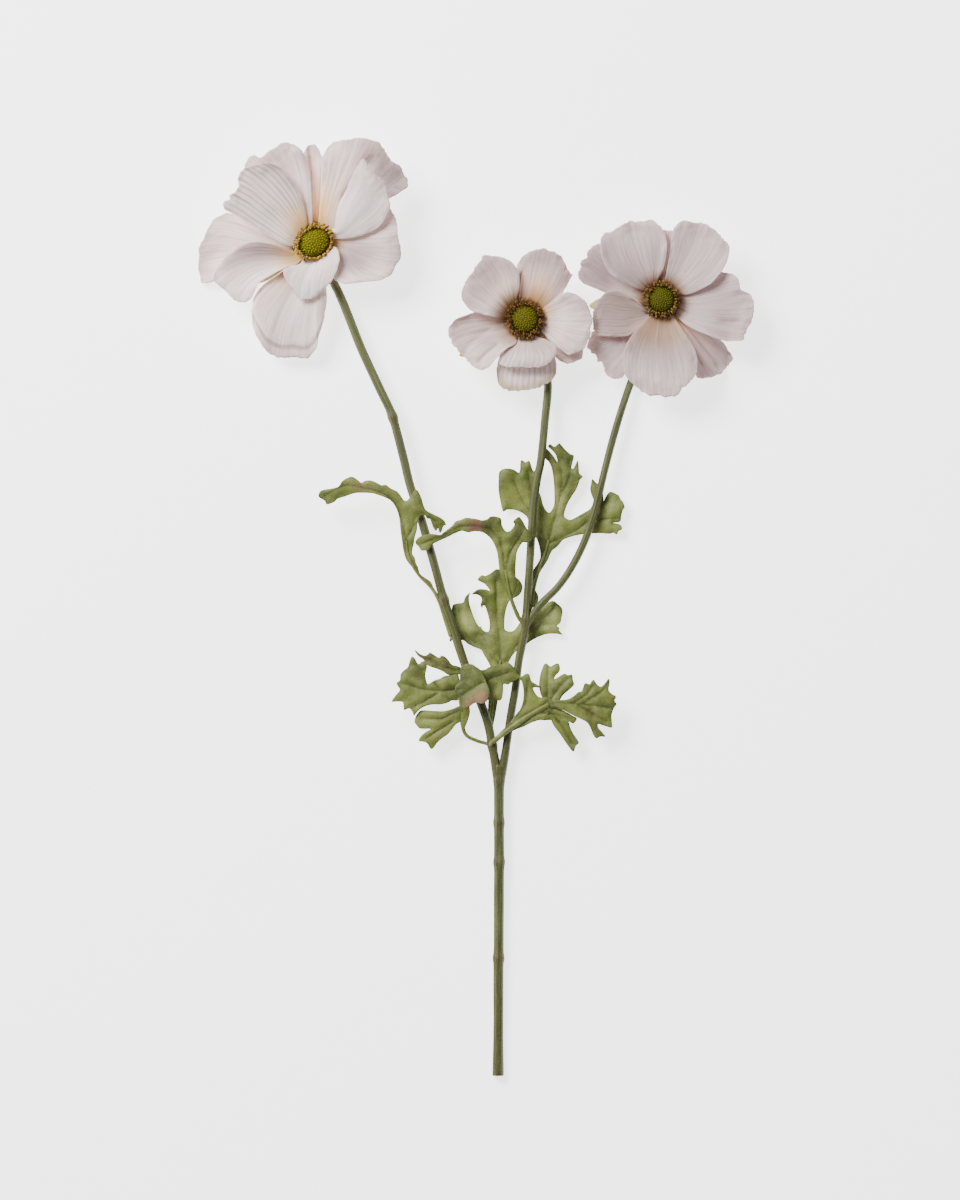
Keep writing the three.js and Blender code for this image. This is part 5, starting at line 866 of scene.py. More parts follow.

# %% Petals of the right bloom
# Shade shares, patches and fold browns are painted shade and painted light here too.
RIGHT_PETALS = [
    {  # back, in the notch at the top
        "side_a": [(-4.5, 9, 0.3), (-7, 22, 1), (-7, 30, 1.5)],
        "tip": [(-4, 33.5, 2), (1.5, 34.7, 2.5), (5, 34.5, 2.5), (10, 33, 2)],
        "side_b": [(6, 9, 0.3), (11, 20, 1), (13, 28, 1.5)],
        "belly": 0, "cup": -0.6, "shade": 0.9,
    },
    {  # back, left
        "side_a": [(-10.5, 7.5, 0.5), (-19.5, 16, 1.5), (-26.5, 24, 2.5)],
        "tip": [(-30, 28.5, 3), (-34, 26.5, 3), (-37, 23.5, 3), (-37.5, 21, 3), (-40, 19, 2.5),
            (-40, 16.5, 2), (-41.5, 14, 2), (-41.5, 11, 2.5), (-39, 8, 3)],
        "side_b": [(-9.5, -3, 0.4), (-19, 0.5, 1.6), (-27, 3.6, 3.2), (-34, 6, 3.5)],
        "belly": 0.5, "cup": -0.6, "shade": 0.7,
        "painted_shade_and_light": [(0.5, 0.85, 0.6, 0.4, 1.3)],
    },
    {  # upper left, in front
        "side_a": [(-1.5, 9.5, 2), (1.5, 17, 5), (2.8, 25, 7), (2, 31.5, 7.5)],
        "tip": [(-0.5, 36.5, 7), (-5, 39.5, 7), (-10, 38.5, 8), (-15.5, 39.2, 8),
            (-20.5, 36.5, 8.5), (-25, 33.5, 8), (-28.5, 33, 8), (-30.5, 29.5, 8.5)],
        "side_b": [(-10.5, 5, 2.6), (-18.5, 8, 6), (-25.5, 12.5, 8.5), (-30, 21, 9)],
        "belly": 1.2, "rib_height": 0.12,
        "painted_shade_and_light": [(0.85, 0.6, 0.25, 0.5, 0.6)],
    },
    {  # right
        "side_a": [(12, 4.5, 0.8), (19.5, 8.5, 2), (26, 12.5, 3)],
        "tip": [(30.5, 14, 5.5), (35, 13, 6), (38.5, 9.5, 6), (40, 5, 5.5), (43.5, 3, 5),
            (46, 0, 4.5), (46, -6, 4), (44.5, -12.5, 4), (42, -16, 4), (41.5, -19.5, 4.5),
            (40, -20.8, 5)],
        "side_b": [(8.5, -9, 2.6), (14.5, -14, 5), (22.5, -18, 6.5), (31.5, -20.5, 6)],
        "belly": 1,
        "folds": [(0.75, -0.1, 0.04, -0.6, 0.55, 0.95, 0.1)],
        "painted_shade_and_light": [(0.6, 0.5, 0.4, 0.5, 0.45)],
    },
    {  # upper right, in front
        "side_a": [(1.8, 9.5, 2), (3.3, 17.5, 4.5), (4.5, 25, 6), (5, 31, 7)],
        "tip": [(6, 35.5, 7.5), (9.5, 38.8, 8), (14.5, 39, 8), (18, 38, 7.5), (19.5, 38.5, 7.5),
            (23.5, 36.5, 8), (28, 33.5, 8.5), (31, 29.5, 9), (33.5, 27, 9), (33.5, 22, 9),
            (32.5, 18, 9)],
        "side_b": [(13, 2.5, 3), (19.5, 5, 5.5), (25, 8, 7.5), (29.5, 13, 8.5)],
        "belly": 1.2,
        "painted_shade_and_light": [(0.95, 0.35, 0.25, 0.35, 0.6), (0.5, 0.97, 0.6, 0.1, 0.35)],
    },
    {  # back, lower right, drooping to the surface
        "side_a": [(11.5, -9, 0.3), (19.5, -13, -0.5), (26.5, -17.5, -2)],
        "tip": [(31.5, -21.5, -5), (34.5, -25.5, -11), (36.5, -28.5, -15.5), (34, -32, -13.5),
            (31, -36, -9.5), (26.5, -38, -7.5), (22, -39, -6.5), (18, -38.5, -6)],
        "side_b": [(7.5, -15, 0.3), (12.5, -25, -1.5), (15.5, -33, -4)],
        "belly": -1, "shade": 0.2, "peach": 0.9, "peach_reach": 30,
        "folds": [(0.55, 0.2, 0.07, -0.9, 0.1, 1, 0.1), (0.8, 0.1, 0.05, -0.7, 0.1, 0.9, 0.1)],
    },
    {  # back, lower left
        "side_a": [(-9.5, -9, 0.3), (-19.5, -13, 0), (-28.5, -14, 0)],
        "tip": [(-34.5, -16, -0.5), (-37, -22.5, -1.5), (-35.5, -25.5, -2), (-33, -27.5, -2),
            (-31.5, -30.5, -2.5), (-29.5, -31, -2.5), (-28.5, -34.5, -3), (-26.5, -38, -3),
            (-23, -39.5, -3), (-19, -38.5, -2.5)],
        "side_b": [(-5.5, -12.5, 0.3), (-10.5, -22.5, 0.5), (-14.5, -31, -0.5)],
        "belly": 0.5, "cup": -0.6, "shade": 0.9,
        "painted_shade_and_light": [(0.5, 0.6, 0.5, 0.5, 0.6)],
    },
    {  # left, its upper edge raised
        "side_a": [(-4.8, -8.2, 3.4), (-9, -3.6, 5.6), (-13.5, 0.8, 7.2), (-20.5, 4, 8),
            (-25, 4.7, 7.3)],
        "tip": [(-29, 2.5, 6), (-32, -1, 4.5), (-34, -6, 3.5), (-34.5, -12.5, 3), (-32, -18, 3)],
        "side_b": [(-6.2, -9.8, 2.2), (-10.5, -14, 2.8), (-16.5, -18, 3.4), (-24.5, -18.5, 3.2)],
        "belly": 1, "shade": 0.8, "haze": 0.2, "peach": 0.3, "peach_reach": 50,
        "folds": [(0.1, 0, 0.05, -0.8, -0.1, 0.6, 0.5)],
        "painted_shade_and_light": [(0.02, 0.3, 0.035, 0.4, -1), (0.5, 0.75, 0.55, 0.5, 1.4)],
    },
    {  # bottom, in front
        "side_a": [(-7, -9.5, 3.2), (-13.5, -16.5, 6.5), (-18, -23.5, 8), (-19, -31, 7.5)],
        "tip": [(-18, -38.5, 6), (-14.5, -42, 5), (-10.5, -45.5, 4.5), (-5.5, -48, 4),
            (-1.5, -47.5, 4), (2.5, -48.8, 4), (8.5, -47.5, 4.5), (10.5, -44.5, 5), (14.5, -41, 6),
            (17.5, -37, 7)],
        "side_b": [(6.5, -9, 3.2), (11.5, -16.5, 6), (16.5, -25, 8), (18, -32, 8)],
        "belly": 0.8, "peach": 0.9, "peach_reach": 34, "haze": 0.6,
        "painted_shade_and_light": [(0.5, 0.28, 0.6, 0.32, 1.25), (0.93, 0.65, 0.15, 0.4, 0.5),
            (0.4, 0.82, 0.3, 0.12, -0.4)],
    },
]
print("right bloom:", len(RIGHT_PETALS), "petals")

# %% Grow the petals
PETALS = {"left_bloom": LEFT_PETALS, "middle_bloom": MIDDLE_PETALS, "right_bloom": RIGHT_PETALS}


def grow_petals(name):
    bloom = BLOOMS[name]
    bm, tint = start_piece()
    for number, changes in enumerate(PETALS[name]):
        petal = {**PLAIN_PETAL, **changes}
        seed = 11.0 * number + 3.0 * len(name)
        u = np.linspace(0, 1, PETAL_COLUMNS + 1)
        v = np.linspace(0, 1, PETAL_ROWS + 1)
        smooth = blended_sheet(petal_root(bloom, petal), petal, u, v)
        sheet, sunk = live_sheet(smooth, petal, seed)
        tints = petal_tints(name, sheet, sunk, petal, seed)
        add_sheet(bm, tint, sheet + petal_zero(bloom), tints, PETAL_THICKNESS)
    finish_piece(name + "_ruffled_petals", bm, petal_white, name + "_petals")


for name in BLOOMS:
    grow_petals(name)

# %% [markdown]
# ## Cups and sepals
# Under the petals the stem widens into a small green cup, with pointed sepals round it. The cup is
# round, so its outline is spun. The sepals are sheets like the petals, but narrow, firmer and
# ribbed, and a long one shows in the gaps between the petals.

# %% Green finish of cups and sepals
sepal_green, sepal_shader = new_material(
    "sepal_green", Roughness=0.6, Specular_IOR_Level=0.35, Subsurface_Weight=0.08,
    Subsurface_Scale=0.001)
sepal_uv = uv_of(sepal_green)
sepal_tint = tint_of(sepal_green)
sepal_veins = noise_on(sepal_green, stretched(sepal_green, sepal_uv, (26, 2, 1)), 1, 4, 0.6)
sepal_dark = spread(sepal_green, sepal_veins, 0.42, 0.7, 0, 0.7)
sepal_tone = mix_colors(sepal_green, sepal_dark, sepal_tint, color(196, 200, 160), "MULTIPLY")
fill(sepal_green, sepal_shader, {"Base Color": sepal_tone})
bump_on(sepal_green, sepal_shader, sepal_veins, 0.0002, 0.6)
SEPAL_GREEN = color(128, 130, 78)
SEPAL_PALE = color(180, 176, 128)
print("sepal finish has", len(sepal_green.node_tree.nodes), "nodes")

# %% Cups
CUP_OUTLINE = [  # radius and height, in mm
    (2.7, 0.2), (4.3, 0.6), (5.6, 1.3), (7.2, 1.8), (9.3, 2.1), (9.4, 2.4), (7.4, 3.0), (6.6, 3.9),
    (5.9, 4.9),
]
CUP_SIDES = 40
CUP_BROWN = color(92, 64, 30)
CUP_BROWN_FROM = 2.2  # the cup's wide lip is brown above this height, as the petals' roots are


def grow_cup(name):
    bm, tint = start_piece()
    spin_outline(bm, CUP_OUTLINE, CUP_SIDES)
    bmesh.ops.holes_fill(bm, edges=[e for e in bm.edges if e.is_boundary], sides=CUP_SIDES)
    bmesh.ops.recalc_face_normals(bm, faces=bm.faces[:])
    for vert in bm.verts:
        vert[tint] = CUP_BROWN if vert.co.z > CUP_BROWN_FROM else SEPAL_GREEN
    seat_piece(BLOOMS[name], bm)
    finish_piece(name + "_cup", bm, sepal_green)


for name in BLOOMS:
    grow_cup(name)

# %% Sepals
SEPAL_ROWS = 24
SEPAL_COLUMNS = 12
SEPAL_RIBS = 5
SEPAL_RIB_HEIGHT = 0.12
SEPAL_THICKNESS = 0.6
SEPAL_WIDEST = 4.6           # mm to each side of its middle
SEPAL_ROOT_DISTANCE = 2      # mm from the bloom's axis
SEPAL_ROOT_HALF_WIDTH = 1.6


def sepal_outline(length, droop):
    """A pointed leaf shape that grows along x and falls by its droop."""
    wide = min(SEPAL_WIDEST, length / 5)

    def at(share, side, fall):
        return (length * share, wide * side, SEPAL_LEVEL - droop * fall)
    return {
        **PLAIN_PETAL,
        "side_a": [at(0.35, -0.8, 0.2), at(0.7, -1, 0.6)],
        "tip": [at(0.9, -0.6, 0.9), at(1, 0, 1), at(0.9, 0.6, 0.9)],
        "side_b": [at(0.35, 0.8, 0.2), at(0.7, 1, 0.6)],
        "belly": 0.4,
    }


def grow_sepals(name):
    bloom = BLOOMS[name]
    bm, tint = start_piece()
    u = np.linspace(0, 1, SEPAL_COLUMNS + 1)
    v = np.linspace(0, 1, SEPAL_ROWS + 1)
    root = [np.array((SEPAL_ROOT_DISTANCE, side * SEPAL_ROOT_HALF_WIDTH, SEPAL_LEVEL))
            for side in (-1, 1)]
    ribs = SEPAL_RIB_HEIGHT * np.cos(2 * np.pi * SEPAL_RIBS * u)
    for degrees, length, droop in bloom["sepals"]:
        sheet = blended_sheet(root, sepal_outline(length, droop), u, v)
        sheet[..., 2] += ribs[None] * smooth_step(0, 0.3, v)[:, None]
        turn = np.array(Matrix.Rotation(math.radians(degrees), 3, "Z"))
        sheet = tilted(bloom, sheet @ turn.T).reshape(sheet.shape)
        paler = smooth_step(0.3, 1, v)[:, None] + 0 * u
        add_sheet(bm, tint, sheet, mixed(SEPAL_GREEN, SEPAL_PALE, paler), SEPAL_THICKNESS)
    finish_piece(name + "_veined_sepals", bm, sepal_green, name + "_sepals")


for name in BLOOMS:
    grow_sepals(name)

# %% [markdown]
# ## Buttons
# The green button is a dome of many small carpels packed in spirals, each with a tiny hooked tip.
# They are placed by the golden angle, the rule that such heads follow, on a dome that is spun from
# its outline. Each carpel is a small round shape with its tip drawn out.

# %% Green finish of the buttons
button_green, button_shader = new_material(
    "center_olive", Roughness=0.75, Specular_IOR_Level=0.15, Subsurface_Weight=0.1,
    Subsurface_Scale=0.001)
button_tint = tint_of(button_green)
button_place = place_of(button_green)
button_grain = noise_on(button_green, button_place, 1800, 3)
button_dark = spread(button_green, button_grain, 0.35, 0.65)
button_tone = mix_colors(button_green, button_dark, button_tint, color(190, 190, 120), "MULTIPLY")
fill(button_green, button_shader, {"Base Color": button_tone})
bump_on(button_green, button_shader, button_grain, 0.0002, 0.5)
BUTTON_GREENS_SHADED_AND_LIT = {  # dark green between the carpels, with painted shade, and pale green on their tops, with painted light
    "left_bloom": (color(78, 72, 4), color(144, 138, 24)),
    "middle_bloom": (color(56, 50, 4), color(114, 110, 16)),
    "right_bloom": (color(46, 43, 3), color(102, 102, 14)),
}
print("button finish has", len(button_green.node_tree.nodes), "nodes")

# %% Buttons of carpels
CARPELS = 210
CARPEL_RADIUS = 0.56
CARPEL_TIP = 0.5                   # mm that its tip is drawn out
CARPEL_HOOK = 0.2                  # mm that its tip leans to one side
TIP_FROM = 0.8                     # the tip is the part of a carpel above this share of its radius
CARPEL_SINK = 0.45                 # mm from the button's surface to the middle of a carpel
DOME_SINK = 0.2                    # mm from the button's surface to the dome under the carpels
DOME_SIDES = 32
DOME_RINGS = 12
GOLDEN_ANGLE = math.pi * (3 - math.sqrt(5))
EQUATOR = 0.42                     # height of the dome's widest ring, as a share of its height
DOME_FOOT = math.radians(118)      # measured from the top of the dome, as the next one is
LOWEST_CARPEL = math.radians(112)


def add_carpel(bm, tint, root, way, dark, pale, size):
    """A small ball with its tip drawn out, pointing a given way."""
    made = bmesh.ops.create_icosphere(bm, subdivisions=2, radius=1)["verts"]
    turn = Vector((0, 0, 1)).rotation_difference(Vector(way)).to_matrix()
    for vert in made:
        height = vert.co.z
        point = Vector((vert.co.x * size, vert.co.y * size, height * size * 1.15))
        if height > TIP_FROM:
            point.z += CARPEL_TIP * (height - TIP_FROM) / (1 - TIP_FROM)
            point.x += CARPEL_HOOK * (height - TIP_FROM) / (1 - TIP_FROM)
        # darker towards the carpel's foot, painted shade where it meets its neighbours, and paler
        # on its top, partly painted light
        vert[tint] = (*mixed(dark, pale, float(smooth_step(-0.6, 1.3, height))), 1)
        vert.co = turn @ point + Vector(root)


def grow_button(name):
    bloom = BLOOMS[name]
    radius = bloom["button_radius"]
    dark, pale = BUTTON_GREENS_SHADED_AND_LIT[name]
    bm, tint = start_piece()
    rise = (1 - EQUATOR) * BUTTON_HEIGHT
    middle = BUTTON_LEVEL + EQUATOR * BUTTON_HEIGHT
    dome = [(0, BUTTON_LEVEL), (0.8 * radius, BUTTON_LEVEL)]
    dome += [((radius - DOME_SINK) * math.sin(a), middle + (rise - DOME_SINK) * math.cos(a))
             for a in np.linspace(DOME_FOOT, 0, DOME_RINGS)]
    spin_outline(bm, dome, DOME_SIDES)
    bmesh.ops.remove_doubles(bm, verts=bm.verts[:], dist=1e-4)
    bmesh.ops.recalc_face_normals(bm, faces=bm.faces[:])
    for vert in bm.verts:
        vert[tint] = (*mixed(dark, pale, 0.4), 1)
    for k in range(CARPELS):
        share = (k + 0.5) / CARPELS
        down = math.acos(1 - share * (1 - math.cos(LOWEST_CARPEL)))
        turn = k * GOLDEN_ANGLE + 0.12 * noise.noise(Vector((0.9 * k, 0, radius)))
        flat = (radius - CARPEL_SINK) * math.sin(down)
        height = middle + (rise - CARPEL_SINK) * math.cos(down)
        root = (flat * math.cos(turn), flat * math.sin(turn), height)
        way = Vector((root[0] / radius**2, root[1] / radius**2, (root[2] - middle) / rise**2))
        # carpels lower on the dome are darker: the button's own darker rim, and painted shade on
        # the sides that turn from the light
        pale_with_rim_shade = mixed(pale, dark, 0.9 * share**1.4)
        add_carpel(bm, tint, root, way.normalized(), mixed(dark, pale_with_rim_shade, 0.45), pale_with_rim_shade,
                   CARPEL_RADIUS * (0.8 + 0.25 * share + 0.2 * noise.noise(Vector((k, 3, 0)))))
    seat_piece(bloom, bm)
    finish_piece(name + "_button", bm, button_green, name + "_center")


for name in BLOOMS:
    grow_button(name)

# %% [markdown]
# ## Stamens
# Round the button stands a dense ring of stamens, each a thin filament with a pollen-filled anther
# on its end. They lean outwards in four whorls, and no two stand quite alike, so their angles and
# reach are drawn from a seeded random row. Each has few faces, because there are hundreds.

# %% Stamen finish
stamen_brown, stamen_shader = new_material(
    "stamen_golden_brown", Roughness=0.65, Specular_IOR_Level=0.3)
stamen_tint = tint_of(stamen_brown)
stamen_place = place_of(stamen_brown)
pollen = noise_on(stamen_brown, stamen_place, 3500, 2)
pollen_dark = spread(stamen_brown, pollen, 0.4, 0.65)
stamen_tone = mix_colors(stamen_brown, pollen_dark, stamen_tint, color(205, 190, 160), "MULTIPLY")
fill(stamen_brown, stamen_shader, {"Base Color": stamen_tone})
bump_on(stamen_brown, stamen_shader, pollen, 0.00012, 0.6)
FILAMENT_COLOR = color(120, 92, 40)
ANTHER_COLORS = {  # dark and golden anthers, and the share of golden ones
    "left_bloom": (color(120, 88, 24), color(204, 168, 64), 0.75),
    "middle_bloom": (color(74, 46, 12), color(150, 114, 44), 0.3),
    "right_bloom": (color(72, 48, 16), color(146, 120, 48), 0.5),
}
print("stamen finish has", len(stamen_brown.node_tree.nodes), "nodes")

# %% Stamens
WHORLS = [  # stamens, share of the way out to the longest reach, height above the button's foot
    (46, 1.0, 3.3), (44, 0.6, 3.9), (40, 0.25, 4.4), (30, 0.0, 4.7),
]
SHORT_REACH = 1.3     # mm past the button, where the longest stamens are short
SHORTEST_REACH = 0.6  # mm past the button
FILAMENT_RADIUS = 0.17
ANTHER_SIZE = (0.45, 0.5, 0.85)
ANTHER_SIDES = 7
ANTHER_RINGS = 5


def is_short(bloom, degrees):
    span = bloom["short_stamens"]
    return span is not None and (degrees - span[0]) % 360 < span[1] - span[0]


def add_stamen(bm, tint, foot, head, anther_color):
    """A bent filament from foot to head, and an anther with a groove on its end."""
    lift = Vector((0, 0, 0.35 * (head - foot).length))
    bent = [foot, foot.lerp(head, 0.35) + 0.4 * lift, foot.lerp(head, 0.7) + 0.35 * lift, head]
    line = along(smooth_line(bent), np.linspace(0, 1, 6))
    add_tube(bm, tint, line, lambda t, a: FILAMENT_RADIUS * (1.15 - 0.3 * t),
             lambda t, a: FILAMENT_COLOR[:3], 5)
    way = Vector(line[-1] - line[-2]).normalized()
    turn = Vector((0, 0, 1)).rotation_difference(way).to_matrix()
    made = bmesh.ops.create_uvsphere(bm, u_segments=ANTHER_SIDES, v_segments=ANTHER_RINGS, radius=1)
    for vert in made["verts"]:
        groove = 1 - 0.3 * math.exp(-(vert.co.x / 0.35) ** 2) * (vert.co.y > 0)
        shape = [c * size * groove for c, size in zip(vert.co, ANTHER_SIZE)]
        vert.co = head + turn @ (Vector(shape) + Vector((0, 0, 0.4)))
        vert[tint] = anther_color


def grow_stamens(name):
    bloom = BLOOMS[name]
    draw = random.Random(name)
    radius = bloom["button_radius"]
    dark, golden, golden_share = ANTHER_COLORS[name]
    bm, tint = start_piece()
    for count, outward, rise in WHORLS:
        for k in range(count):
            degrees = 360 * (k + draw.uniform(-0.6, 0.6)) / count
            longest = radius + SHORT_REACH if is_short(bloom, degrees) else bloom["stamen_reach"]
            shortest = radius + SHORTEST_REACH
            reach = shortest + (longest - shortest) * outward * draw.uniform(0.75, 1.05)
            level = BUTTON_LEVEL + rise + draw.uniform(-0.9, 0.7)
            spin = Matrix.Rotation(math.radians(degrees), 3, "Z")
            foot = spin @ Vector((radius - 0.15, 0, STAMEN_LEVEL))
            head = spin @ Vector((reach, 0, level))
            bright = draw.random() < golden_share
            tone = draw.uniform(0.5, 1) if bright else draw.uniform(0, 0.25)
            add_stamen(bm, tint, foot, head, (*mixed(dark, golden, tone), 1))
    seat_piece(bloom, bm)
    finish_piece(name + "_anthers", bm, stamen_brown, name + "_stamens")


for name in BLOOMS:
    grow_stamens(name)

# %% [markdown]
# ## Stems
# The stem and its three branches are round, faintly ribbed and a little thicker at each joint.
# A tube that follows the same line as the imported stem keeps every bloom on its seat. The ribs are
# in the tube's shape and run along its UV map, and finer lines of light and dark green run
# between them in the finish.

# %% Stem finish
stem_green, stem_shader = new_material(
    "stem_green", Roughness=0.55, Specular_IOR_Level=0.4, Subsurface_Weight=0.06,
    Subsurface_Scale=0.001)
stem_uv = uv_of(stem_green)
stem_tint = tint_of(stem_green)
stem_place = place_of(stem_green)
stem_lines = noise_on(stem_green, stretched(stem_green, stem_uv, (22, 9, 1)), 1, 4, 0.6)
stem_specks = noise_on(stem_green, stem_place, 900, 3)
stem_light = spread(stem_green, stem_lines, 0.45, 0.75, 0, 0.5)
stem_dark = spread(stem_green, stem_specks, 0.5, 0.75, 0, 0.6)
stem_tone = mix_colors(stem_green, stem_light, stem_tint, color(124, 128, 72))
stem_tone = mix_colors(stem_green, stem_dark, stem_tone, color(190, 186, 150), "MULTIPLY")
fill(stem_green, stem_shader, {"Base Color": stem_tone})
bump_on(stem_green, stem_shader, stem_lines, 0.0003, 0.6)
print("stem finish has", len(stem_green.node_tree.nodes), "nodes")

# %% Routes of the stem and its branches
MAIN_ROUTE = [(0, 0, 2.45), (0.2, 50, 3.3), (0.5, 100, 4.2), (0.5, 148.5, 5.6), (1, 156, 6)]
LEFT_ROUTE = [(0.5, 146, 5.5), (-3, 166, 6.4), (-6.5, 181, 7), (-16.5, 206, 8), (-23, 226, 8.8),
            (-27.5, 240, 9.3), (-32.5, 258.5, 9.9), (-39, 281, 10.4), (-44, 296, 10.5),
            (-47, 308.5, 10.4), (-51.5, 326, 10), (-54, 333.5, 9.8), (-60, 346, 9.4),
            (-68, 363.5, 8.8), (-74, 378.5, 8.2), (-78, 388.5, 7.9), (-81.5, 396, 7.7),
            (-88, 408, 7.7), (-92.7, 416, 8.6)]
MIDDLE_ROUTE = [(0.5, 146, 5.5), (3.5, 161, 6.2), (6, 178.5, 7), (8.5, 193.5, 7.6),
            (10.5, 208.5, 8.2), (13, 221, 8.7), (14, 228.5, 9), (15, 243.5, 9.4), (16, 258.5, 9.7),
            (17.5, 283.5, 9.9), (19.5, 298.5, 9.9), (21.5, 308.5, 9.8), (23.5, 328.5, 9.5),
            (25, 347, 9), (22, 360, 8.8), (17.5, 371.5, 9)]
RIGHT_ROUTE = [(13.2, 225, 8.9), (21, 236, 9.1), (29.5, 244.5, 9.2), (36, 253.5, 9.1),
            (42.5, 266, 8.9), (47, 278.5, 8.6), (51, 293.5, 8.2), (56, 313.5, 7.6), (61, 331, 6.9),
            (66, 346, 6.3), (71.5, 360, 6), (77.5, 376, 6.3)]
MAIN_COLLARS = [59, 107, 127, 148]  # distances of the joints from each stem's lower end
LEFT_COLLARS = [20, 97, 192]
MIDDLE_COLLARS = [84]
STEM_TOP_RADIUS = 2.9
COLLAR_SWELL = 0.5
COLLAR_SPREAD = 2.2
FORK_TAPER_LENGTH = 20
TOP_TAPER_LENGTH = 8
TOP_STRAIGHT_LENGTH = 3


def branch_route(route, bloom):
    """A route that ends square to its bloom."""
    axis = np.array(bloom["axis"]) / np.linalg.norm(bloom["axis"])
    seat = np.array(bloom["seat"], float)
    return [*route, seat - axis * TOP_STRAIGHT_LENGTH, seat]


STEM_PARTS = [  # route, own radius, joints, radius at the lower end, radius at the upper end
    (MAIN_ROUTE, 2.5, MAIN_COLLARS, 2.85, 3.1),
    (branch_route(LEFT_ROUTE, BLOOMS["left_bloom"]), 2.15, LEFT_COLLARS, 2.5, STEM_TOP_RADIUS),
    (branch_route(MIDDLE_ROUTE, BLOOMS["middle_bloom"]), 2.0, MIDDLE_COLLARS, 2.5,
     STEM_TOP_RADIUS),
    (branch_route(RIGHT_ROUTE, BLOOMS["right_bloom"]), 1.85, [], 1.85, STEM_TOP_RADIUS),
]
print("stem parts:", len(STEM_PARTS))

# %% Stem
STEM_SIDES = 28
STEM_STEP = 1.2
STEM_RIBS = 7
STEM_RIB_HEIGHT = 0.045  # share of the radius, as the next one is
STEM_WAVE = 0.05
STEM_TWIST = 0.01        # turn of the ribs, in radians for each mm
STEM_GREEN = color(73, 76, 34)
STEM_DEEP = color(49, 51, 18)
STEM_JOINT = color(72, 56, 30)


def grow_stem():
    bm, tint = start_piece()
    for number, (route, own, collars, lower, upper) in enumerate(STEM_PARTS):
        line = smooth_line(route)
        length = float(np.linalg.norm(np.diff(line, axis=0), axis=1).sum())
        shares = np.linspace(0, 1, round(length / STEM_STEP) + 1)

        def collar_at(t):
            """How near a joint is, from 0 to 1."""
            return max([0, *(math.exp(-((t * length - c) / COLLAR_SPREAD) ** 2) for c in collars)])

        def radius_at(t, angle):
            distance = t * length
            start = (lower - own) * (1 - float(smooth_step(0, FORK_TAPER_LENGTH, distance)))
            end = (upper - own) * float(smooth_step(length - TOP_TAPER_LENGTH, length, distance))
            rib = STEM_RIB_HEIGHT * math.cos(STEM_RIBS * angle + STEM_TWIST * distance)
            wave = STEM_WAVE * noise.noise(Vector((0.05 * distance, number, math.cos(angle))))
            return own * (1 + rib + wave) + start + end + COLLAR_SWELL * collar_at(t)

        def tint_at(t, angle):
            drift = 0.5 + 0.5 * noise.noise(Vector((0.02 * t * length, 3.0 + number, 0)))
            tone = mixed(STEM_GREEN, STEM_DEEP, drift)
            return mixed(tone, STEM_JOINT, 0.7 * collar_at(t) ** 3)

        add_tube(bm, tint, along(line, shares), radius_at, tint_at, STEM_SIDES)
    finish_piece("ribbed_stem", bm, stem_green, "stem")


grow_stem()

# %% [markdown]
# ## Leaves
# The leaves are thin, cut into lobes and teeth, and some arch over or fold. A leaf's rim is drawn
# point by point, filled with triangles by an operator, and refined until the faces are small.
# Heights spread smoothly from the rim to the inside. Then the veins are pressed in along their
# lines and the parts between them swell, as in a real leaf, before it gets its thickness.

# %% Leaf finish
leaf_green, leaf_shader = new_material(
    "leaf_green", Roughness=0.62, Specular_IOR_Level=0.35, Subsurface_Weight=0.1,
    Subsurface_Scale=0.001)
leaf_tint = tint_of(leaf_green)
leaf_place = place_of(leaf_green)
leaf_patches = noise_on(leaf_green, leaf_place, 130, 4)
leaf_cells = add_node(leaf_green, "TexVoronoi", {"Vector": leaf_place, "Scale": 700},
                      feature="DISTANCE_TO_EDGE").outputs["Distance"]
leaf_net = spread(leaf_green, leaf_cells, 0.0, 0.12, 0.45, 0)
leaf_pale = spread(leaf_green, leaf_patches, 0.45, 0.75, 0, 0.55)
leaf_tone = mix_colors(leaf_green, leaf_pale, leaf_tint, color(150, 156, 92))
leaf_tone = mix_colors(leaf_green, leaf_net, leaf_tone, color(186, 190, 140), "MULTIPLY")
fill(leaf_green, leaf_shader, {"Base Color": leaf_tone})
bump_on(leaf_green, leaf_shader, leaf_cells, 0.0004, 0.35)
print("leaf finish has", len(leaf_green.node_tree.nodes), "nodes")

# %% Fill a leaf's rim
RIM_STEP = 0.7
LEAF_EDGE_LENGTH = 1.1
REFINE_ROUNDS = 8


def closed_rim(points):
    """A smooth line round a rim, in even steps, without its last point twice."""
    p = np.array(points, float)
    line = smooth_line(np.vstack([p[-1:], p, p[:2]]))[12:-12]
    length = np.linalg.norm(np.diff(line, axis=0), axis=1).sum()
    return along(line, np.linspace(0, 1, round(length / RIM_STEP), endpoint=False))


def fill_rim(rim):
    """A bmesh with faces inside a flat rim, split and evened out until their edges are short."""
    bm, tint = start_piece()
    verts = [bm.verts.new((x, y, 0)) for x, y, z in rim]
    edges = [bm.edges.new(pair) for pair in zip(verts, verts[1:] + verts[:1])]
    bmesh.ops.triangle_fill(bm, use_beauty=True, use_dissolve=False, edges=edges)
    for _ in range(REFINE_ROUNDS):
        long = [e for e in bm.edges if not e.is_boundary and e.calc_length() > LEAF_EDGE_LENGTH]
        bmesh.ops.subdivide_edges(bm, edges=long, cuts=1)
        bmesh.ops.triangulate(bm, faces=bm.faces[:])
        inner = [e for e in bm.edges if not e.is_boundary]
        bmesh.ops.beautify_fill(bm, faces=bm.faces[:], edges=inner)
        bmesh.ops.smooth_vert(bm, verts=[v for v in bm.verts if not v.is_boundary], factor=0.5,
                              use_axis_x=True, use_axis_y=True, use_axis_z=False)
    return bm, tint


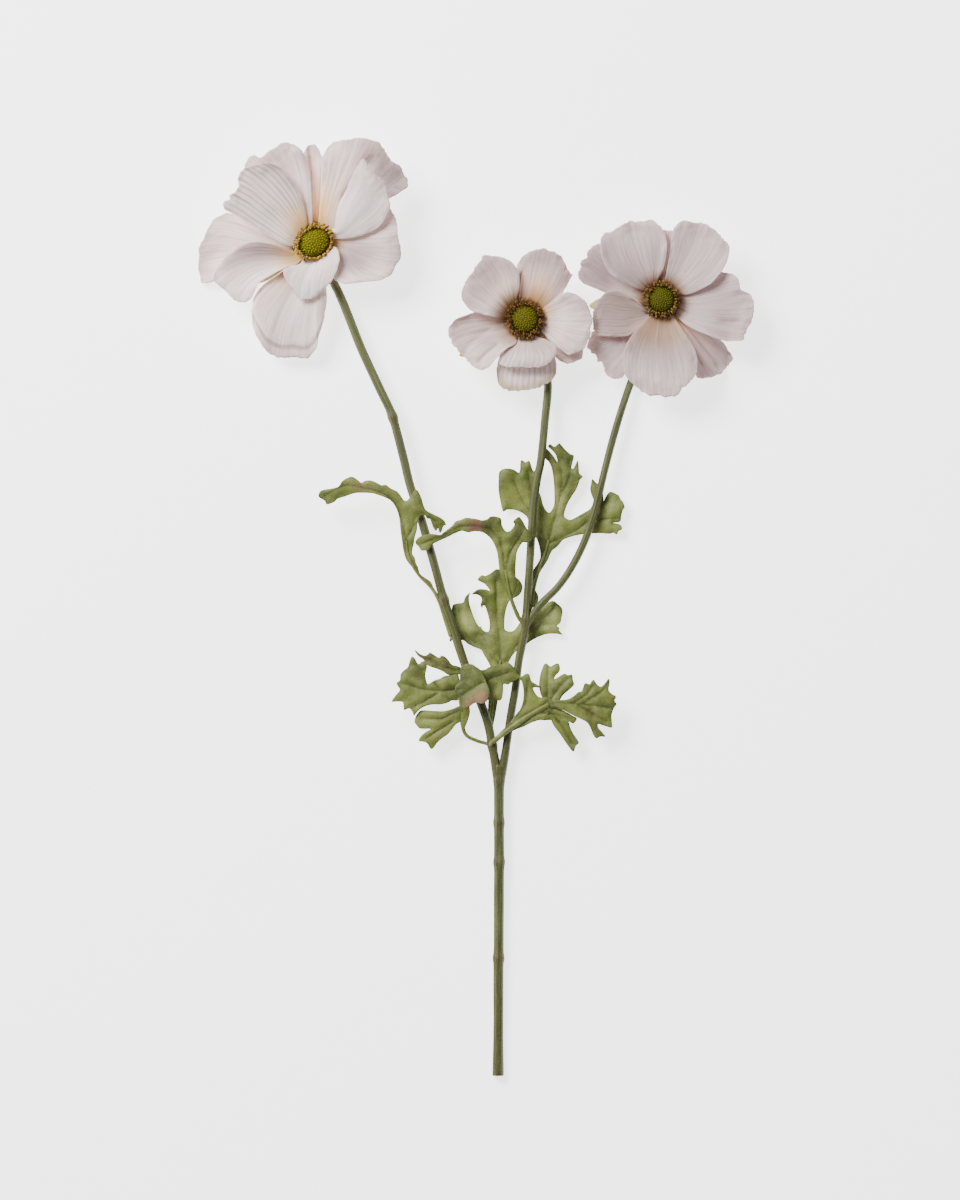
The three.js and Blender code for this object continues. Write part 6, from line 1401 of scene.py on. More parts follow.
def add_bmesh(bm, other):
    """Puts a finished bmesh into another, by way of a mesh that is then thrown away."""
    carrier = bpy.data.meshes.new("carrier")
    other.to_mesh(carrier)
    other.free()
    bm.from_mesh(carrier)
    bpy.data.meshes.remove(carrier)


def line_distance(points, line):
    """How far each point is from the nearest stretch of a line, seen from above."""
    best = np.full(len(points), 1e9)
    for a, b in zip(np.array(line)[:-1, :2], np.array(line)[1:, :2]):
        way = b - a
        share = np.clip((points[:, :2] - a) @ way / (way @ way + 1e-12), 0, 1)
        near = a + share[:, None] * way
        best = np.minimum(best, np.linalg.norm(points[:, :2] - near, axis=1))
    return best


def height_from_rim(points, rim):
    """Height inside a leaf, as a smooth average of the rim's heights, the nearest first."""
    gaps = np.linalg.norm(points[:, None, :2] - rim[None, :, :2], axis=2)
    weights = 1 / (gaps + 0.05) ** 3
    return (weights * rim[None, :, 2]).sum(1) / weights.sum(1)


print("leaf faces have edges of about", LEAF_EDGE_LENGTH, "mm")

# %% Grow a leaf
STALK_RINGS = 40
STALK_SIDES = 14
LEAF_THICKNESS = 0.55
VEIN_DEPTH = 0.45
VEIN_HALF_WIDTH = 0.42
VEIN_SHADE_HALF_WIDTH = 0.55
BULGE = 0.55         # mm that the parts between the veins swell
BULGE_REACH = 3.0
CRINKLE = 0.45       # mm up and down, over the whole leaf
RIM_CURL = 0.5       # mm up and down, at its rim
RIM_CURL_REACH = 1.6
RIM_COLOR_REACH = 0.9
LEAF_GREEN = color(118, 126, 58)
LEAF_DEEP = color(66, 74, 26)
# the veins' own deeper green, and painted shade in their pressed-in grooves
VEIN_GREEN_AND_SHADE = color(62, 68, 20)
RIM_COLOR = color(72, 76, 34)


def grow_leaf(name, stalk, stalk_radii, blades, veins, spots_and_painted_light=()):
    """A leaf from its stalk, rims and veins. A spot is its x, y, reach, share and colour; pink and
    brown are the leaf's own, dark and light spots are painted shade and painted light.
    """
    bm, tint = start_piece()
    line = along(smooth_line(stalk), np.linspace(0, 1, STALK_RINGS))
    foot, end = stalk_radii
    add_tube(bm, tint, line, lambda t, a: foot + (end - foot) * t,
             lambda t, a: mixed(LEAF_GREEN, STEM_GREEN, 0.5), STALK_SIDES)
    for number, blade in enumerate(blades):
        rim = closed_rim(blade)
        sheet, sheet_tint = fill_rim(rim)
        points = np.array([v.co for v in sheet.verts])
        points[:, 2] = height_from_rim(points, rim)
        to_vein = np.min([line_distance(points, vein) for vein in veins], axis=0)
        to_rim = line_distance(points, np.vstack([rim, rim[:1]]))
        inside = smooth_step(0, 2.5, to_rim)
        groove = np.exp(-((to_vein / VEIN_HALF_WIDTH) ** 2))
        points[:, 2] += inside * (BULGE * smooth_step(0, BULGE_REACH, to_vein)
                                  - VEIN_DEPTH * groove)
        points[:, 2] += CRINKLE * noise_at(points, 0.22, 4.0 * number) * (0.4 + 0.6 * inside)
        curl = 1 - smooth_step(0, RIM_CURL_REACH, to_rim)
        points[:, 2] += RIM_CURL * curl * noise_at(points, 0.12, 9)
        tone = mixed(LEAF_GREEN, LEAF_DEEP, 0.5 + 0.8 * noise_at(points, 0.07, 2.0 + number))
        # darker along the veins: their own deeper green, and painted shade in their grooves
        tone = tinted(tone, VEIN_GREEN_AND_SHADE, 0.75 * np.exp(-((to_vein / VEIN_SHADE_HALF_WIDTH) ** 2)))
        tone = tinted(tone, RIM_COLOR, 0.65 * (1 - smooth_step(0, RIM_COLOR_REACH, to_rim)))
        for x, y, reach, share, spot_color in spots_and_painted_light:
            gap = np.hypot(points[:, 0] - x, points[:, 1] - y)
            near = share * (1 - smooth_step(0.4 * reach, reach, gap + noise_at(points, 0.5, 3)))
            tone = tinted(tone, spot_color, near)
        for vert, co, tone_here in zip(sheet.verts, points, tone):
            vert.co = co
            vert[sheet_tint] = (*tone_here, 1)
        thicken(sheet, LEAF_THICKNESS)
        add_bmesh(bm, sheet)
    finish_piece(name + "_veined", bm, leaf_green, name)


print("veins are", VEIN_DEPTH, "mm deep")

# %% Leaf colours that stand out, and painted shade and light
LEAF_PINK = color(146, 100, 84)
# painted shade on lobes and folds that lie in shadow
LEAF_PAINTED_SHADE = color(54, 60, 24)
LEAF_BROWN = color(78, 64, 40)
# painted light on lobes that other leaves and the stems leave in shadow
LEAF_PAINTED_LIGHT = color(168, 176, 106)
# Only the pink and brown spots are the leaves' own colour.
print("pink, dark and brown spots mark older leaves")

# %% Leaf that arches to the left
grow_leaf(
    "leaf_left_arching",
    stalk=[(-23.6, 220.2, 8.9), (-26.4, 228.7, 9.2), (-29.2, 237.3, 9.4), (-31.8, 242.5, 9.6),
           (-34.5, 246, 10.3), (-39.25, 250.75, 11.4), (-43, 256.5, 12.4), (-45.25, 262.5, 13.4),
           (-45.75, 268.5, 14)],
    stalk_radii=(1.1, 0.7),
    blades=[
        [(-32, 241.75, 9.5), (-34.25, 244.5, 10.2), (-37.5, 248, 10.8), (-40, 251, 11.4),
         (-43.5, 255.5, 12.3), (-46, 259, 13), (-47.25, 263, 13.6), (-48, 268, 14.2),
         (-48.75, 273.5, 14.6), (-49.25, 278.5, 15), (-50, 282, 15.4), (-51.5, 285.5, 16),
         (-53.5, 288, 16.6), (-56, 289.5, 17.2), (-59.5, 290.75, 17.6), (-63, 291.75, 18),
         (-68, 292, 18), (-71.5, 291.75, 17.6), (-75.5, 290.5, 16.6), (-80, 289, 15.4),
         (-81.75, 287.5, 14.4), (-85.5, 286.25, 13.4), (-86.5, 288, 13.6), (-89.5, 290, 14),
         (-89.5, 291.5, 14.6), (-88.5, 293, 15.4), (-86, 293.75, 16), (-82.5, 294.25, 16.8),
         (-79.5, 295.25, 18), (-78, 297.5, 19.2), (-76, 299, 20.2), (-73, 300, 20.8),
         (-70.5, 298.75, 20.8), (-68.25, 297, 20.6), (-66, 298, 21), (-63, 298, 21),
         (-60, 296.75, 20.6), (-58, 295.75, 20.2), (-56, 296, 20), (-53.5, 294.25, 19.2),
         (-50.5, 292.75, 18.4), (-48.5, 290.5, 17.4), (-46.75, 288, 16.4), (-45, 288.5, 16.2),
         (-43, 291.5, 16.4), (-41.5, 293.5, 16.8), (-40, 293, 16.8), (-38.25, 289.5, 16.4),
         (-37.25, 286, 15.8), (-35.75, 283.25, 15.2), (-32, 281.25, 14.6), (-28.5, 279.5, 14.2),
         (-26.75, 278, 13.4), (-26, 276, 12.6), (-27.25, 275.5, 12.8), (-28.25, 272.75, 12),
         (-29.25, 272.25, 11.8), (-30, 274.5, 12.4), (-31, 273, 12.2), (-32.5, 275, 12.8),
         (-33.25, 277, 13.4), (-34, 279, 13.8), (-35.5, 279.25, 14.2), (-36.75, 281, 14.6),
         (-39, 280, 14.8), (-40.25, 277, 14.8), (-40.5, 273.5, 14.6), (-41.5, 270, 14.2),
         (-42, 267, 13.8), (-42.75, 263.5, 13.4), (-42.75, 261.5, 13), (-41.5, 259.5, 12.8),
         (-41, 257, 12.4), (-40, 255, 12), (-39, 251.5, 11.4), (-37, 250, 11), (-34, 248, 10.4),
         (-32.75, 246, 10), (-31.9, 243.25, 9.6)],
    ],
    veins=[
        [(-32, 243), (-39, 250.5), (-45, 262), (-45.75, 268.5), (-47.5, 276), (-50, 285),
         (-55, 290.5), (-62, 293.5), (-70, 295.5), (-77, 296), (-86, 291)],
        [(-45.75, 268.5), (-41, 277), (-36, 281), (-31, 278)],
    ],
    spots_and_painted_light=[
        (-68, 295, 6, 0.35, LEAF_PINK),
    ],
)

# %% Leaf that arches over the middle stem
grow_leaf(
    "leaf_middle_arching",
    stalk=[(13, 226.8, 9.2), (10.5, 229.5, 9.8), (8.25, 234.5, 11), (6.5, 239.5, 12.3),
           (5, 246, 13.6), (3.75, 253.5, 14.8)],
    stalk_radii=(1.1, 0.7),
    blades=[
        [(10.25, 228.5, 9.8), (9, 231, 10.4), (7.5, 235, 11.2), (6, 239, 12), (3.5, 243.5, 13),
         (1.5, 248.5, 14), (0.75, 252.5, 14.8), (0.25, 257.5, 15.6), (-0.5, 262.5, 16.4),
         (-2, 266.5, 17), (-4, 269.5, 17.6), (-6, 271.25, 18.2), (-8.5, 272.5, 18.8),
         (-11.5, 272.75, 19.2), (-15, 272.25, 19), (-18, 273, 18.8), (-21, 272, 18.4),
         (-24, 270.5, 17.8), (-26.5, 269.25, 17.2), (-30, 267.75, 16.4), (-32.5, 266.5, 15.8),
         (-33.5, 265, 15.2), (-35, 263.5, 14.6), (-38.25, 263.25, 14.2), (-39.5, 265, 14.6),
         (-41, 266.5, 14.8), (-41.25, 267.75, 15.2), (-40, 269.5, 15.8), (-37, 271, 16.4),
         (-33, 271.5, 17), (-29, 271, 17.6), (-27.5, 272, 18), (-25.5, 273.5, 18.8),
         (-23, 275.5, 19.8), (-21, 277.75, 20.8), (-18.5, 278.5, 21.6), (-16, 279.5, 22.2),
         (-13, 279.25, 22.6), (-10, 278.75, 22.6), (-8, 278.25, 22.4), (-5.5, 278.75, 22),
         (-4, 280, 21.8), (-2, 280.25, 21.4), (1, 279.5, 20.8), (1.75, 278, 20.4),
         (1.75, 276.5, 20), (2.5, 274.5, 19.4), (4, 272.75, 19), (5.5, 272.75, 19), (7, 274, 19),
         (8.25, 276.25, 19.2), (7.5, 277.5, 19.6), (9, 279.25, 19.4), (10.5, 280, 19.2),
         (11.75, 278.75, 18.6), (13, 276.75, 17.8), (14.5, 274, 16.8), (16.5, 272, 15.8),
         (19.25, 270, 14.6), (17.5, 269.25, 15), (16, 267.5, 15), (14, 267.25, 15.4),
         (12.25, 267.25, 15.8), (11, 265.5, 16), (9.5, 262.5, 16), (9, 258.5, 15.8),
         (8.75, 252.5, 15), (9, 249.5, 14.4), (9.5, 247, 13.8), (8.75, 243.5, 13.2),
         (7.25, 240, 12.2), (7.75, 237.5, 11.6), (9, 234.5, 10.8), (10.5, 232, 10.2),
         (11, 230, 9.8)],
    ],
    veins=[
        [(10.5, 230), (6.5, 239.5), (3.75, 253.5), (2.5, 262), (1, 269), (-4, 274.5), (-12, 276),
         (-20, 275), (-30, 270), (-38, 266.5)],
        [(3.75, 253.5), (6, 262), (9, 267), (12, 272), (13, 275)],
    ],
    spots_and_painted_light=[
        (-11.5, 275.5, 5, 0.6, LEAF_PINK),
    ],
)

# %% Large leaf at the upper right
grow_leaf(
    "leaf_upper_right",
    stalk=[(14.8, 232.5, 8.4), (17, 236.5, 6.6), (18, 244.5, 5.8), (20.5, 253.5, 4.8),
           (23.5, 261.5, 4.2), (25.5, 268.5, 3.8)],
    stalk_radii=(1.1, 0.7),
    blades=[
        [(16.5, 235.5, 6.3), (16.75, 242.5, 5.8), (17.25, 248.5, 5.2), (17.5, 253, 4.8),
         (20, 257, 4.4), (21.25, 260, 4.2), (20.75, 265, 4), (19.25, 269.5, 3.8),
         (16.5, 274.5, 3.4), (15, 279, 3.2), (14, 280.75, 3), (11.5, 282.5, 2.8), (8, 283.75, 2.9),
         (4.5, 283.75, 3.4), (2.75, 282.75, 4.5), (1.75, 285, 4.4), (1, 289, 4.6),
         (0.25, 293.5, 5), (0.25, 299.5, 5.3), (0.75, 302.75, 5.6), (3, 304.25, 6),
         (6.5, 304.25, 5.8), (8.5, 303.5, 5.2), (10.75, 302.5, 4.6), (11.25, 307.5, 5),
         (12, 308.75, 5.4), (13.75, 307.5, 5), (15.75, 308.25, 5.2), (17.75, 303, 4.2),
         (19.5, 305, 4.6), (21.75, 307.5, 5.2), (21.5, 301.5, 4.8), (20.5, 298, 4.4),
         (20.25, 294, 4), (21.5, 290.5, 3.7), (22.5, 286.5, 3.5), (24, 283.5, 3.5),
         (25.75, 282.25, 3.5), (27.25, 284, 3.6), (28.25, 287, 3.8), (28.25, 293.5, 4.4),
         (27.75, 300, 5.2), (26.75, 305, 6), (25.25, 308, 6.2), (23.75, 309.5, 6),
         (23.5, 314.5, 6.4), (24.75, 314, 6.6), (27.5, 311, 6.4), (29.75, 307.75, 5.6),
         (29, 311, 6.6), (27, 313.5, 7.6), (25, 315.25, 8.2), (26.25, 316.5, 8.4),
         (28.25, 315.25, 7.8), (30.5, 317, 8.2), (31.5, 316.25, 8), (33.5, 314, 7.6),
         (36, 311.75, 7.4), (38, 310.75, 7.6), (37.25, 307, 6.6), (36.75, 304.75, 6),
         (37.75, 304.25, 6), (38.75, 306, 6.4), (40, 308.5, 7.2), (40.5, 304.5, 6.6),
         (40.75, 302, 6.4), (42.5, 300.25, 6.8), (41, 298.75, 6), (40.5, 297, 5.6), (39, 293.5, 5),
         (37, 290.5, 4.4), (35, 287, 4), (33.5, 283, 3.7), (33.25, 280.5, 3.6),
         (34.5, 279.25, 3.5), (36.5, 278.75, 3.4), (40, 280.5, 3.3), (43.5, 282.5, 3.2),
         (46, 284, 3.2), (47.5, 286.5, 3.3), (48, 288.5, 3.5), (47, 291, 3.9), (46.25, 294, 4.4),
         (46.75, 297, 5), (47.25, 299.25, 5.4), (49.5, 297, 4.8), (51.25, 296.5, 4.6),
         (52.5, 292.5, 4.2), (53, 288.25, 4), (53.5, 289.25, 4.2), (55.25, 292, 4.8),
         (56.75, 292.75, 5), (59, 291.75, 5.2), (60.5, 291, 5.4), (61.5, 289, 5.6),
         (62.75, 287.5, 5.8), (63.5, 285, 6), (62.5, 283.5, 5.9), (61.75, 280.5, 5.6),
         (61.25, 277.75, 5.4), (57.5, 277.25, 4.6), (61.25, 276.25, 5.2), (62.25, 274, 5.4),
         (60.5, 273, 5.2), (59.5, 271.25, 5.2), (58, 272.25, 4.8), (56, 271.75, 4.6), (51, 272, 4),
         (46, 271.75, 3.5), (41, 271.25, 3.3), (36, 270, 3.4), (32.5, 268.5, 3.6),
         (30, 265.5, 3.8), (27, 263, 4), (25, 258.5, 4.2), (21.5, 253, 4.7), (19.5, 248.5, 5.2),
         (18.5, 244.5, 5.7), (20.25, 240.25, 5.9), (19.25, 235.5, 6.3)],
    ],
    veins=[
        [(17, 237), (18.5, 243.5), (23.5, 260.5), (25, 266), (27.5, 276), (31, 288.5),
         (32.5, 298.5), (31, 308.5)],
        [(25, 266), (21, 273.5), (18.5, 281), (13.5, 286), (8, 298)],
        [(18.5, 281), (17, 292), (15, 303)],
        [(26, 267), (33.5, 270), (41, 274.5), (46, 278.5), (61, 279.5)],
        [(46, 278.5), (52, 286), (56, 290)],
        [(30, 284), (26, 296), (26, 304)],
        [(31.5, 290), (36, 300), (37, 308)],
    ],
)

# %% Leaf behind the fork
grow_leaf(
    "leaf_behind_fork",
    stalk=[(-2.6, 166.3, 5.2), (-3, 169, 2.8), (-3.5, 178.5, 3), (-2.5, 188.5, 3.3),
           (-0.5, 197.5, 3.7), (1.5, 208.5, 3.9)],
    stalk_radii=(1.2, 0.7),
    blades=[
        [(-3.75, 168, 2.8), (-4.75, 174.5, 2.9), (-5, 181.5, 3.1), (-4.75, 188.5, 3.3),
         (-3.5, 196.5, 3.6), (-3, 202.5, 3.8), (-4, 205.5, 3.9), (-5.5, 208.5, 3.9),
         (-7, 211, 3.8), (-8.5, 213.5, 3.7), (-12, 215, 3.5), (-15, 216.5, 3.3),
         (-17.25, 218.25, 3.1), (-20, 218.5, 3), (-22.25, 218.75, 3), (-24.25, 217.5, 3.2),
         (-23.75, 221.5, 3.3), (-23, 225.5, 3.7), (-23.25, 231.5, 4), (-22.75, 235.75, 4.2),
         (-20.5, 236.75, 4.3), (-17.5, 237.25, 4.4), (-16.5, 239.75, 4.7), (-15, 241.5, 5),
         (-13.75, 242.25, 5.2), (-14.5, 240, 4.9), (-14.25, 236.5, 4.6), (-13, 232.5, 4.2),
         (-11.5, 228.5, 3.9), (-9.75, 225.5, 3.8), (-8.75, 225, 3.8), (-7.75, 226, 4),
         (-8.25, 224.5, 3.8), (-7, 223, 3.7), (-5, 222.5, 3.7), (-4.25, 224, 3.8),
         (-4.25, 227.5, 4), (-5, 231, 4.3), (-6, 234.5, 4.8), (-7.25, 236, 5), (-8, 234.5, 5),
         (-8.75, 236, 5.4), (-8.25, 238, 5.8), (-8.25, 239.5, 6.4), (-9.5, 240.75, 7),
         (-11.5, 241.5, 7.8), (-13, 241.25, 8.4), (-11, 243.25, 8.6), (-9, 244, 8.4),
         (-6, 243.75, 7.8), (-4, 243.25, 7.2), (-5.5, 245.25, 7.6), (-7, 246.75, 7.9),
         (-8.5, 247.5, 8.1), (-10.25, 248.75, 8.4), (-9, 250.25, 8.4), (-8, 251, 8.4),
         (-6.25, 250.5, 8), (-4, 251.75, 7.8), (-2, 253.25, 7.7), (-0.5, 254, 7.6),
         (2, 253.5, 7.2), (5, 253, 7), (7.5, 252, 6.6), (9, 250, 6.4), (11, 248.25, 6.2),
         (12.25, 245.5, 6), (11.75, 242.5, 5.9), (10, 240.5, 5.8), (7, 239, 5.8), (5.75, 238, 5.7),
         (4.75, 236, 5.4), (3.75, 232.5, 5), (3.25, 228.5, 4.5), (3.25, 224.5, 4),
         (4, 223.25, 3.9), (5.5, 222.75, 3.9), (7.5, 223, 3.8), (9.5, 225, 3.6), (11, 227.25, 3.4),
         (13.5, 230.5, 3.2), (17.5, 233.5, 3), (22, 235.5, 3), (25.5, 237.5, 3.2), (28, 238, 3.4),
         (30, 236.5, 3.6), (32.25, 234, 3.9), (32, 230, 3.9), (31.25, 227, 3.8),
         (29.5, 225.5, 3.5), (31, 224.5, 3.8), (30.5, 223.5, 3.8), (32.5, 221, 4.2),
         (30, 221.5, 3.9), (25, 221.5, 3.3), (21, 220.25, 3), (17, 218.25, 3), (13.75, 216, 3.1),
         (10.5, 214, 3.3), (7.5, 211, 3.6), (5, 206.5, 3.9), (3, 201.5, 3.9), (1, 195.5, 3.6),
         (0, 188.5, 3.3), (-1, 182.5, 3.1), (-1.75, 178.5, 3), (-2.75, 173.5, 2.9), (-3, 168, 2.8)],
    ],
    veins=[
        [(-3, 170), (-3.5, 178.5), (-1.5, 192), (1.5, 206), (1, 218.5), (0, 228.5), (-1, 238.5),
         (-1, 248)],
        [(1, 206), (-6.5, 213.5), (-14, 218.5), (-18, 226), (-19, 233)],
        [(4, 207.5), (11, 217.5), (21, 226.5), (30, 225.5)],
        [(11, 217.5), (19, 228), (26, 234)],
    ],
    spots_and_painted_light=[
        # painted shade on the raised lobe, and painted light on three lobes left in shadow by the
        # arching leaf and the stems
        (-9, 240, 6, 0.4, LEAF_PAINTED_SHADE),
        (12, 244.5, 8, 0.9, LEAF_PAINTED_LIGHT),
        (23.5, 230, 10, 0.8, LEAF_PAINTED_LIGHT),
        (-16.5, 228, 8, 0.6, LEAF_PAINTED_LIGHT),
    ],
)

# %% Folded leaf at the lower left
grow_leaf(
    "leaf_lower_left",
    stalk=[(-3.6, 165.6, 6.3), (-6.35, 166.75, 6.3), (-10.5, 168, 7), (-15.5, 170.5, 8),
           (-17.5, 174.5, 9), (-17.75, 180, 10.4), (-19, 190, 12.6)],
    stalk_radii=(0.9, 1),
    blades=[
        [(-20.5, 202.5, 14.5), (-24, 201, 14.2), (-27, 200.5, 14), (-29, 199.25, 14),
         (-32, 198.25, 14), (-35, 196.5, 13.6), (-36, 199, 14.2), (-36.25, 201.5, 14.6),
         (-35.5, 205, 15), (-36, 207, 15.4), (-37.5, 208, 15.6), (-39.75, 206.5, 15.2),
         (-41.5, 209.25, 15.6), (-43, 210.25, 15.6), (-44.25, 207.5, 15), (-45, 205, 14.6),
         (-47.5, 203, 14.2), (-48.75, 201, 13.8), (-49, 198.5, 13.6), (-50.75, 197, 13.4),
         (-49.75, 195, 13.2), (-49, 193.5, 13.2), (-51, 191, 12.6), (-53.25, 187.75, 11.6),
         (-51, 187.75, 12), (-47.75, 187.5, 12.4), (-47.25, 185.5, 12.2), (-47, 183.5, 11.8),
         (-44.5, 184.25, 12), (-43, 183, 12), (-42, 180.75, 11.4), (-40.5, 182.5, 11.8),
         (-38.5, 184.25, 12), (-36, 185.5, 12.2), (-32.5, 186.25, 12.2), (-29, 186.25, 12.2),
         (-25.5, 187, 12.2), (-23, 188.25, 12.4), (-20, 188.5, 12.6), (-18.5, 192.5, 13.2),
         (-19, 197.5, 14)],
        [(-18.5, 204.5, 15), (-20.5, 205.5, 15.4), (-23, 206.25, 15.8), (-25, 208.75, 17),
         (-26.5, 210.25, 17.6), (-28.25, 210.75, 17.8), (-29.5, 209.75, 17.6), (-32, 211.25, 17.8),
         (-34, 212.25, 18), (-35.5, 211, 17.6), (-37.25, 210.75, 17.2), (-39.5, 211.75, 17),
         (-41.5, 213.5, 16.6), (-40, 211, 16), (-38, 209.5, 15.8), (-37, 208.5, 15.8),
         (-36, 206.5, 15.6), (-34, 205.25, 15.4), (-31, 204.25, 15.2), (-28, 203, 15),
         (-26, 201.75, 14.8), (-24.5, 201, 14.6), (-21.5, 201.5, 14.4), (-19, 201.5, 14.4)],
        [(-18.5, 185.5, 12), (-23, 184, 11.4), (-27, 183, 11), (-31, 183, 10.8),
         (-35, 183.25, 10.4), (-38.5, 183.25, 10), (-40, 182, 9.8), (-41.25, 180, 9.6),
         (-41.75, 177.5, 9.4), (-40.5, 175.5, 9.4), (-39.25, 174.25, 9.4), (-37, 174, 9.4),
         (-33.5, 174, 9.2), (-36, 172.5, 8.8), (-38.5, 170.5, 8.6), (-39.75, 168, 8.2),
         (-37.5, 167.5, 8.2), (-35.5, 166.75, 8), (-33.75, 164, 7.6), (-32.25, 164.5, 7.6),
         (-30.5, 167, 8), (-28, 169.25, 8.4), (-25.5, 171, 8.8), (-23, 173.75, 9.4),
         (-21, 176.25, 10), (-18.5, 178, 10.6), (-17.5, 181.5, 11.4)],
        [(-19.5, 191, 13), (-19, 196.5, 14), (-18.5, 201.5, 15.6), (-17.5, 205, 17.2),
         (-15.5, 206.5, 18), (-13, 206.25, 18.4), (-11, 205, 18.2), (-9, 203.75, 18),
         (-6.5, 203.75, 17.4), (-5, 204.75, 17), (-3.5, 205.25, 16.8), (-1.5, 205.5, 16.4),
         (1, 206, 16), (3, 206.75, 15.8), (4.5, 207.5, 15.4), (6, 206.75, 15.4), (8, 204.75, 15.2),
         (9, 202.5, 15), (11, 200, 14.6), (9.5, 198.75, 14.6), (7, 197.5, 14.6), (5, 196.25, 14.6),
         (2.75, 196.5, 14.6), (2.5, 192.5, 14.2), (1.5, 188.5, 13.8), (-1, 188.5, 13.8),
         (-5, 188.5, 13.8), (-10, 188.5, 13.6), (-15, 188.5, 13.4)],
        [(-19.5, 190, 17), (-21, 191.5, 16.8), (-21.5, 193.5, 16.8), (-21, 195.75, 16.8),
         (-19.25, 198, 17), (-19, 202.5, 17.2), (-18.5, 205, 17.4), (-17, 206.25, 17.8),
         (-15.5, 206.75, 18.2), (-13, 206.5, 18.6), (-11, 205.25, 18.4), (-9, 203.75, 18.2),
         (-7, 200.5, 19), (-5.5, 197, 19.6), (-4.25, 193.5, 19.8), (-4.25, 191, 19.6),
         (-5.5, 188.25, 19.2), (-8, 186.75, 18.8), (-10, 187.25, 18.8), (-12, 187, 18.4),
         (-14, 185.5, 18), (-16.5, 184.25, 17.4), (-18, 184.5, 17.2), (-18.5, 188, 17.2)],
        [(-19, 186.5, 12.2), (-19.25, 181.5, 11.4), (-19, 177.5, 10.4), (-18.25, 174, 9.6),
         (-17.5, 172, 9.2), (-16.75, 174, 9.4), (-15.5, 177, 10), (-14.5, 180, 10.6),
         (-14, 183, 11.2), (-15, 186.5, 12)],
    ],
    veins=[
        [(-19, 194), (-28, 193), (-38, 194), (-48, 197)],
        [(-28, 193), (-35, 201), (-42, 207)],
        [(-30, 192), (-38, 187), (-44, 184)],
        [(-19, 203), (-27, 205), (-36, 209)],
        [(-18, 184), (-28, 179), (-38, 179)],
        [(-22, 178), (-30, 173), (-36, 169.5)],
        [(-19, 190), (-10, 196), (-2, 200), (5, 202)],
    ],
    spots_and_painted_light=[
        (-8, 190, 5, 0.8, LEAF_PINK),
        (-13, 186.5, 5, 0.6, LEAF_PINK),
        # painted shade on the fold's shadowed underside
        (-14, 201, 9, 0.5, LEAF_PAINTED_SHADE),
        (-30, 208, 10, 0.5, LEAF_BROWN),
    ],
)

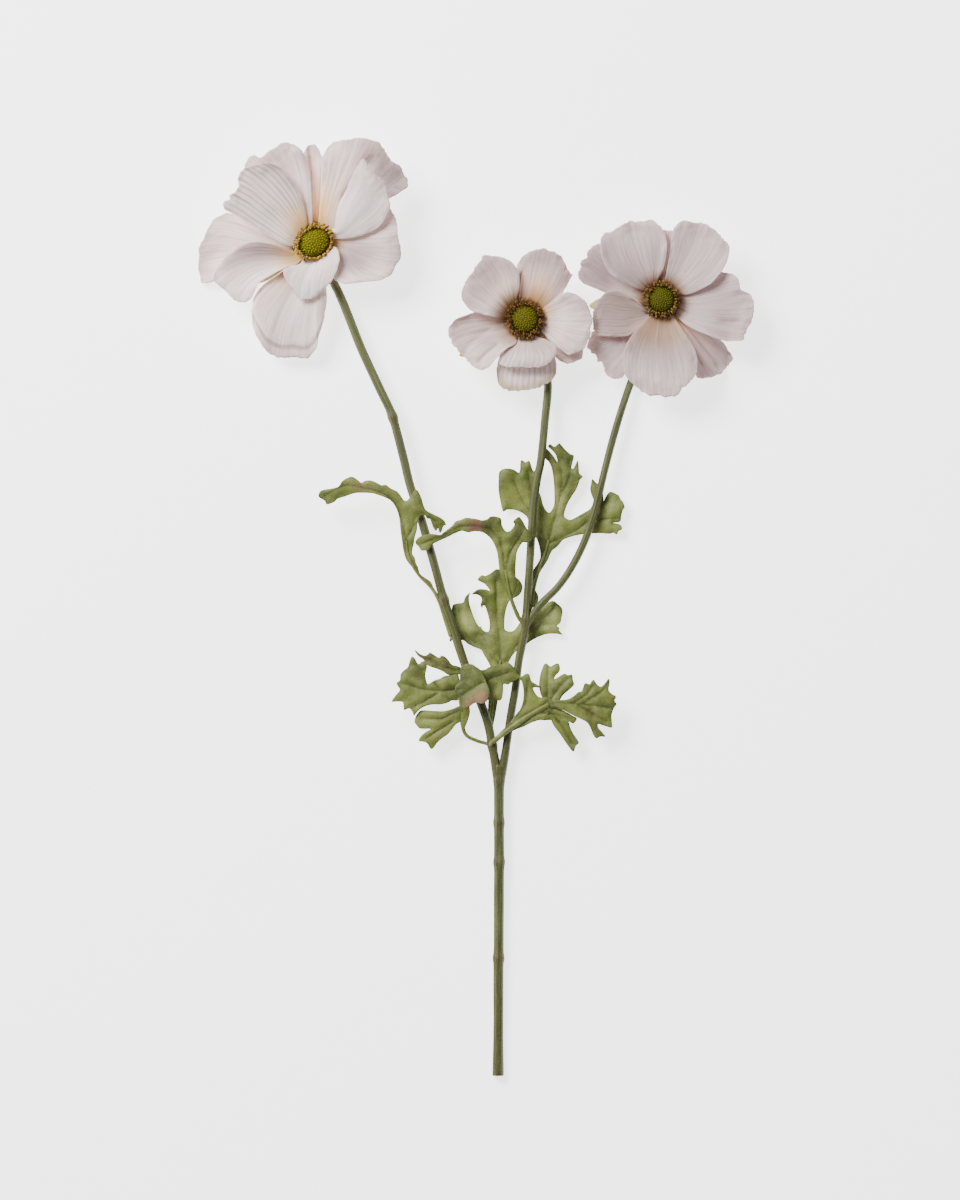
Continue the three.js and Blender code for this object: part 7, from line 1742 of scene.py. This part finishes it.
# %% Leaf at the lower right
grow_leaf(
    "leaf_lower_right",
    stalk=[(-3.6, 166, 7.6), (-2.6, 167.5, 10.1), (2.5, 171.5, 11.1), (8.5, 176, 11.6),
           (16, 181, 12.2), (25.5, 186.5, 13)],
    stalk_radii=(1.2, 1.5),
    blades=[
        [(-3, 168, 10.2), (-0.5, 170.75, 10.5), (2.5, 173.75, 11), (6, 177.25, 11.3),
         (8.75, 181, 11.8), (11, 183.75, 12.4), (12.25, 187, 13), (12.75, 191, 13.8),
         (12.5, 195, 14.6), (11.75, 198, 15.4), (10.5, 199.75, 16.2), (12, 200.5, 16.8),
         (14, 201.75, 17.4), (15.5, 201.5, 17.6), (16.25, 199.5, 17), (16.75, 198, 16.4),
         (19, 196.5, 15.8), (20.75, 195.5, 15.4), (20.5, 194.75, 15.2), (18.75, 195, 15.2),
         (17.5, 194.5, 15), (18.25, 192.5, 14.6), (19.75, 190.5, 14.2), (21.5, 189.75, 14),
         (24.5, 190, 13.8), (27, 188, 13.6), (27, 184.5, 13), (25.5, 181.5, 12.4),
         (24, 178.5, 11.8), (21, 178.5, 11.9), (17, 177.25, 11.6), (13, 175.25, 11.2),
         (9, 173.75, 11), (5, 171.5, 10.8), (1, 168.75, 10.3), (-2, 166.25, 10.1)],
        [(24.5, 185.5, 13.2), (22.5, 189, 13.6), (21, 192.5, 13.8), (20.5, 196.5, 13.8),
         (21, 200.5, 13.6), (22, 204, 13.4), (23, 206.25, 13.2), (24.25, 206.75, 13.2),
         (26.25, 205.25, 13.2), (28, 206.25, 13.2), (30.25, 206.75, 13.2), (31, 204.5, 13.2),
         (30.5, 202.5, 13.3), (29, 201, 13.5), (28, 199, 13.6), (30, 200, 13.8), (32, 201.25, 14),
         (33.5, 201.75, 14.2), (34.75, 201, 14.4), (37, 201.25, 14.6), (37.5, 198.5, 14.6),
         (38, 196.25, 14.4), (36.5, 194.5, 14.2), (34.5, 192.75, 14), (32.75, 191.25, 13.8),
         (31.5, 189.5, 13.6), (30, 186.5, 13.4), (27.5, 184.5, 13.2)],
        [(27.5, 188, 14), (31, 188.5, 14.6), (35, 189, 15.2), (38, 190.75, 15.8),
         (40, 192.5, 16.2), (41.75, 193, 16.4), (42.5, 195, 16.6), (43.5, 197, 16.6),
         (45.75, 196.5, 16.6), (46.5, 197.75, 16.4), (47.75, 198.75, 16.2), (49, 197, 16),
         (51, 195.25, 15.6), (53, 196.5, 15.6), (54.75, 198.75, 15.4), (55.5, 199.25, 15.2),
         (55.75, 197, 15), (55.25, 193.5, 14.8), (57, 191.5, 14.2), (59, 190.25, 13.6),
         (58.25, 188.25, 13.6), (59.25, 186.5, 13), (58, 184.5, 13), (56.75, 181, 12.6),
         (57, 177.5, 12), (57, 174.75, 11.4), (55, 175, 11.8), (52.5, 175.75, 12.2),
         (50, 176.5, 12.6), (50.25, 174.5, 12.2), (52, 172.5, 11.4), (53.75, 170.25, 10.4),
         (51.25, 170.25, 10.6), (49.25, 169.25, 10.2), (47.75, 171, 10.8), (46.5, 174, 11.8),
         (45, 176.75, 12.6), (43, 178.25, 13.2), (39.75, 179.75, 13.8), (36.5, 181.5, 14),
         (32.5, 183.5, 14), (28, 185, 13.8)],
        [(21, 184.5, 12.6), (25, 186, 12.8), (29, 184.5, 12.4), (32, 183.5, 12.2), (35, 182, 11.8),
         (37.5, 180.5, 11.4), (39.5, 179.25, 11), (37.75, 176.75, 10.6), (35.5, 177.75, 11),
         (35.25, 176.25, 10.8), (32, 177.5, 11.2), (29, 178.25, 11.6), (26, 178.5, 11.8),
         (23, 179, 12)],
        [(25, 182.5, 12.2), (26.5, 178.75, 11.6), (28, 175.5, 11), (31, 171.5, 10.2),
         (34, 167, 9.2), (36, 164.25, 8.6), (37.75, 162.5, 8.2), (38.5, 164, 8.4),
         (39.25, 165.75, 8.6), (40.5, 167, 8.6), (39.5, 169, 9), (37.75, 171.5, 9.6),
         (36.25, 174.5, 10.4), (35.25, 177.5, 11), (32, 181, 11.6), (28.5, 183.5, 12.2)],
    ],
    veins=[
        [(-2.6, 167.5), (8.5, 176), (25.5, 186.5), (31, 187.5), (51, 185.5), (58, 184)],
        [(8, 178), (14, 188), (15, 198)],
        [(25, 187), (25, 196), (25, 205)],
        [(26, 188), (31, 195), (35, 199)],
        [(38, 187), (45, 192), (48, 197)],
        [(42, 186.5), (52, 193), (55, 198)],
        [(40, 186), (50, 180), (56, 177)],
        [(22, 182), (30, 181), (37, 179)],
        [(27, 182), (33, 174), (37.5, 166)],
    ],
    spots_and_painted_light=[
        (46, 182.5, 3, 0.7, LEAF_BROWN),
        # painted shade on the under-lobe
        (26, 186, 6, 0.5, LEAF_PAINTED_SHADE),
    ],
)
